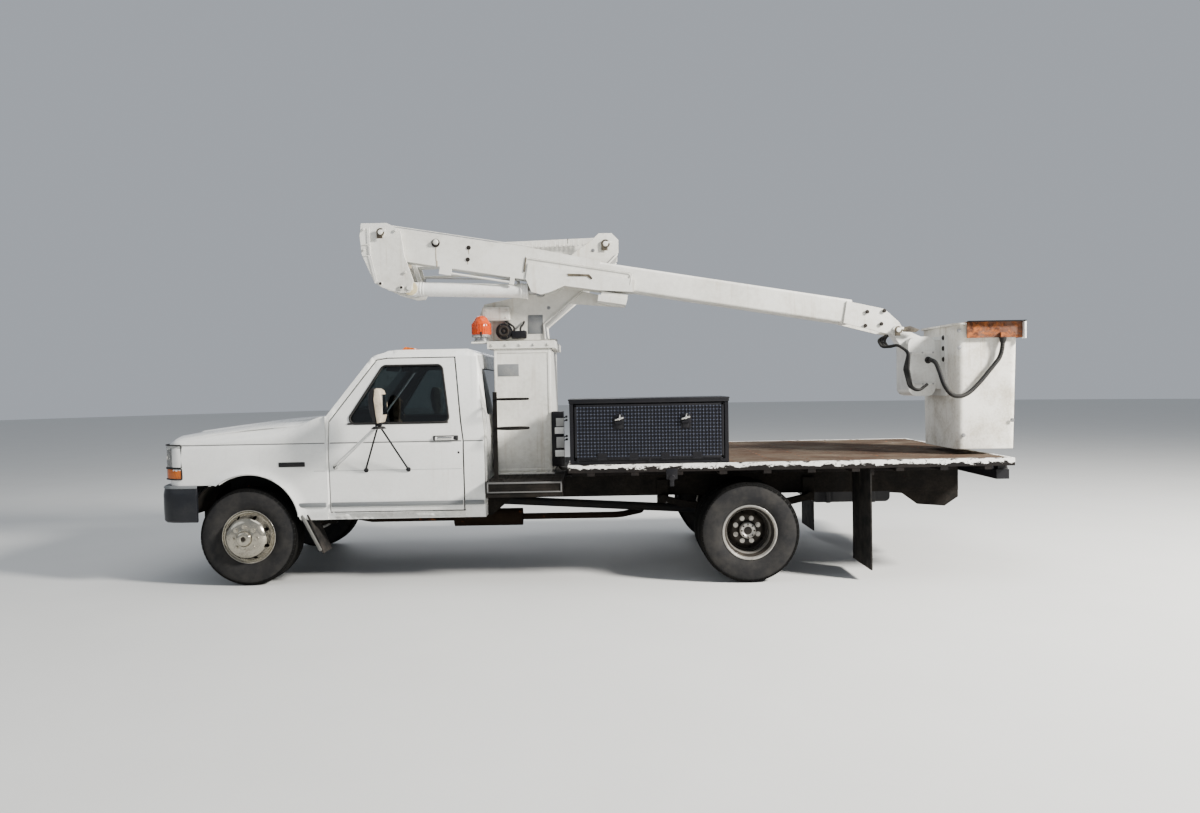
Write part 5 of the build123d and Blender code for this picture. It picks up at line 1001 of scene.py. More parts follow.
# The finish of each CAD node that stays
NODE_FINISHES = {
    "chassis black": (
        "frame", "front_axle", "rear_axle", "knuckle_left", "knuckle_right", "step_platform",
    ),
    "engine paint": ("engine_and_shaft",),
    "black paint": ("fuel_tank", "rear_beam", "toolbox", "toolbox_door", "swing_motor"),
    "rusty steel": ("rim_tray",), "burnt steel": ("exhaust",), "flap rubber": ("mud_flaps",),
    "bed rail": ("bed_frame",), "boards": ("bed_floor",),
    "boom white": (
        "pedestal", "turret", "lower_boom", "level_link", "elbow", "upper_boom_base",
        "upper_boom_arm",
    ),
    "cylinder grey": ("lower_cylinder_barrel", "upper_cylinder_barrel"),
    "bare steel": ("lower_cylinder_rod", "upper_cylinder_rod"), "white gel": ("bucket_bracket",),
    "fibreglass": ("bucket",),
    "cab white": (
        "cab_shell", "door_left", "door_right", "hood", "wing_left", "wing_right", "grille_panel",
    ),
    "bumper black": ("front_bumper",),
    "window glass": ("cab_glass", "door_glass_left", "door_glass_right"),
    "clear lens": ("headlamps",), "amber lens": ("roof_lamps",), "beacon lens": ("beacon",),
    "cabin plastic": ("dashboard", "steering_wheel", "bench_seat"),
    "black plastic": ("mirror_left", "mirror_right"),
    "tyre": ("front_tyre_left", "front_tyre_right", "rear_tyres_left", "rear_tyres_right"),
    "wheel steel": ("front_rim_left", "front_rim_right", "rear_rims_left", "rear_rims_right"),
    "hose": ("bucket_hose",),
}


class TruckColours(bpy.types.PropertyGroup):
    """Colours of the truck's main paints."""

    cab: FloatVectorProperty(
        name="Cab paint", description="Paint of the cab and its panels", subtype="COLOR", size=3,
        min=0, max=1, default=(0.8, 0.8, 0.77),
    )
    boom: FloatVectorProperty(
        name="Boom paint", description="Paint of the pedestal, turret and booms", subtype="COLOR",
        size=3, min=0, max=1, default=(0.74, 0.73, 0.68),
    )
    bucket: FloatVectorProperty(
        name="Bucket", description="Gel coat of the work bucket", subtype="COLOR", size=3, min=0,
        max=1, default=(0.76, 0.74, 0.68),
    )


class TruckSizes(bpy.types.PropertyGroup):
    """Sizes of the truck's repeated details."""

    lug_depth: FloatProperty(
        name="Tread depth", description="Depth of the tyres' tread", subtype="DISTANCE",
        unit="LENGTH", min=0.002, max=0.02, default=0.009,
    )
    lugs: IntProperty(
        name="Tread lugs", description="Lugs round each tyre", min=24, max=96, default=56,
    )
    lattice_pitch: FloatProperty(
        name="Lattice pitch", description="Spacing of the toolbox door's lattice",
        subtype="DISTANCE", unit="LENGTH", min=0.015, max=0.08, default=0.027,
    )
    bolt_radius: FloatProperty(
        name="Bolt head", description="Radius of the booms' bolt heads", subtype="DISTANCE",
        unit="LENGTH", min=0.004, max=0.03, default=0.012,
    )


class TRUCK_OT_finish_nodes(bpy.types.Operator):
    """Gives every CAD solid its finish"""

    bl_idname = "truck.finish_nodes"
    bl_label = "Finish the solids"

    def execute(self, context):
        for finish, names in NODE_FINISHES.items():
            for name in names:
                mesh = NODES[name].data
                mesh.materials.clear()
                mesh.materials.append(material(finish))
        done = {name for names in NODE_FINISHES.values() for name in names}
        if done != set(NODES):
            raise RuntimeError(f"no finish for {sorted(set(NODES) - done)}")
        return {"FINISHED"}


def ease(low, high, value):
    """0 below low, 1 above high and smooth between them."""
    t = min(1.0, max(0.0, (value - low) / (high - low)))
    return t * t * (3 - 2 * t)


HOOD_HALF = 737
HOOD_LINE = ((-680, 1182), (-672, 1228), (-600, 1264), (-300, 1302), (0, 1336), (640, 1386))


def hood_top(x):
    """Height of the hood's middle line at x."""
    for (xa, za), (xb, zb) in zip(HOOD_LINE, HOOD_LINE[1:]):
        if x <= xb:
            return za + (zb - za) * (x - xa) / (xb - xa) if x > xa else za
    return HOOD_LINE[-1][1]


def nose_cut(x):
    """How far the front corners are rounded in at x."""
    return 88 * (max(0.0, -530 - x) / 150) ** 2


def side_bend(co):
    """Pressed shape of the cab's and wings' sides: belt groove, crease, arch lip and sill."""
    x, y, z = co
    out = abs(y)
    near = ease(930, 972, out + lean(z) * (x > 650))
    push = -4 * math.exp(-(((z - BELT + 4) / 10) ** 2))
    push += 7 * math.sin(math.pi * min(1.0, max(0.0, (z - CREASE) / (BELT - CREASE)))) ** 0.7
    push -= 12 * ease(0, 240, CREASE - z)
    push -= 24 * ease(0, 1, (645 - z) / 115) ** 1.5
    gap = math.hypot(x - 22, z - 512) - 412
    if x < 650 and gap < 95 and z > 540:
        push += 27 * (1 - max(0.0, gap) / 95) ** 2
    if x < 655 and z > BELT:
        push -= (66 * ease(600, 0, x) + 24) * (1 - math.cos(min(1, (z - BELT) / 214) * math.pi / 2))
    shifted = y + push * near * (1 if y > 0 else -1)
    lift = 0.0
    if x < 655:
        top = hood_top(x)
        lift = ease(top - 150, top, z) * ease(640, 380, x)
        lift *= 24 + 46 * (max(0.0, out - 745) / 245) ** 2
    nose = nose_cut(x) * ease(700, 985, out)
    return Vector((x, shifted + (-nose if y > 0 else nose), z - lift))


def hood_bend(co):
    """Crowned hood with a raised middle."""
    x, y, z = co
    fade = ease(650, 300, x)
    drop = 11 * ease(395, 450, abs(y)) + 13 * (abs(y) / HOOD_HALF) ** 2
    nose = 16 * ease(-640, -690, x) * (abs(y) / HOOD_HALF) ** 2
    return Vector((x + nose, y, z - drop * fade))


# Planes that cut the panels into a grid: direction, first, last, spacing
BODY_GRID = (((1, 0, 0), -680, 1960, 22), ((0, 0, 1), 533, 1400, 14))
ARCH_GRID = (((1, 0, 0), -680, 660, 16), ((0, 0, 1), 533, 1400, 14), ((0, 1, 0), -990, 990, 22))


def skin_shows(centre, normal):
    """Whether a face of the cab, a door or a wing is painted outer skin."""
    out = abs(centre.y) + lean(centre.z) * (centre.x > 650)
    side = out > 870 and normal.y * centre.y > 0 and abs(normal.y) > 0.25
    side = side and (centre.x > -150 or centre.z > 826)
    front = centre.x < 640 and centre.z > hood_top(centre.x) - 110 and normal.z > 0.2
    nose = centre.x < -560 and centre.z > 830
    shut = out > 905 and abs(normal.y) < 0.4 and centre.x > 655
    roof = centre.z > 1880 and normal.z > 0.1
    ends = (centre.x > 1880 and normal.x > 0.3) or (640 < centre.x < 1100 and normal.x < -0.5)
    pillar = centre.x > 700 and centre.z > BELT + 120 and abs(normal.x) > 0.3 and out > 850
    return side or front or nose or shut or roof or ends or pillar


def pressed(node, grid, inner):
    """A body panel in its real shape, painted where it shows outside and unlike it inside."""
    mesh = dressed(node, grid, side_bend)
    mesh.materials.clear()
    mesh.materials.append(material("cab white"))
    mesh.materials.append(material(inner))
    back = PLACE.inverted()
    for polygon in mesh.polygons:
        shows = skin_shows(back @ polygon.center, polygon.normal)
        polygon.material_index = 0 if shows else 1
    return mesh


class TRUCK_OT_body_panels(bpy.types.Operator):
    """Presses the cab, doors, wings and hood into their real shape"""

    bl_idname = "truck.body_panels"
    bl_label = "Body panels"

    def execute(self, context):
        for _, word in SIDES:
            # The wing's inner faces, the liner under the arch among them, are black as painted
            # shade
            wing = pressed(f"wing_{word}", ARCH_GRID, "chassis black")
            piece(f"wing_{word}_panel", wing, "chassis", (f"wing_{word}",))
            door = pressed(f"door_{word}", BODY_GRID, "cabin plastic")
            piece(f"door_{word}_panel", door, f"door_{word}", (f"door_{word}",))
        shell = pressed("cab_shell", BODY_GRID, "cabin plastic")
        piece("cab_panels", shell, "chassis", ("cab_shell",))
        grille = dressed(
            "grille_panel", (((1, 0, 0), -690, -600, 15), ((0, 1, 0), -985, 985, 20)), side_bend,
        )
        piece("grille_surround", (grille, "cab white"), "chassis", ("grille_panel",))
        hood = dressed(
            "hood", (((1, 0, 0), -680, 640, 30), ((0, 1, 0), -HOOD_HALF, HOOD_HALF, 18)), hood_bend,
        )
        piece("hood_panel", (hood, "cab white"), "hood", ("hood",))
        return {"FINISHED"}


def wheel_profile(half):
    """(radius, distance outwards) round the section of a tyre, from bead to bead."""
    wall = [
        (212, 88), (226, 96), (262, half - 3), (300, half), (340, half - 3), (372, half - 9),
        (388, half - 16),
    ]
    tread = [(396, half - 26), (401, half - 40)]
    outer = wall + tread
    grooves = []
    for at in (58, 20):
        grooves += [(TYRE, at + 5), (394, at + 3.5), (394, at - 3.5), (TYRE, at - 5)]
    left = [(r, -t) for r, t in reversed(outer)]
    right_half = outer + grooves
    left_half = [(r, -t) for r, t in reversed(grooves)] + left
    inner = [(203, -84), (206, -60), (206, 60), (203, 84)]
    return right_half + left_half + inner


def tyre(x, centre_y, half, sizes):
    """A tyre of a given half width with its lugs, as [carcass, tread blocks]."""
    shape = Shape().lathe(wheel_profile(half), (x, centre_y, TYRE), (0, 1, 0), 84)
    depth = sizes.lug_depth * 1000
    pitch = 2 * math.pi * TYRE / sizes.lugs
    rows = []
    for i in range(sizes.lugs):
        for end in (-1, 1):
            angle = 2 * math.pi * (i + (0.5 if end > 0 else 0)) / sizes.lugs
            out = Vector((math.cos(angle), 0, math.sin(angle)))
            along = Vector((-math.sin(angle), 0, math.cos(angle)))
            centre = Vector((x, centre_y + end * (half - 29), TYRE)) + out * (398 - depth / 2)
            aim = (out + Vector((0, end * 0.3, 0))).normalized()
            rows.append((centre, aim, along, (pitch * 0.84, 26, depth)))
            wall = Vector((x, centre_y + end * (half - 9), TYRE)) + out * 384
            rows.append(
                (wall, (out * 0.45 + Vector((0, end, 0))).normalized(), along, (pitch * 0.8, 14, 4))
            )
    wall = shape.mesh()
    wall.materials.append(material("tyre"))
    wall.materials.append(material("tread"))
    for polygon in wall.polygons:
        at = PLACE.inverted() @ polygon.center
        polygon.material_index = int(math.hypot(at.x - x, at.z - TYRE) > 381)
    return [wall, blocks(rows, "tread")]


def ring_spots(centre, radius, count, turn=0.0):
    """Places on a circle round a wheel's axle."""
    angles = [2 * math.pi * (i + turn) / count for i in range(count)]
    x, y, z = centre
    return [(x + radius * math.cos(a), y, z + radius * math.sin(a)) for a in angles]


def cover_holes(mesh, centre, radius, size, count, turn):
    """Cuts a ring of round holes through a wheel disc."""
    cutter = Shape()
    for x, y, z in ring_spots(centre, radius, count, turn):
        cutter.rod((x, y - 160, z), (x, y + 160, z), size, sides=20)
    tool = bpy.data.objects.new("cutter", cutter.mesh())
    disc = bpy.data.objects.new("disc", mesh)
    for obj in (tool, disc):
        bpy.context.scene.collection.objects.link(obj)
    modifier = disc.modifiers.new("Holes", "BOOLEAN")
    modifier.object, modifier.operation, modifier.solver = tool, "DIFFERENCE", "EXACT"
    evaluated = disc.evaluated_get(bpy.context.evaluated_depsgraph_get())
    result = bpy.data.meshes.new_from_object(evaluated)
    for obj in (tool, disc):
        bpy.data.objects.remove(obj)
    soften(result, 30)
    return result


class TRUCK_OT_wheels(bpy.types.Operator):
    """Makes the tyres, the bright front covers and the dished twin rear wheels"""

    bl_idname = "truck.wheels"
    bl_label = "Wheels"

    def execute(self, context):
        sizes = context.scene.truck_sizes
        for side, word in SIDES:
            self.front(side, word, sizes)
            self.rear(side, word, sizes)
        return {"FINISHED"}

    def front(self, side, word, sizes):
        body, y = f"front_wheel_{word}", side * FRONT_Y
        parts = tyre(0, y, FRONT_HALF_TYRE, sizes)
        piece(f"tyre_front_{word}", parts, body, (f"front_tyre_{word}",))
        centre, axis = (0, y, TYRE), (0, side, 0)
        barrel = Shape().lathe(
            [
                (222, 96), (219, 100), (213, 99), (208, 90), (204, 84), (196, 60), (182, 20),
                (182, -60), (196, -80), (206, -86), (222, -92), (222, -97), (204, -96), (190, -84),
                (174, -64), (174, 30), (190, 70), (200, 84),
            ],
            centre, axis,
        )
        cover = Shape().lathe(
            [
                (66, 192), (82, 188), (120, 186), (140, 181), (158, 168), (172, 148), (183, 122),
                (192, 100), (199, 91), (205, 92), (210, 98), (217, 101), (219, 98), (208, 86),
                (196, 82), (186, 92), (176, 116), (164, 142), (150, 160), (134, 172), (66, 178),
            ],
            centre, axis, 84,
        )
        disc = cover_holes(cover.mesh(), centre, 172, 16, 8, 0.5)
        hub = Shape().lathe(
            [
                (0, 214), (20, 214), (24, 218), (44, 219), (55, 213), (60, 200), (63, 188),
                (74, 186), (74, 170), (0, 170),
            ],
            centre, axis, 48,
        )
        middle = (0, y + side * 186, TYRE)
        nuts = bolts(ring_spots(middle, 97, 8), (0, side, 0), 14, 14, "cover chrome", 12)
        # Black cones inside the wheel are painted shade behind the cover's holes; a small dark disc
        # marks the cap's middle
        dark = Shape().rod((0, y + side * 66, TYRE), (0, y + side * 84, TYRE), 190, 168, 48)
        dark.rod((0, y + side * 84, TYRE), (0, y + side * 150, TYRE), 168, 120, 48)
        dark.rod((0, y + side * 212, TYRE), (0, y + side * 217, TYRE), 19, 17, 24)
        backing = Shape().rod(
            (0, y - side * 82, TYRE), (0, y + side * 40, TYRE), 108, 96, 40, bevel=5,
        )
        piece(
            f"wheel_front_{word}",
            [
                (barrel, "wheel steel"), (disc, "cover chrome"), (hub, "cover chrome"), nuts,
                (dark, "chassis black"), (backing, "chassis black"),
            ],
            body, (f"front_rim_{word}",),
        )

    def rear(self, side, word, sizes):
        body, x = f"rear_wheels_{word}", WHEELBASE
        parts = []
        for y in (side * OUTER_Y, side * INNER_Y):
            parts += tyre(x, y, REAR_HALF_TYRE, sizes)
        piece(f"tyres_rear_{word}", parts, body, (f"rear_tyres_{word}",))
        parts = []
        for y, facing in ((side * OUTER_Y, side), (side * INNER_Y, -side)):
            barrel = Shape().lathe(
                [
                    (222, 92), (219, 96), (212, 96), (206, 88), (203, 80), (198, 60), (186, 30),
                    (182, -40), (190, -74), (203, -84), (222, -90), (222, -95), (200, -94),
                    (186, -84), (174, -60), (176, 26), (190, 58), (197, 78), (201, 90), (211, 100),
                    (219, 99),
                ],
                (x, y, TYRE), (0, facing, 0),
            )
            parts.append((barrel, "wheel steel"))
            # A dark lining inside each barrel is painted shade in the deep dish
            barrel_shade = Shape().lathe(
                [
                    (201, 82), (196, 60), (184, 30), (180, -40), (186, -72), (181, -72), (174, -40),
                    (178, 30), (190, 60), (196, 82),
                ],
                (x, y, TYRE), (0, facing, 0),
            )
            parts.append((barrel_shade, "dark wheel"))
        disc = Shape()
        y = side * OUTER_Y
        disc.lathe(
            [
                (74, -58), (92, -54), (118, -56), (128, -66), (146, -92), (160, -98), (177, -88),
                (177, -98), (160, -108), (140, -102), (118, -68), (74, -68),
            ],
            (x, y, TYRE), (0, side, 0), 84,
        )
        holed = cover_holes(disc.mesh(), (x, y, TYRE), 150, 14, 8, 0.25)
        hub = Shape().rod((x, side * 930, TYRE), (x, side * 1052, TYRE), 74, 68, 44, bevel=5)
        flange = Shape().lathe(
            [(0, 0), (38, 0), (44, 6), (54, 8), (62, 4), (66, -6), (66, -30), (0, -30)],
            (x, side * 1078, TYRE), (0, side, 0), 48,
        )
        nuts = bolts(
            ring_spots((x, side * 1022, TYRE), 98, 8, 0.5), (0, side, 0), 14, 12, "wheel steel",
        )
        studs = bolts(ring_spots((x, side * 1085, TYRE), 51, 8), (0, side, 0), 5, 4, "dark wheel")
        centre = Shape().rod((x, side * 1076, TYRE), (x, side * 1080, TYRE), 34, 32, 32, bevel=1)
        parts += [
            (holed, "dark wheel"), (hub, "dark wheel"), nuts, (flange, "wheel steel"), studs,
            (centre, "dark wheel"),
        ]
        drum = Shape().rod((x, side * 700, TYRE), (x, side * 975, TYRE), 168, 168, 56, bevel=6)
        parts.append((drum, "chassis black"))
        piece(f"wheels_rear_{word}", parts, body, (f"rear_rims_{word}",))


# Corners of a door's window, as x and z
WINDOW = ((820, 1320), (1672, 1320), (1612, 1792), (1128, 1792))


class TRUCK_OT_cab_trim(bpy.types.Operator):
    """Adds seals, mouldings, handles, wipers, roof lamp bases and mirrors to the cab"""

    bl_idname = "truck.cab_trim"
    bl_label = "Cab trim"

    def execute(self, context):
        for side, word in SIDES:
            self.door(side, word)
            self.mirror(side, word)
        self.cowl()
        self.roof()
        return {"FINISHED"}

    def door(self, side, word):
        body = f"door_{word}"
        ring = [(x, side * (body_side(z) + 1), z) for x, z in rounded(WINDOW, 44)]
        seal = pipes([ring], 9, "seal rubber", bend=1, sides=10, closed=True)
        inner = [(x, side * (body_side(z) - 14), z) for x, z in rounded(WINDOW, 36)]
        channel = pipes([inner], 7, "black plastic", bend=1, sides=8, closed=True)
        # The rail at the window's foot
        foot = [
            (840, side * (body_side(1322) + 3), 1320), (1664, side * (body_side(1322) + 3), 1320),
        ]
        rail = pipes([foot], 7, "seal rubber", bend=1, sides=8)
        piece(f"window_seals_{word}", [seal, channel, rail], body)
        # The pull handle, which is a bright paddle in a cup, and the lock
        cup = Shape().box(1542, 1746, side * 984, side * 993, 1172, 1212, bevel=6)
        cup.box(1546, 1574, side * 990, side * 1006, 1178, 1204, bevel=6)
        cup.rod((1722, side * 988, 1192), (1722, side * 1010, 1192), 18, 15, 24, bevel=2)
        paddle = Shape().box(1580, 1700, side * 996, side * 1014, 1182, 1206, bevel=6, segments=3)
        lock = Shape().rod((1748, side * 986, 1072), (1748, side * 998, 1072), 12, 10, 24, bevel=2)
        piece(
            f"handle_{word}", [(cup, "black plastic"), (paddle, "chrome"), (lock, "black plastic")],
            body,
        )
        # Grey rub moulding low on the side, in three lengths
        for x0, x1, carrier, label in (
            (408, 654, "chassis", "wing"), (696, 1774, body, "door"),
            (1792, 1950, "chassis", "cab"),
        ):
            strip = Shape().box(x0, x1, side * 966, side * 992, 641, 678, bevel=6, segments=3)
            strip.box(x0 + 2, x1 - 2, side * 986, side * 994, 656, 663, bevel=2)
            piece(f"moulding_{label}_{word}", (strip, "grey moulding"), carrier)
        # Blank bar badge on the wing and lip round the arch
        badge = Shape().box(274, 490, side * 984, side * 1000, 976, 1016, bevel=4)
        badge.box(282, 482, side * 996, side * 1002, 984, 1008, bevel=2)
        piece(f"wing_badge_{word}", (badge, "black plastic"), "chassis")
        lip = [
            (22 + 409 * math.cos(a), side * 990, 512 + 409 * math.sin(a))
            for a in [math.radians(8 + 118 * i / 40) for i in range(41)]
        ]
        piece(
            f"arch_edge_{word}", pipes([lip], 7, "cab white", bend=1, sides=10), "chassis",
        )
        # Rain gutter over the door
        gutter = [
            (1080, side * 812, 1881), (1150, side * 806, 1912), (1700, side * 806, 1915),
            (1830, side * 806, 1905),
        ]
        piece(
            f"rain_gutter_{word}", pipes([gutter], 7, "cab white", bend=40), "chassis",
        )
        # Painted shade: dark lines along the belt groove and under the crease
        for label, x0, x1, carrier in (
            ("wing", -520, 652, "chassis"), ("door", 696, 1772, body),
            ("cab", 1794, 1948, "chassis"),
        ):
            belt = [(x, side * (HALF - 4.5), BELT - 4) for x in (x0, x1)]
            crease = [(x, side * (HALF - 3), CREASE - 6) for x in (max(x0, 560), min(x1, 1772))]
            rows = [(belt, 5, "groove dirt")] + [(crease, 4, "crease dirt")] * (label != "cab")
            made = [pipes([line], radius, finish, bend=1, sides=8) for line, radius, finish in rows]
            piece(f"groove_shade_lines_{label}_{word}", made, carrier)
        flap = Shape()
        turn = Matrix.Rotation(math.radians(-27), 4, "Y")
        flap.box(508, 532, side * 770, side * 985, 262, 596, bevel=5, turn=turn)
        piece(f"front_flap_{word}", (flap, "flap grey"), "chassis")

    def mirror(self, side, word):
        hub = (1158, side * 1225, 1325)
        front = [
            [(735, side * 992, 980), (735, side * 1004, 984), hub],
            [(742, side * 992, 958), (742, side * 1004, 962), (1158, side * 1236, 1306)],
        ]
        rear = [
            [(990, side * 992, 940), (990, side * 1006, 946), hub],
            [(1335, side * 992, 940), (1335, side * 1006, 946), hub],
        ]
        feet = Shape()
        for x, z in ((738, 969), (990, 940), (1335, 940)):
            feet.rod((x, side * 982, z), (x, side * 1000, z), 22, 17, 24, bevel=3)
        clamp = Shape().rod(
            (1158, side * 1225, 1292), (1158, side * 1225, 1350), 15, 13, 24, bevel=3,
        )
        clamp.box(1135, 1185, side * 1208, side * 1242, 1308, 1334, bevel=5)
        back, face = Shape(), Shape()
        back.prism(
            [
                (1104, 1500), (1110, 1560), (1126, 1600), (1150, 1612), (1166, 1600), (1166, 1350),
                (1146, 1338), (1120, 1400),
            ],
            side * 1160, side * 1328, bevel=9,
        )
        face.prism(
            [
                (1152, 1520), (1154, 1596), (1172, 1606), (1196, 1590), (1212, 1540), (1216, 1470),
                (1210, 1390), (1196, 1340), (1172, 1334), (1166, 1400),
            ],
            side * 1154, side * 1334, bevel=10,
        )
        glass = Shape().box(1212, 1217, side * 1172, side * 1316, 1400, 1560, bevel=1.5)
        round_glass = Shape().rod(
            (1162, side * 1236, 1288), (1162, side * 1236, 1306), 62, 44, 36, bevel=5,
        )
        piece(
            f"mirror_{word}_unit",
            [
                pipes(front, 7.5, "cylinder grey", bend=6), pipes(rear, 7.5, "black paint", bend=6),
                (feet, "black plastic"), (clamp, "black paint"), (face, "mirror beige"),
                (back, "black plastic"), (glass, "mirror glass"), (round_glass, "black plastic"),
            ],
            f"door_{word}", (f"mirror_{word}",),
        )

    def cowl(self):
        grille = Shape().prism(
            ((652, 1378), (668, 1384), (706, 1436), (690, 1440), (654, 1398)), -690, 690, bevel=2,
        )
        vents = blocks(
            [
                ((671, y, 1419), (-0.76, 0, 0.65), (0, 1, 0), (26, 30, 5))
                for y in range(-620, 621, 40)
            ],
            "black plastic",
        )
        arms = pipes(
            [[(672, y, 1402), (700, y - 20, 1432), (860, y - 330, 1652)] for y in (-150, 560)], 6,
            "black paint", bend=20, sides=8,
        )
        blades = pipes(
            [[(716, y - 60, 1466), (918, y - 436, 1726)] for y in (-150, 560)], 6, "seal rubber",
            bend=1, sides=6,
        )
        caps = Shape()
        for y in (-150, 560):
            caps.rod((664, y, 1392), (678, y, 1416), 17, 13, 20, bevel=3)
        piece(
            "cowl_and_wipers",
            [(grille, "black plastic"), vents, arms, blades, (caps, "black plastic")], "chassis",
        )
        # Rubber round the windscreen
        base, head = Vector((660, 0, 1385)), Vector((1045, 0, 1878))
        middle, down = (base + head) / 2, (base - head).normalized()
        out = Vector((-(head.z - base.z), 0, head.x - base.x)).normalized() * 2
        screen = rounded(((-830, 250), (830, 250), (775, -232), (-775, -232)), 52)
        line = [tuple(middle + down * v + Vector((0, u, 0)) + out) for u, v in screen]
        seal = pipes([line], 10, "seal rubber", bend=1, sides=10, closed=True)
        piece("windscreen_seal", seal, "chassis")

    def roof(self):
        bases = Shape()
        for y in (-560, -170, 0, 170, 560):
            bases.box(1198, 1336, y - 47, y + 47, 1922, 1931, bevel=3)
        piece("roof_lamp_bases", (bases, "chrome"), "chassis")


class TRUCK_OT_front_end(bpy.types.Operator):
    """Makes the headlamps, grille bars, bumper and blank number plate"""

    bl_idname = "truck.front_end"
    bl_label = "Front end"

    def execute(self, context):
        clear, amber, bowls, frames = Shape(), Shape(), Shape(), []
        for side in (LEFT, RIGHT):
            corner = [(x, 993 - nose_cut(x)) for x in (-684, -670, -650, -622, -585, -550, -522)]
            plan = [
                (-616, 622), (-690, 622), (-690, 870), *corner, (-522, 972), (-585, 952),
                (-616, 930),
            ]
            outline = [(x, side * y) for x, y in plan]
            clear.prism(outline, 985, 1168, axis="z", bevel=5)
            amber.prism(outline, 891, 975, axis="z", bevel=5)
            for y, z, r in ((720, 1076, 74), (866, 1076, 52)):
                bowls.lathe(
                    [
                        (r, -10), (r * 0.8, 8), (r * 0.45, 24), (0, 28), (0, 31), (r * 0.5, 27),
                        (r * 0.86, 9), (r + 3, -10),
                    ],
                    (-664, side * y, z), (1, 0, 0), 32,
                )
            for low, high in ((983, 1170), (889, 977)):
                frames += [
                    [(x - 1.5, side * (y + 1.5), z) for x, y in plan[1:10]]
                    for z in (low, high)
                ]
                frames.append([(-520, side * 991, low), (-520, side * 991, high)])
                frames.append([(-690, side * 621, low), (-690, side * 621, high)])
        piece(
            "headlamp_units",
            [
                (clear, "clear lens"), (amber, "amber lens"), (bowls, "chrome"),
                pipes(frames, 6, "seal rubber", bend=4, sides=8),
            ],
            "chassis", ("headlamps",),
        )
        rows = []
        for i in range(1, 12):
            y = -580 + 1160 * i / 12
            rows.append(((-660, y, 1014), (1, 0, 0), (0, 1, 0), (14, 250, 44)))
        for i in range(1, 4):
            z = 888 + 252 * i / 4
            rows.append(((-662, 0, z), (1, 0, 0), (0, 1, 0), (1164, 14, 46)))
        for z in (886, 1142):
            rows.append(((-672, 0, z), (1, 0, 0), (0, 1, 0), (1200, 16, 38)))
        for y in (-588, 588):
            rows.append(((-672, y, 1014), (1, 0, 0), (0, 1, 0), (16, 270, 38)))
        badge = Shape().rod((-694, 0, 1014), (-684, 0, 1014), 62, 62, 40, bevel=3)
        back = Shape().box(-606, -602, -578, 578, 890, 1138, bevel=1)
        piece(
            "grille_bars",
            [blocks(rows, "grey moulding"), (badge, "grey moulding"), (back, "black plastic")],
            "chassis",
        )
        outer = [
            (-400, 1000), (-520, 1000), (-610, 990), (-668, 962), (-706, 915), (-728, 850),
            (-742, 760),
        ]
        half = outer + [(-760 + 18 * (y / 760) ** 2, y) for y in (640, 480, 320, 160, 0)]
        full = half + [(x, -y) for x, y in reversed(half[:-1])]
        section = (
            (4, 818), (12, 834), (44, 836), (26, 828), (26, 540), (10, 534), (-2, 548), (-6, 640),
            (-6, 760),
        )
        bar, strip = Shape(), Shape()
        edge = ((2, 812), (-4, 816), (-2, 826), (6, 834), (16, 837), (16, 812))
        for shape, rows in ((bar, section), (strip, edge)):
            rings = []
            for i, (x, y) in enumerate(full):
                before, after = full[max(0, i - 1)], full[min(len(full) - 1, i + 1)]
                run = Vector((after[0] - before[0], after[1] - before[1])).normalized()
                inward = Vector((-run.y, run.x))
                if inward.x * (-300 - x) + inward.y * -y < 0:
                    inward.negate()
                rings.append(
                    [shape.bm.verts.new((x + inward.x * d, y + inward.y * d, z)) for d, z in rows]
                )
            for a, b in zip(rings, rings[1:]):
                for k in range(len(rows)):
                    n = (k + 1) % len(rows)
                    shape.bm.faces.new((a[k], a[n], b[n], b[k]))
            shape.bm.faces.new(rings[0])
            shape.bm.faces.new(rings[-1][::-1])
        plate = Shape().box(-768, -763, -155, 155, 610, 765, bevel=2)
        guards = Shape()
        for y in (-430, 430):
            guards.box(-772, -740, y - 32, y + 32, 560, 804, bevel=8)
        piece(
            "bumper_trim",
            [
                (bar, "bumper black"), (strip, "grey moulding"), (plate, "blank label"),
                (guards, "seal rubber"),
                bolts(
                    [(-757, y, 690) for y in (-520, -300, 300, 520)], (-1, 0, 0), 14, 7, "chrome",
                    16,
                ),
            ],
            "chassis", ("front_bumper",),
        )
        return {"FINISHED"}


class TRUCK_OT_hose(bpy.types.Operator):
    """Hangs the bucket's hose"""

    bl_idname = "truck.hose"
    bl_label = "Bucket hose"

    route = (
        (5740, -600, 1765), (5740, -745, 1765), (5734, -862, 1670), (5746, -925, 1545),
        (5812, -934, 1455), (5928, -924, 1458), (6045, -915, 1565), (6150, -909.3, 1690),
        (6240, -909.3, 1800), (6240, -909.3, 1935),
    )

    def execute(self, context):
        curve = bpy.data.curves.new("control_hose", "CURVE")
        curve.dimensions = "3D"
        curve.bevel_depth = 18 * MM
        curve.bevel_resolution = 5
        curve.use_fill_caps = True
        curve.resolution_u = 16
        spline = curve.splines.new("NURBS")
        spline.points.add(len(self.route) - 1)
        for point, place in zip(spline.points, self.route):
            point.co = (*(PLACE @ Vector(place)), 1)
        spline.order_u = 3
        spline.use_endpoint_u = True
        curve.materials.append(material("hose"))
        hose = bpy.data.objects.new("control_hose", curve)
        bpy.context.scene.collection.objects.link(hose)
        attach(hose, "bucket")
        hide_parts("bucket_hose")
        glands = Shape()
        start, end = Vector(self.route[0]), Vector(self.route[-1])
        glands.rod(start, start + Vector((0, -46, 0)), 30, 21, 24)
        glands.rod(end, end + Vector((0, 0, -44)), 30, 21, 24)
        ends = piece("hose_ends", (glands, "seal rubber"), "bucket")
        return {"FINISHED"}


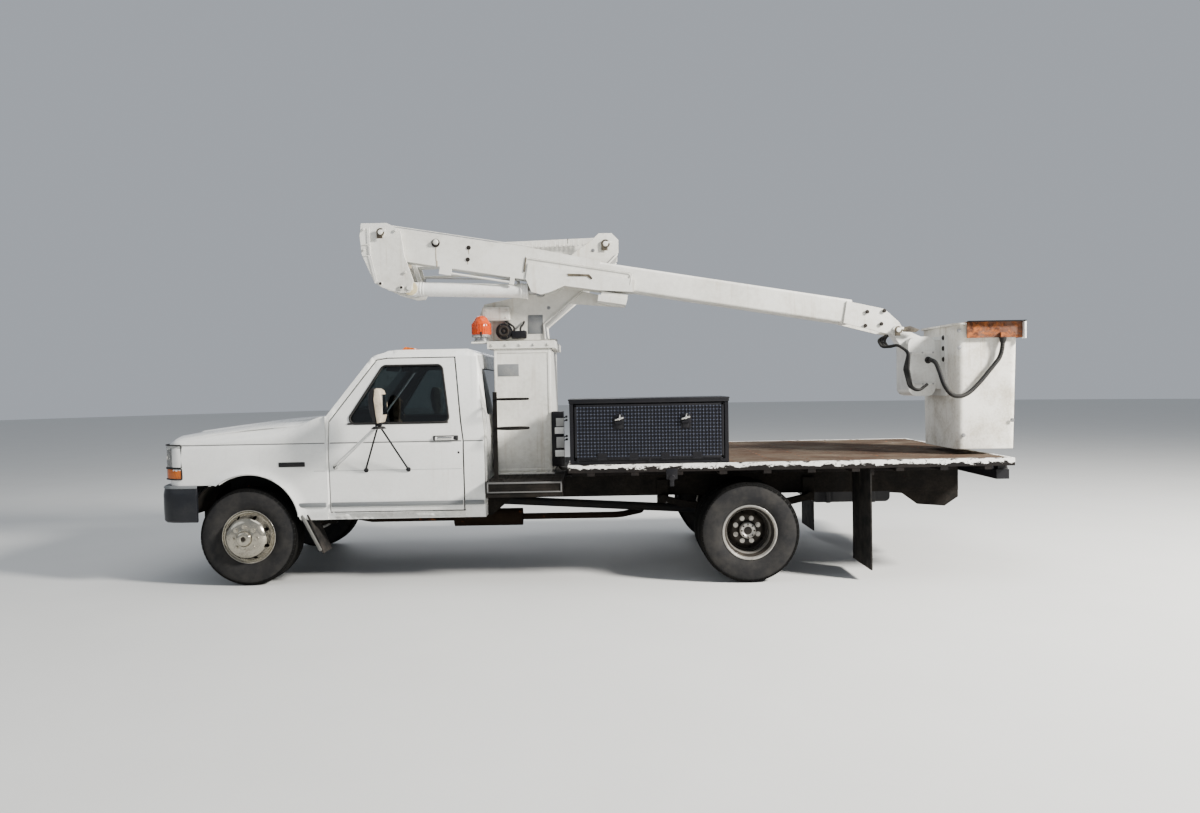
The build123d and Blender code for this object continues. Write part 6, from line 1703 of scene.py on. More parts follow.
class TRUCK_OT_bed(bpy.types.Operator):
    """Adds stake pockets, board bolts and lamps to the flat bed and the step platform"""

    bl_idname = "truck.bed"
    bl_label = "Bed"

    def execute(self, context):
        pockets = Shape()
        for side in (LEFT, RIGHT):
            pockets.box(3424, 3514, side * 1212, side * 1224, 846, 930, bevel=5)
            pockets.rod((3469, side * 1222, 858), (3469, side * 1232, 858), 26, 24, 24, bevel=3)
            pockets.box(3452, 3486, side * 1220, side * 1228, 790, 850, bevel=4)
        boards = [
            (x, y, 966.5)
            for x in range(2740, 6150, 310)
            for y in [-1190 + 148.75 * (i + 0.5) for i in range(16)]
            if not (x < 3950 and y < -690)
        ]
        heads = bolts(boards, (0, 0, 1), 8, 1.8, "rusty steel", 10)
        piece("bed_fittings", [(pockets, "black paint"), heads], "chassis")
        rims, lenses, clear = Shape(), Shape(), Shape()
        for side in (LEFT, RIGHT):
            for y, shape in ((980, lenses), (850, lenses), (720, clear)):
                rims.lathe(
                    [(56, 0), (56, 13), (51, 16), (48, 12), (48, 0)], (6204, side * y, 846),
                    (1, 0, 0), 36,
                )
                shape.lathe(
                    [(0, 2), (47, 2), (47, 11), (36, 17), (0, 20)], (6204, side * y, 846),
                    (1, 0, 0), 36,
                )
        plate = Shape().box(6206, 6211, -150, 150, 795, 905, bevel=2)
        piece(
            "rear_lamps",
            [
                (rims, "seal rubber"), (lenses, "red lens"), (clear, "clear lens"),
                (plate, "blank label"),
            ],
            "chassis",
        )
        # Grip strips and box edges of the step platform
        rows = []
        for side in (LEFT, RIGHT):
            for i in range(11):
                rows.append(((2020 + i * 54, side * 862, 841), (0, 0, 1), (0, 1, 0), (520, 10, 5)))
        edge, front = Shape(), Shape()
        for side in (LEFT, RIGHT):
            edge.box(1992, 2594, side * 1146, side * 1156, 752, 762, bevel=3)
            edge.box(1992, 2594, side * 1146, side * 1157, 824, 838, bevel=3)
            for x in (1998, 2588):
                edge.box(x - 6, x + 6, side * 1146, side * 1156, 756, 834, bevel=3)
            front.box(1992, 2594, side * 1128, side * 1149, 716, 832, bevel=2)
        piece(
            "platform_edges",
            [blocks(rows, "chassis black"), (edge, "groove dirt"), (front, "chassis black")],
            "chassis",
        )
        return {"FINISHED"}


class TRUCK_OT_toolbox(bpy.types.Operator):
    """Adds the lattice, frame and latches of the toolbox"""

    bl_idname = "truck.toolbox"
    bl_label = "Toolbox"

    def execute(self, context):
        pitch = context.scene.truck_sizes.lattice_pitch * 1000
        x0, x1, z0, z1, y = 2728, 3866, 1034, 1424, -1181
        across, up = round((x1 - x0) / pitch), round((z1 - z0) / pitch)
        rows = []
        for i in range(across + 1):
            x = x0 + (x1 - x0) * i / across
            rows.append(((x, y, (z0 + z1) / 2), (0, -1, 0), (1, 0, 0), (4.5, z1 - z0, 5)))
        for k in range(up + 1):
            z = z0 + (z1 - z0) * k / up
            rows.append((((x0 + x1) / 2, y, z), (0, -1, 0), (1, 0, 0), (x1 - x0, 4.5, 5)))
        # Knots at the crossings, in a pale finish that is painted highlight
        knots = [
            (
                (x0 + (x1 - x0) * i / across, y - 2, z0 + (z1 - z0) * k / up), (0, -1, 0),
                (1, 0, 0.35), (9, 9, 4),
            )
            for i in range(across + 1)
            for k in range(up + 1)
        ]
        border = Shape()
        for xa, xb, za, zb in (
            (2704, 3891, 1011, 1030), (2704, 3891, 1428, 1445), (2704, 2724, 1011, 1445),
            (3870, 3891, 1011, 1445),
        ):
            border.box(xa, xb, -1185, -1177, za, zb, bevel=3)
        piece(
            "toolbox_lattice",
            [blocks(rows, "lattice"), blocks(knots, "lattice knot highlight"), (border, "black paint")],
            "toolbox_door",
        )
        plates, handles = Shape(), Shape()
        for x in (3060, 3588):
            plates.rod((x, -1180, 1328), (x, -1190, 1328), 44, 42, 36, bevel=3)
            plates.box(x - 26, x + 26, -1191, -1180, 1250, 1330, bevel=8)
            handles.rod((x, -1188, 1330), (x, -1206, 1330), 11, 10, 20, bevel=2)
            handles.rod((x - 34, -1204, 1322), (x + 34, -1204, 1340), 7.5, sides=14, bevel=2)
            handles.rod((x, -1200, 1330), (x + 8, -1202, 1366), 6, 5, 14, bevel=2)
        piece(
            "toolbox_latches", [(plates, "black paint"), (handles, "chrome")], "toolbox_door",
        )
        lid = Shape().box(2655, 3940, -1190, -692, 1478, 1492, bevel=5)
        lid.box(2660, 3935, -1188, -1176, 1456, 1486, bevel=4)
        piece("toolbox_lid", (lid, "black paint"), "chassis")
        return {"FINISHED"}


class TRUCK_OT_pedestal(bpy.types.Operator):
    """Adds plate edges, a blank label, bolts and controls to the pedestal"""

    bl_idname = "truck.pedestal"
    bl_label = "Pedestal"

    def execute(self, context):
        frame_strips, base = Shape(), Shape()
        for side in (LEFT, RIGHT):
            for xa, xb, za, zb in (
                (2002, 2026, 850, 1930), (2464, 2488, 850, 1930), (2026, 2464, 1890, 1930),
                (2026, 2464, 862, 886),
            ):
                frame_strips.box(xa, xb, side * 547, side * 555, za, zb, bevel=2)
            base.box(1984, 2506, side * 540, side * 580, 838, 852, bevel=3)
        label = Shape().box(2030, 2212, -554, -551.5, 1692, 1796, bevel=1)
        flange = bolts(
            [(x, -578, 1962) for x in range(1990, 2500, 120)], (0, -1, 0), 9, 5, "boom white",
        )
        feet = bolts(
            [(x, side * 566, 852) for side in (LEFT, RIGHT) for x in range(2020, 2480, 105)],
            (0, 0, 1), 11, 9, "boom white",
        )
        piece(
            "pedestal_edges",
            [
                (frame_strips, "boom white"), (base, "boom white"), (label, "blank label"), flange,
                feet,
            ],
            "chassis",
        )
        box, pads, panels, knobs = Shape(), Shape(), Shape(), Shape()
        box.box(2487, 2592, -574, -396, 905, 1378, bevel=6)
        for z in (1017, 1214):
            pads.box(2516, 2596, -582, -572, z - 28, z + 28, bevel=4)
        for low, high in ((1064, 1158), (1250, 1322)):
            panels.box(2528, 2597, -579, -572, low, high, bevel=3)
        for i, z in enumerate((1120, 1150, 1290, 1320)):
            knobs.rod((2590, -470 - 22 * (i % 2), z), (2612, -476 - 22 * (i % 2), z + 10), 5, 5, 12)
            knobs.rod(
                (2608, -476 - 22 * (i % 2), z + 8), (2624, -478 - 22 * (i % 2), z + 14), 11, 9, 18,
                bevel=3,
            )
        hoses = pipes(
            [
                [
                    (2540, -440 + 26 * i, 910), (2540, -440 + 26 * i, 870),
                    (2620, -430 + 30 * i, 858), (2660, -380, 858),
                ]
                for i in range(3)
            ],
            9, "seal rubber", bend=40, sides=10,
        )
        piece(
            "lower_controls",
            [
                (box, "black paint"), (pads, "cylinder grey"), (panels, "crease dirt"),
                (knobs, "black plastic"), hoses,
            ],
            "chassis",
        )
        return {"FINISHED"}


class TRUCK_OT_turret(bpy.types.Operator):
    """Makes the beacon and the swing drive, and adds plate edges and bolts to the turret"""

    bl_idname = "truck.turret"
    bl_label = "Turret"

    def execute(self, context):
        lens, ribs, foot = Shape(), [], Shape()
        centre = Vector((1886, -475, 0))
        lens.lathe(
            [
                (0, 2052), (78, 2052), (82, 2066), (83, 2120), (79, 2158), (62, 2184), (50, 2206),
                (26, 2222), (0, 2226),
            ],
            centre, (0, 0, 1), 48,
        )
        for i in range(24):
            a = 2 * math.pi * i / 24
            out = Vector((math.cos(a), math.sin(a), 0))
            ribs.append(
                (centre + Vector((0, 0, 2108)) + out * 82, out, (-out.y, out.x, 0), (7, 88, 7))
            )
        foot.lathe(
            [
                (0, 1996), (70, 1996), (72, 2006), (58, 2012), (58, 2026), (80, 2034), (85, 2042),
                (85, 2056), (0, 2056),
            ],
            centre, (0, 0, 1), 48,
        )
        clip = Shape()
        for a in (0.6, 2.7, 4.8):
            x, y = centre.x + 84 * math.cos(a), centre.y + 84 * math.sin(a)
            clip.box(x - 7, x + 7, y - 7, y + 7, 2036, 2080, bevel=3)
        piece(
            "beacon_lamp",
            [
                (lens, "beacon lens"), blocks(ribs, "beacon lens"), (foot, "bare steel"),
                (clip, "dark wheel"),
            ],
            "chassis", ("beacon",),
        )
        edge = ((2432, 2018), (2421, 2152), (2762, 2437), (3090, 2765))
        strips = Shape()
        for side in (LEFT, RIGHT):
            for (xa, za), (xb, zb) in zip(edge, edge[1:]):
                length = math.hypot(xb - xa, zb - za)
                turn = Matrix.Rotation(-math.atan2(zb - za, xb - xa), 4, "Y")
                x, z = (xa + xb) / 2, (za + zb) / 2
                strips.box(
                    x - length / 2, x + length / 2, side * 272, side * 300, z - 7, z + 7, bevel=3,
                    turn=turn,
                )
        rim = [
            (x, -281, z)
            for x, z in ((1862, 2245), (1896, 2336), (2182, 2397), (2582, 2697), (2872, 2902))
        ]
        rim_pipe = pipes([rim, [(x, -y, z) for x, y, z in rim]], 4, "boom white", bend=8, sides=8)
        label = Shape().box(2278, 2412, -283.5, -281, 2070, 2238, bevel=1)
        label.box(2290, 2400, -285, -282.5, 2196, 2226, bevel=0.8)
        turns = [2 * math.pi * i / 20 for i in range(20)]
        ring = bolts(
            [(2250 + 262 * math.cos(a), 262 * math.sin(a), 2017) for a in turns], (0, 0, 1), 11, 8,
            "boom white",
        )
        sides_bolts = bolts(
            [
                (x, -281, z)
                for x, z in ((1920, 2090), (2240, 2090), (2466, 2300), (2872, 2805), (2700, 2720))
            ],
            (0, -1, 0), 11, 6, "bare steel",
        )
        piece(
            "turret_edges",
            [(strips, "boom white"), rim_pipe, (label, "blank label"), ring, sides_bolts], "turret",
        )
        gear, motor, cap = Shape(), Shape(), Shape()
        gear.box(1878, 2126, -366, -281, 2186, 2308, bevel=14, segments=3)
        gear.box(1900, 2104, -369, -362, 2204, 2290, bevel=5)
        face = (2068, -282, 2094)
        motor.lathe(
            [(0, 0), (60, 0), (72, 8), (74, 44), (60, 50), (58, 70), (70, 76), (70, 84), (0, 84)],
            face, (0, -1, 0), 40,
        )
        motor.box(2134, 2268, -356, -282, 2028, 2096, bevel=9)
        cap.lathe([(28, 82), (52, 82), (52, 90), (40, 94), (28, 90)], face, (0, -1, 0), 32)
        x, _, z = face
        cap.rod((x, -362, z), (x, -372, z), 14, 12, 20, bevel=2)
        lines = pipes(
            [
                [(2160, -330, 2092), (2160, -336, 2130), (2096, -340, 2176), (2070, -320, 2196)],
                [(2214, -330, 2092), (2214, -338, 2124), (2236, -320, 2150), (2244, -286, 2180)],
            ],
            9, "seal rubber", bend=30, sides=10,
        )
        bolt_places = ring_spots((x, -366, z), 60, 6)
        plate_bolts = [(x, -369, z) for x in (1914, 2090) for z in (2214, 2280)]
        piece(
            "swing_drive",
            [
                (gear, "boom white"), (motor, "black paint"), (cap, "dark wheel"), lines,
                bolts(bolt_places, (0, -1, 0), 6, 4, "dark wheel"),
                bolts(plate_bolts, (0, -1, 0), 7, 4, "boom white"),
            ],
            "turret", ("swing_motor",),
        )
        return {"FINISHED"}


def pin_cap(greasy, knob, x, y, z, side, radius):
    """A pin's greasy end with a small keeper bolt beside it."""
    greasy.rod((x, y, z), (x, y + side * 4, z), radius, radius * 0.96, 36, bevel=1)
    greasy.box(
        x - radius * 0.9, x + radius * 0.5, y - side, y + side * 3, z - radius * 1.5, z, bevel=6,
    )
    knob.rod((x, y, z), (x, y + side * 9, z), radius * 0.62, radius * 0.56, 28, bevel=2)
    knob.box(x + radius * 0.3, x + radius * 1.35, y, y + side * 7, z + 2, z + 24, bevel=4)


def lower_line(x):
    """Height of the lower boom's middle line at x."""
    return 2855 - (2980 - x) * 55 / 1880


class TRUCK_OT_booms(bpy.types.Operator):
    """Adds pins, bolts, weld beads and end rings to the booms and cylinders"""

    bl_idname = "truck.booms"
    bl_label = "Booms"

    def execute(self, context):
        radius = context.scene.truck_sizes.bolt_radius * 1000
        self.lower()
        self.elbow(radius)
        self.upper(radius)
        self.cylinders()
        return {"FINISHED"}

    def lower(self):
        caps, greasy, welds = Shape(), Shape(), []
        for side in (LEFT, RIGHT):
            pin_cap(greasy, caps, 2984, side * 296, 2860, side, 40)
            for x in (1190, 2890):
                z = lower_line(x)
                welds.append([(x, side * 152, z - 78), (x, side * 153, z), (x, side * 152, z + 78)])
        ribs = []
        for i in range(30):
            x = 1560 + i * 42
            ribs.append(((x, -151, lower_line(x) + 48), (0, -1, 0), (1, 0, 0), (14, 52, 9)))
        joint = Shape().box(2640, 2648, -154, -148, 2890, 2934, bevel=1)
        piece(
            "lower_boom_fittings",
            [
                (caps, "boom white"), (greasy, "grease"), (joint, "grease"),
                pipes(welds, 5, "boom white", bend=3, sides=8), blocks(ribs, "boom white"),
            ],
            "lower_boom",
        )

    def elbow(self, radius):
        near, far = -581, 175
        rings, dark = Shape(), Shape()
        rings.rod((1100, far, 2800), (1100, far + 8, 2800), 46, 43, 36, bevel=2)
        for x, z in ((1041, 2508), (1220, 2471)):
            rings.rod((x, near + 1, z), (x, near - 5, z), 22, 20, 28, bevel=1.5)
            dark.rod((x, near - 4, z), (x, near - 7, z), 12, 12, 20)
        welds = pipes(
            [
                [(952, near - 1, 2990), (958, near - 1, 2760), (1010, near - 1, 2530)],
                [
                    (905, near + 2, 2750), (958, near + 2, 2750), (958, near + 2, 2845),
                    (895, near + 2, 2845),
                ],
            ],
            3.5, "boom white", bend=20, sides=8,
        )
        heads = bolts(
            [(x, near - 1, z) for x, z in ((905, 2975), (1180, 2960), (905, 2800), (1255, 2600))],
            (0, -1, 0), radius * 0.8, 5, "boom white",
        )
        piece(
            "elbow_fittings", [(rings, "boom white"), (dark, "dark wheel"), welds, heads], "elbow",
        )

    def upper(self, radius):
        y = -541
        pins, dark, greasy = Shape(), Shape(), Shape()
        pin_cap(greasy, pins, 1053, -596, 2945, LEFT, 36)
        # Knob on the boom's side with a dark ring under it
        pins.lathe(
            [(0, 4), (14, 4), (23, 14), (24, 22), (16, 30), (0, 32)], (1518, y, 2858), (0, -1, 0),
            28,
        )
        dark.rod((1515, y, 2852), (1515, y - 7, 2852), 37, 36, 32, bevel=2)
        heads = bolts([(1800, y, 2808), (1790, y, 2706)], (0, -1, 0), 13, 8, "dark wheel")
        stains = Shape()
        for x, top, bottom, wide in (
            (1516, 2818, 2700, 4), (1522, 2700, 2650, 7), (1800, 2790, 2752, 3),
            (1790, 2690, 2664, 3), (1290, 2668, 2640, 14),
        ):
            stains.box(x - wide, x + wide, y - 0.7, y + 0.4, bottom, top, bevel=0.3)
        welds = pipes(
            [
                [boom_point(1262, h, y) for h in (-150, -10)],
                [boom_point(s, 79, y) for s in (20, 1300)],
                [boom_point(s, -18, -552) for s in (1300, 2180)],
                [boom_point(2186, h, -552) for h in (-24, -120)],
            ],
            4, "boom white", bend=4, sides=8,
        )
        seam = pipes(
            [[boom_point(1262, -145, -544), boom_point(1262, -20, -544)]], 6, "grease", bend=2,
            sides=8,
        )
        # Lifting slot in the doubler, as a flat dark plate of painted shade where the recess is
        slot = Shape()
        outline = (
            (1636, -106), (1822, -84), (1856, -112), (1850, -124), (1834, -118), (1808, -104),
            (1646, -126),
        )
        slot.prism([boom_point(s, h, 0)[::2] for s, h in outline], -557, -551)
        tip_bolts = bolts(
            [(x, -567, z) for x, z in ((5231, 2192), (5378, 2198), (5214, 2072), (5352, 2085))],
            (0, -1, 0), radius, 6, "dark wheel",
        )
        pin_cap(greasy, pins, 5490, -592, 2030, LEFT, 34)
        piece(
            "upper_boom_fittings",
            [
                (pins, "boom white"), (dark, "dark wheel"), heads, (greasy, "grease"),
                (stains, "rust stain"), welds, seam, (slot, "grease"), tip_bolts,
            ],
            "upper_boom",
        )

    def cylinders(self):
        foot = Shape()
        for y, side in ((-516, LEFT), (-384, RIGHT)):
            foot.rod((1285, y, 2469), (1285, y + side * 8, 2469), 62, 58, 44, bevel=3)
        gland, way = Shape(), Vector((1115, 0, -39)).normalized()
        start = Vector((1285, -450, 2469))
        for at, r in ((72, 65), (96, 64)):
            gland.rod(start + way * at, start + way * (at + 12), r, r, 44, bevel=3)
        for at, r in ((950, 70), (1000, 72)):
            gland.rod(start + way * at, start + way * (at + 18), r, r, 44, bevel=4)
        ports = Shape()
        for at in (110, 930):
            base = start + way * at
            ports.rod(base + Vector((0, 0, 56)), base + Vector((0, 0, 86)), 15, 13, 20, bevel=2)
        pipe = pipes(
            [
                [
                    start + way * 110 + Vector((0, 0, 82)), start + way * 130 + Vector((0, 0, 98)),
                    start + way * 900 + Vector((0, 0, 98)), start + way * 930 + Vector((0, 0, 82)),
                ]
            ],
            6, "bare steel", bend=14, sides=10,
        )
        piece(
            "upper_cylinder_ends",
            [(foot, "cream ring"), (gland, "cylinder grey"), (ports, "bare steel"), pipe],
            "upper_cylinder",
        )
        way = Vector((480, 0, 560)).normalized()
        start = Vector((2050, 0, 2100))
        rings = Shape()
        for at, r in ((60, 49), (560, 53), (600, 54)):
            rings.rod(start + way * at, start + way * (at + 14), r, r, 36, bevel=3)
        piece("lower_cylinder_ends", (rings, "cylinder grey"), "lower_cylinder")


class TRUCK_OT_bucket(bpy.types.Operator):
    """Adds bolts, tray edges and hoses to the bucket and its bracket"""

    bl_idname = "truck.bucket"
    bl_label = "Bucket"

    def execute(self, context):
        front = bolts(
            [(5855, y, z) for y in (-640, -260) for z in (1952, 1861, 1769)], (-1, 0, 0), 15, 9,
            "dark wheel",
        )
        near = bolts(
            [(5896, -871, 1998), (5896, -871, 1857), (6332, -871, 1250), (5930, -862, 1130)],
            (0, -1, 0), 12, 6, "bare steel",
        )
        piece("bucket_bolts", [front, near], "bucket")
        top = Shape().box(5946, 6424, -940, -905, 2066, 2075, bevel=2)
        top.box(6400, 6424, -940, -478, 2066, 2075, bevel=2)
        flap = Shape().box(6408, 6424, -936, -880, 1925, 2070, bevel=3)
        piece(
            "tray_edges", [(top, "black paint"), (flap, "cylinder grey")], "bucket",
        )
        clamps = Shape()
        for z in (1560, 1830):
            clamps.box(5560, 5806, -606, -598, z - 16, z + 16, bevel=3)
        heads = bolts(
            [(x, -603, z) for x in (5590, 5690, 5780) for z in (1560, 1830)], (0, -1, 0), 9, 6,
            "bare steel",
        )
        hoses = pipes(
            [
                [
                    (5440, -430 - 22 * i, 1990), (5350 + 24 * i, -470, 1950),
                    (5360 + 26 * i, -560, 1880), (5470, -640 + 12 * i, 1900),
                    (5540, -690 - 10 * i, 1830), (5500 + 14 * i, -700 - 8 * i, 1690),
                    (5540 + 10 * i, -696, 1540), (5620, -690 - 6 * i, 1500), (5700, -688, 1560),
                ]
                for i in range(3)
            ],
            12, "seal rubber", bend=60, sides=10,
        )
        # A flat dark plate is painted shade in a gap of the bracket
        dark = Shape().prism(
            ((5524, 2050), (5600, 2064), (5684, 2030), (5650, 2008), (5540, 2014)), -568, -560,
            bevel=2,
        )
        piece(
            "bracket_fittings", [(clamps, "white gel"), heads, hoses, (dark, "grease")], "bucket",
        )
        return {"FINISHED"}


def cushion(half_sizes, crown, turn, centre):
    """A crowned seat cushion with sewn channels and sides that pull in."""
    bm = bmesh.new()
    bmesh.ops.create_cube(bm, size=2)
    bmesh.ops.subdivide_edges(bm, edges=bm.edges, cuts=30, use_grid_fill=True)
    sx, sy, sz = half_sizes
    for vert in bm.verts:
        u, v, w = vert.co
        edge = (abs(u) ** 8 + abs(v) ** 12) ** 0.5
        pull = 1 - 0.045 * (1 - abs(w) ** 2)
        lift = crown * (1 - u * u) ** 0.5 * (1 - v ** 6) ** 0.5 if w > 0.99 else 0
        seam = 0
        if w > 0.99:
            for line in (-480, -240, 0, 240, 480):
                seam += 11 * math.exp(-(((v * sy - line) / 11) ** 2))
            seam += 7 * math.exp(-(((u * sx) / 10) ** 2))
        corner = 0.9 + 0.1 * (1 - min(1, edge))
        x = u * sx * (corner if abs(w) > 0.9 else 1)
        y = v * sy * (1 - 0.02 * (abs(w) > 0.9))
        z = w * sz + lift - seam - (12 if w > 0.99 and edge > 0.98 else 0)
        vert.co = Vector((x * pull if abs(w) < 0.9 else x, y, z))
    bmesh.ops.transform(bm, matrix=Matrix.Translation(centre) @ turn, verts=bm.verts)
    bmesh.ops.transform(bm, matrix=PLACE, verts=bm.verts)
    mesh = bpy.data.meshes.new("cushion")
    bm.to_mesh(mesh)
    bm.free()
    soften(mesh, 60)
    return mesh


class TRUCK_OT_interior(bpy.types.Operator):
    """Makes the bench seat, the dashboard's details and the cabin's trim"""

    bl_idname = "truck.interior"
    bl_label = "Cabin"

    def execute(self, context):
        base_turn = Matrix.Rotation(math.radians(-3), 4, "Y")
        back_turn = Matrix.Rotation(math.radians(72), 4, "Y")
        seat = cushion((215, 712, 62), 22, base_turn, Vector((1420, 0, 934)))
        back = cushion(
            (235, 712, 52), 18, back_turn @ Matrix.Rotation(math.pi, 4, "Z"),
            Vector((1718, 0, 1215)),
        )
        frame_box = Shape().box(1240, 1690, -712, -235, 722, 872, bevel=8)
        frame_box.box(1240, 1690, 235, 712, 722, 872, bevel=8)
        piece("seat_frame", (frame_box, "black plastic"), "chassis")
        first = piece(
            "seat_cushion", (seat, "seat cloth"), "chassis", ("bench_seat",),
        )
        second = piece("seat_back", (back, "seat cloth"), "chassis")
        dash, dials, vents = Shape(), Shape(), []
        dash.box(1050, 1098, -600, -240, 1192, 1296, bevel=14)
        dash.box(1060, 1092, -80, 160, 1040, 1180, bevel=8)
        dash.box(1064, 1092, 330, 800, 1060, 1170, bevel=10)
        for y in (-520, -420, -320):
            dials.rod((1098, y, 1244), (1102, y, 1246), 38, 36, 30, bevel=1)
        for y in (-760, -180, 220, 760):
            for k in range(5):
                vents.append(((1092, y, 1210 + k * 12), (1, 0, 0), (0, 1, 0), (84, 4, 14)))
        piece(
            "dashboard_details",
            [(dash, "black plastic"), (dials, "seal rubber"), blocks(vents, "black plastic")],
            "chassis",
        )
        lever, visors, mirror = Shape(), Shape(), Shape()
        lever.rod((1165, 30, 900), (1215, 10, 1110), 8, 7, 14, bevel=1)
        lever.rod((1213, 11, 1106), (1221, 8, 1146), 22, 18, 24, bevel=8)
        for side in (LEFT, RIGHT):
            visors.box(
                1120, 1128, side * 180, side * 640, 1740, 1880, bevel=3,
                turn=Matrix.Rotation(math.radians(38), 4, "Y"),
            )
        mirror.box(1096, 1112, -110, 110, 1756, 1816, bevel=7)
        mirror.rod((1104, 0, 1812), (1096, 0, 1880), 6, 6, 12)
        belts = blocks(
            [
                ((1778, side * 770, 1480), (0.2, side * 1.0, 0), (0.1, 0, 1), (620, 46, 3))
                for side in (LEFT, RIGHT)
            ],
            "seal rubber",
        )
        piece(
            "cabin_trim",
            [(lever, "black plastic"), (visors, "cabin plastic"), (mirror, "black plastic"), belts],
            "chassis",
        )
        return {"FINISHED"}


class TRUCK_OT_running_gear(bpy.types.Operator):
    """Adds spring clamps, dampers, brake pipes and tank straps under the truck"""

    bl_idname = "truck.running_gear"
    bl_label = "Running gear"

    def execute(self, context):
        bands = Shape()
        for side in (LEFT, RIGHT):
            for x in (WHEELBASE - 62, WHEELBASE + 62):
                bands.rod((x, side * 468, 470), (x, side * 468, 578), 9, 9, 14)
                bands.rod((x, side * 532, 470), (x, side * 532, 578), 9, 9, 14)
                bands.box(x - 12, x + 12, side * 462, side * 538, 566, 584, bevel=3)
        dampers, rods = Shape(), Shape()
        for side in (LEFT, RIGHT):
            for x, top in ((-150, 640), (WHEELBASE + 190, 700)):
                foot = Vector((x - 40, side * 470, 330))
                head = Vector((x, side * 452, top))
                way = (head - foot).normalized()
                dampers.rod(foot + way * 20, foot + way * 200, 30, 30, 28, bevel=4)
                rods.rod(foot + way * 180, head, 34 if x < 0 else 35, 34, 28, bevel=4)
                rods.rod(
                    foot - Vector((0, side * 20, 0)), foot + Vector((0, side * 20, 0)), 18, 18, 20,
                    bevel=3,
                )
        pipes_made = pipes(
            [
                [
                    (-300, 330, 640), (400, 330, 600), (2000, 330, 640), (3900, 330, 640),
                    (4060, 250, 560), (4089, 120, 500),
                ],
                [(1200, -350, 640), (3900, -350, 640), (4080, -300, 560), (4089, -150, 500)],
            ],
            6, "bare steel", bend=60, sides=8,
        )
        straps = Shape()
        for x in (4930, 5330):
            straps.box(x - 18, x + 18, -368, 368, 514, 520, bevel=1)
            for side in (LEFT, RIGHT):
                straps.box(x - 18, x + 18, side * 362, side * 368, 516, 774, bevel=1)
        piece(
            "running_gear",
            [
                (dampers, "cylinder grey"), (rods, "black paint"), (bands, "rusty steel"),
                pipes_made, (straps, "black paint"),
            ],
            "chassis",
        )
        return {"FINISHED"}


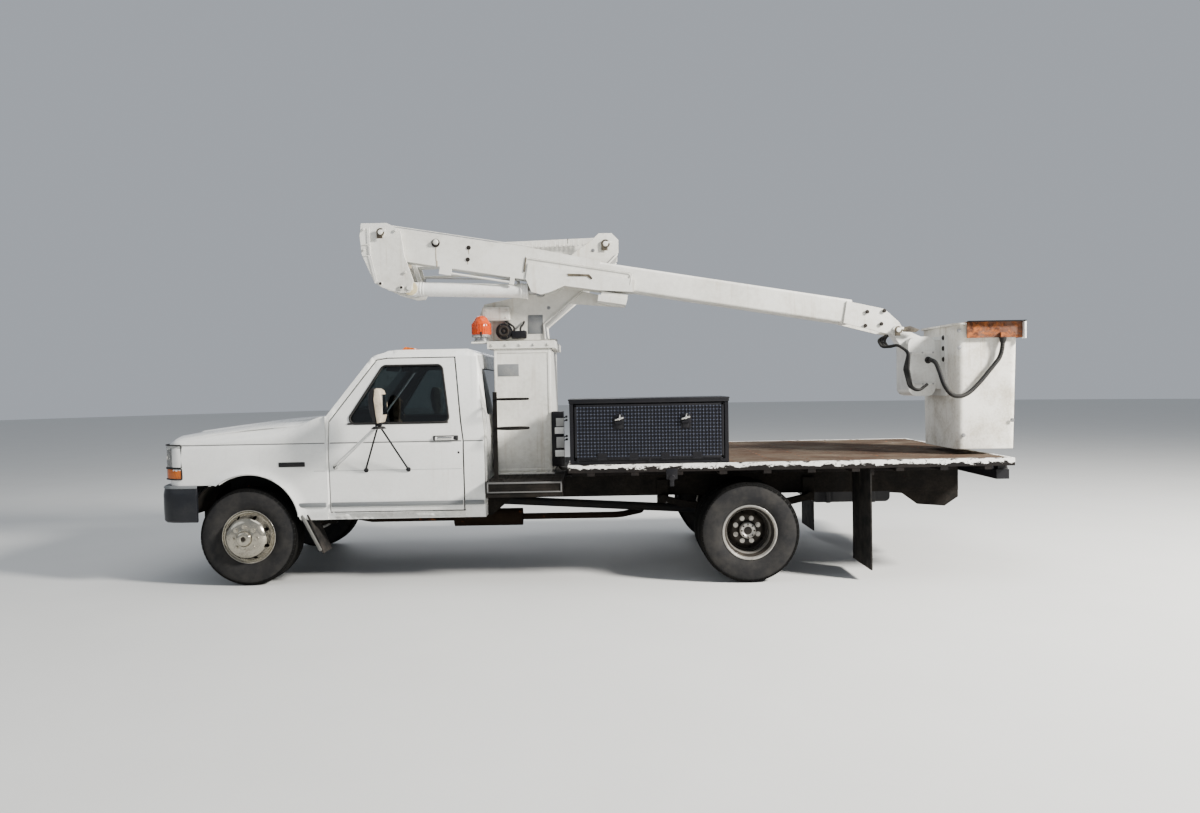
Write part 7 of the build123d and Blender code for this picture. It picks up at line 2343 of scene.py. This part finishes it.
class TRUCK_OT_stage(bpy.types.Operator):
    """Sets the floor, lights and camera"""

    bl_idname = "truck.stage"
    bl_label = "Stage"

    def execute(self, context):
        scene = context.scene
        floor = bpy.data.meshes.new("floor")
        bm = bmesh.new()
        bmesh.ops.create_circle(bm, cap_ends=True, segments=96, radius=60)
        bm.to_mesh(floor)
        bm.free()
        ground = bpy.data.objects.new("floor", floor)
        scene.collection.objects.link(ground)
        floor.materials.append(self.floor_finish())
        world = bpy.data.worlds.new("studio")
        world.use_nodes = True
        world.node_tree.nodes["Background"].inputs[0].default_value = (0.8, 0.86, 0.95, 1)
        world.node_tree.nodes["Background"].inputs[1].default_value = 0.5
        scene.world = world
        for name, place, aim, size, power, colour in (
            ("key", (10.5, -6.0, 7.6), (0.3, -0.4, 1.3), 2.2, 5600, (1.0, 0.97, 0.92)),
            ("front fill", (-9.0, -7.0, 4.5), (-1.5, 0, 1.2), 6.0, 90, (0.9, 0.95, 1.0)),
            ("far side", (-2.0, 9.0, 6.0), (0, 0, 1.5), 6.0, 220, (0.95, 0.97, 1.0)),
            ("overhead", (0.5, -1.0, 9.0), (0.5, 0, 1.5), 7.0, 260, (1.0, 1.0, 1.0)),
        ):
            light = bpy.data.lights.new(name, "AREA")
            light.shape = "DISK"
            light.size, light.energy, light.color = size, power, colour
            lamp = bpy.data.objects.new(name, light)
            scene.collection.objects.link(lamp)
            lamp.location = place
            lamp.rotation_euler = (Vector(aim) - Vector(place)).to_track_quat("-Z", "Y").to_euler()
        camera = bpy.data.objects.new("camera", bpy.data.cameras.new("camera"))
        scene.collection.objects.link(camera)
        camera.data.sensor_width = 36
        # A focal length of 865 pixels in a picture 1200 pixels wide
        camera.data.lens = camera.data.sensor_width * 865 / 1200
        camera.data.clip_end = 200
        eye = PLACE @ Vector((2910, -8050, 1610))
        turn = Matrix.Rotation(
            math.radians(88.51), 4, "X",
        ) @ Matrix.Rotation(math.radians(-1.03), 4, "Z")
        camera.matrix_world = Matrix.Translation(eye) @ turn
        scene.camera = camera
        return {"FINISHED"}

    def floor_finish(self):
        made = bpy.data.materials.new("floor")
        made.use_nodes = True
        graph = Graph(made.node_tree)
        shader = made.node_tree.nodes["Principled BSDF"]
        cloud = graph.noise(graph.place(), 1.3, 5.0, 0.6)
        graph.put(
            shader.inputs["Base Color"],
            graph.mix(cloud, rgb((0.6, 0.6, 0.58)), rgb((0.66, 0.66, 0.64))),
        )
        shader.inputs["Roughness"].default_value = 0.7
        return made


class TRUCK_PT_panel(bpy.types.Panel):
    """Lists the truck's steps and settings"""

    bl_idname = "TRUCK_PT_panel"
    bl_label = "Cherry picker truck"
    bl_space_type = "VIEW_3D"
    bl_region_type = "UI"
    bl_category = "Truck"

    def draw(self, context):
        for settings in (context.scene.truck_colours, context.scene.truck_sizes):
            for name in settings.__annotations__:
                self.layout.prop(settings, name)
        for step in STEPS:
            self.layout.operator(step.bl_idname)


STEPS = (
    TRUCK_OT_finish_nodes, TRUCK_OT_hose, TRUCK_OT_body_panels, TRUCK_OT_wheels, TRUCK_OT_cab_trim,
    TRUCK_OT_front_end, TRUCK_OT_bed, TRUCK_OT_toolbox, TRUCK_OT_pedestal, TRUCK_OT_turret,
    TRUCK_OT_booms, TRUCK_OT_bucket, TRUCK_OT_interior, TRUCK_OT_running_gear, TRUCK_OT_stage,
)
CLASSES = (TruckColours, TruckSizes, *STEPS, TRUCK_PT_panel)


def register():
    for cls in CLASSES:
        bpy.utils.register_class(cls)
    bpy.types.Scene.truck_colours = PointerProperty(type=TruckColours)
    bpy.types.Scene.truck_sizes = PointerProperty(type=TruckSizes)


def unregister():
    del bpy.types.Scene.truck_sizes
    del bpy.types.Scene.truck_colours
    for cls in reversed(CLASSES):
        bpy.utils.unregister_class(cls)


def main():
    register()
    for step in STEPS:
        area, word = step.bl_idname.split(".")
        getattr(getattr(bpy.ops, area), word)()


if __name__ == "__main__":
    main()
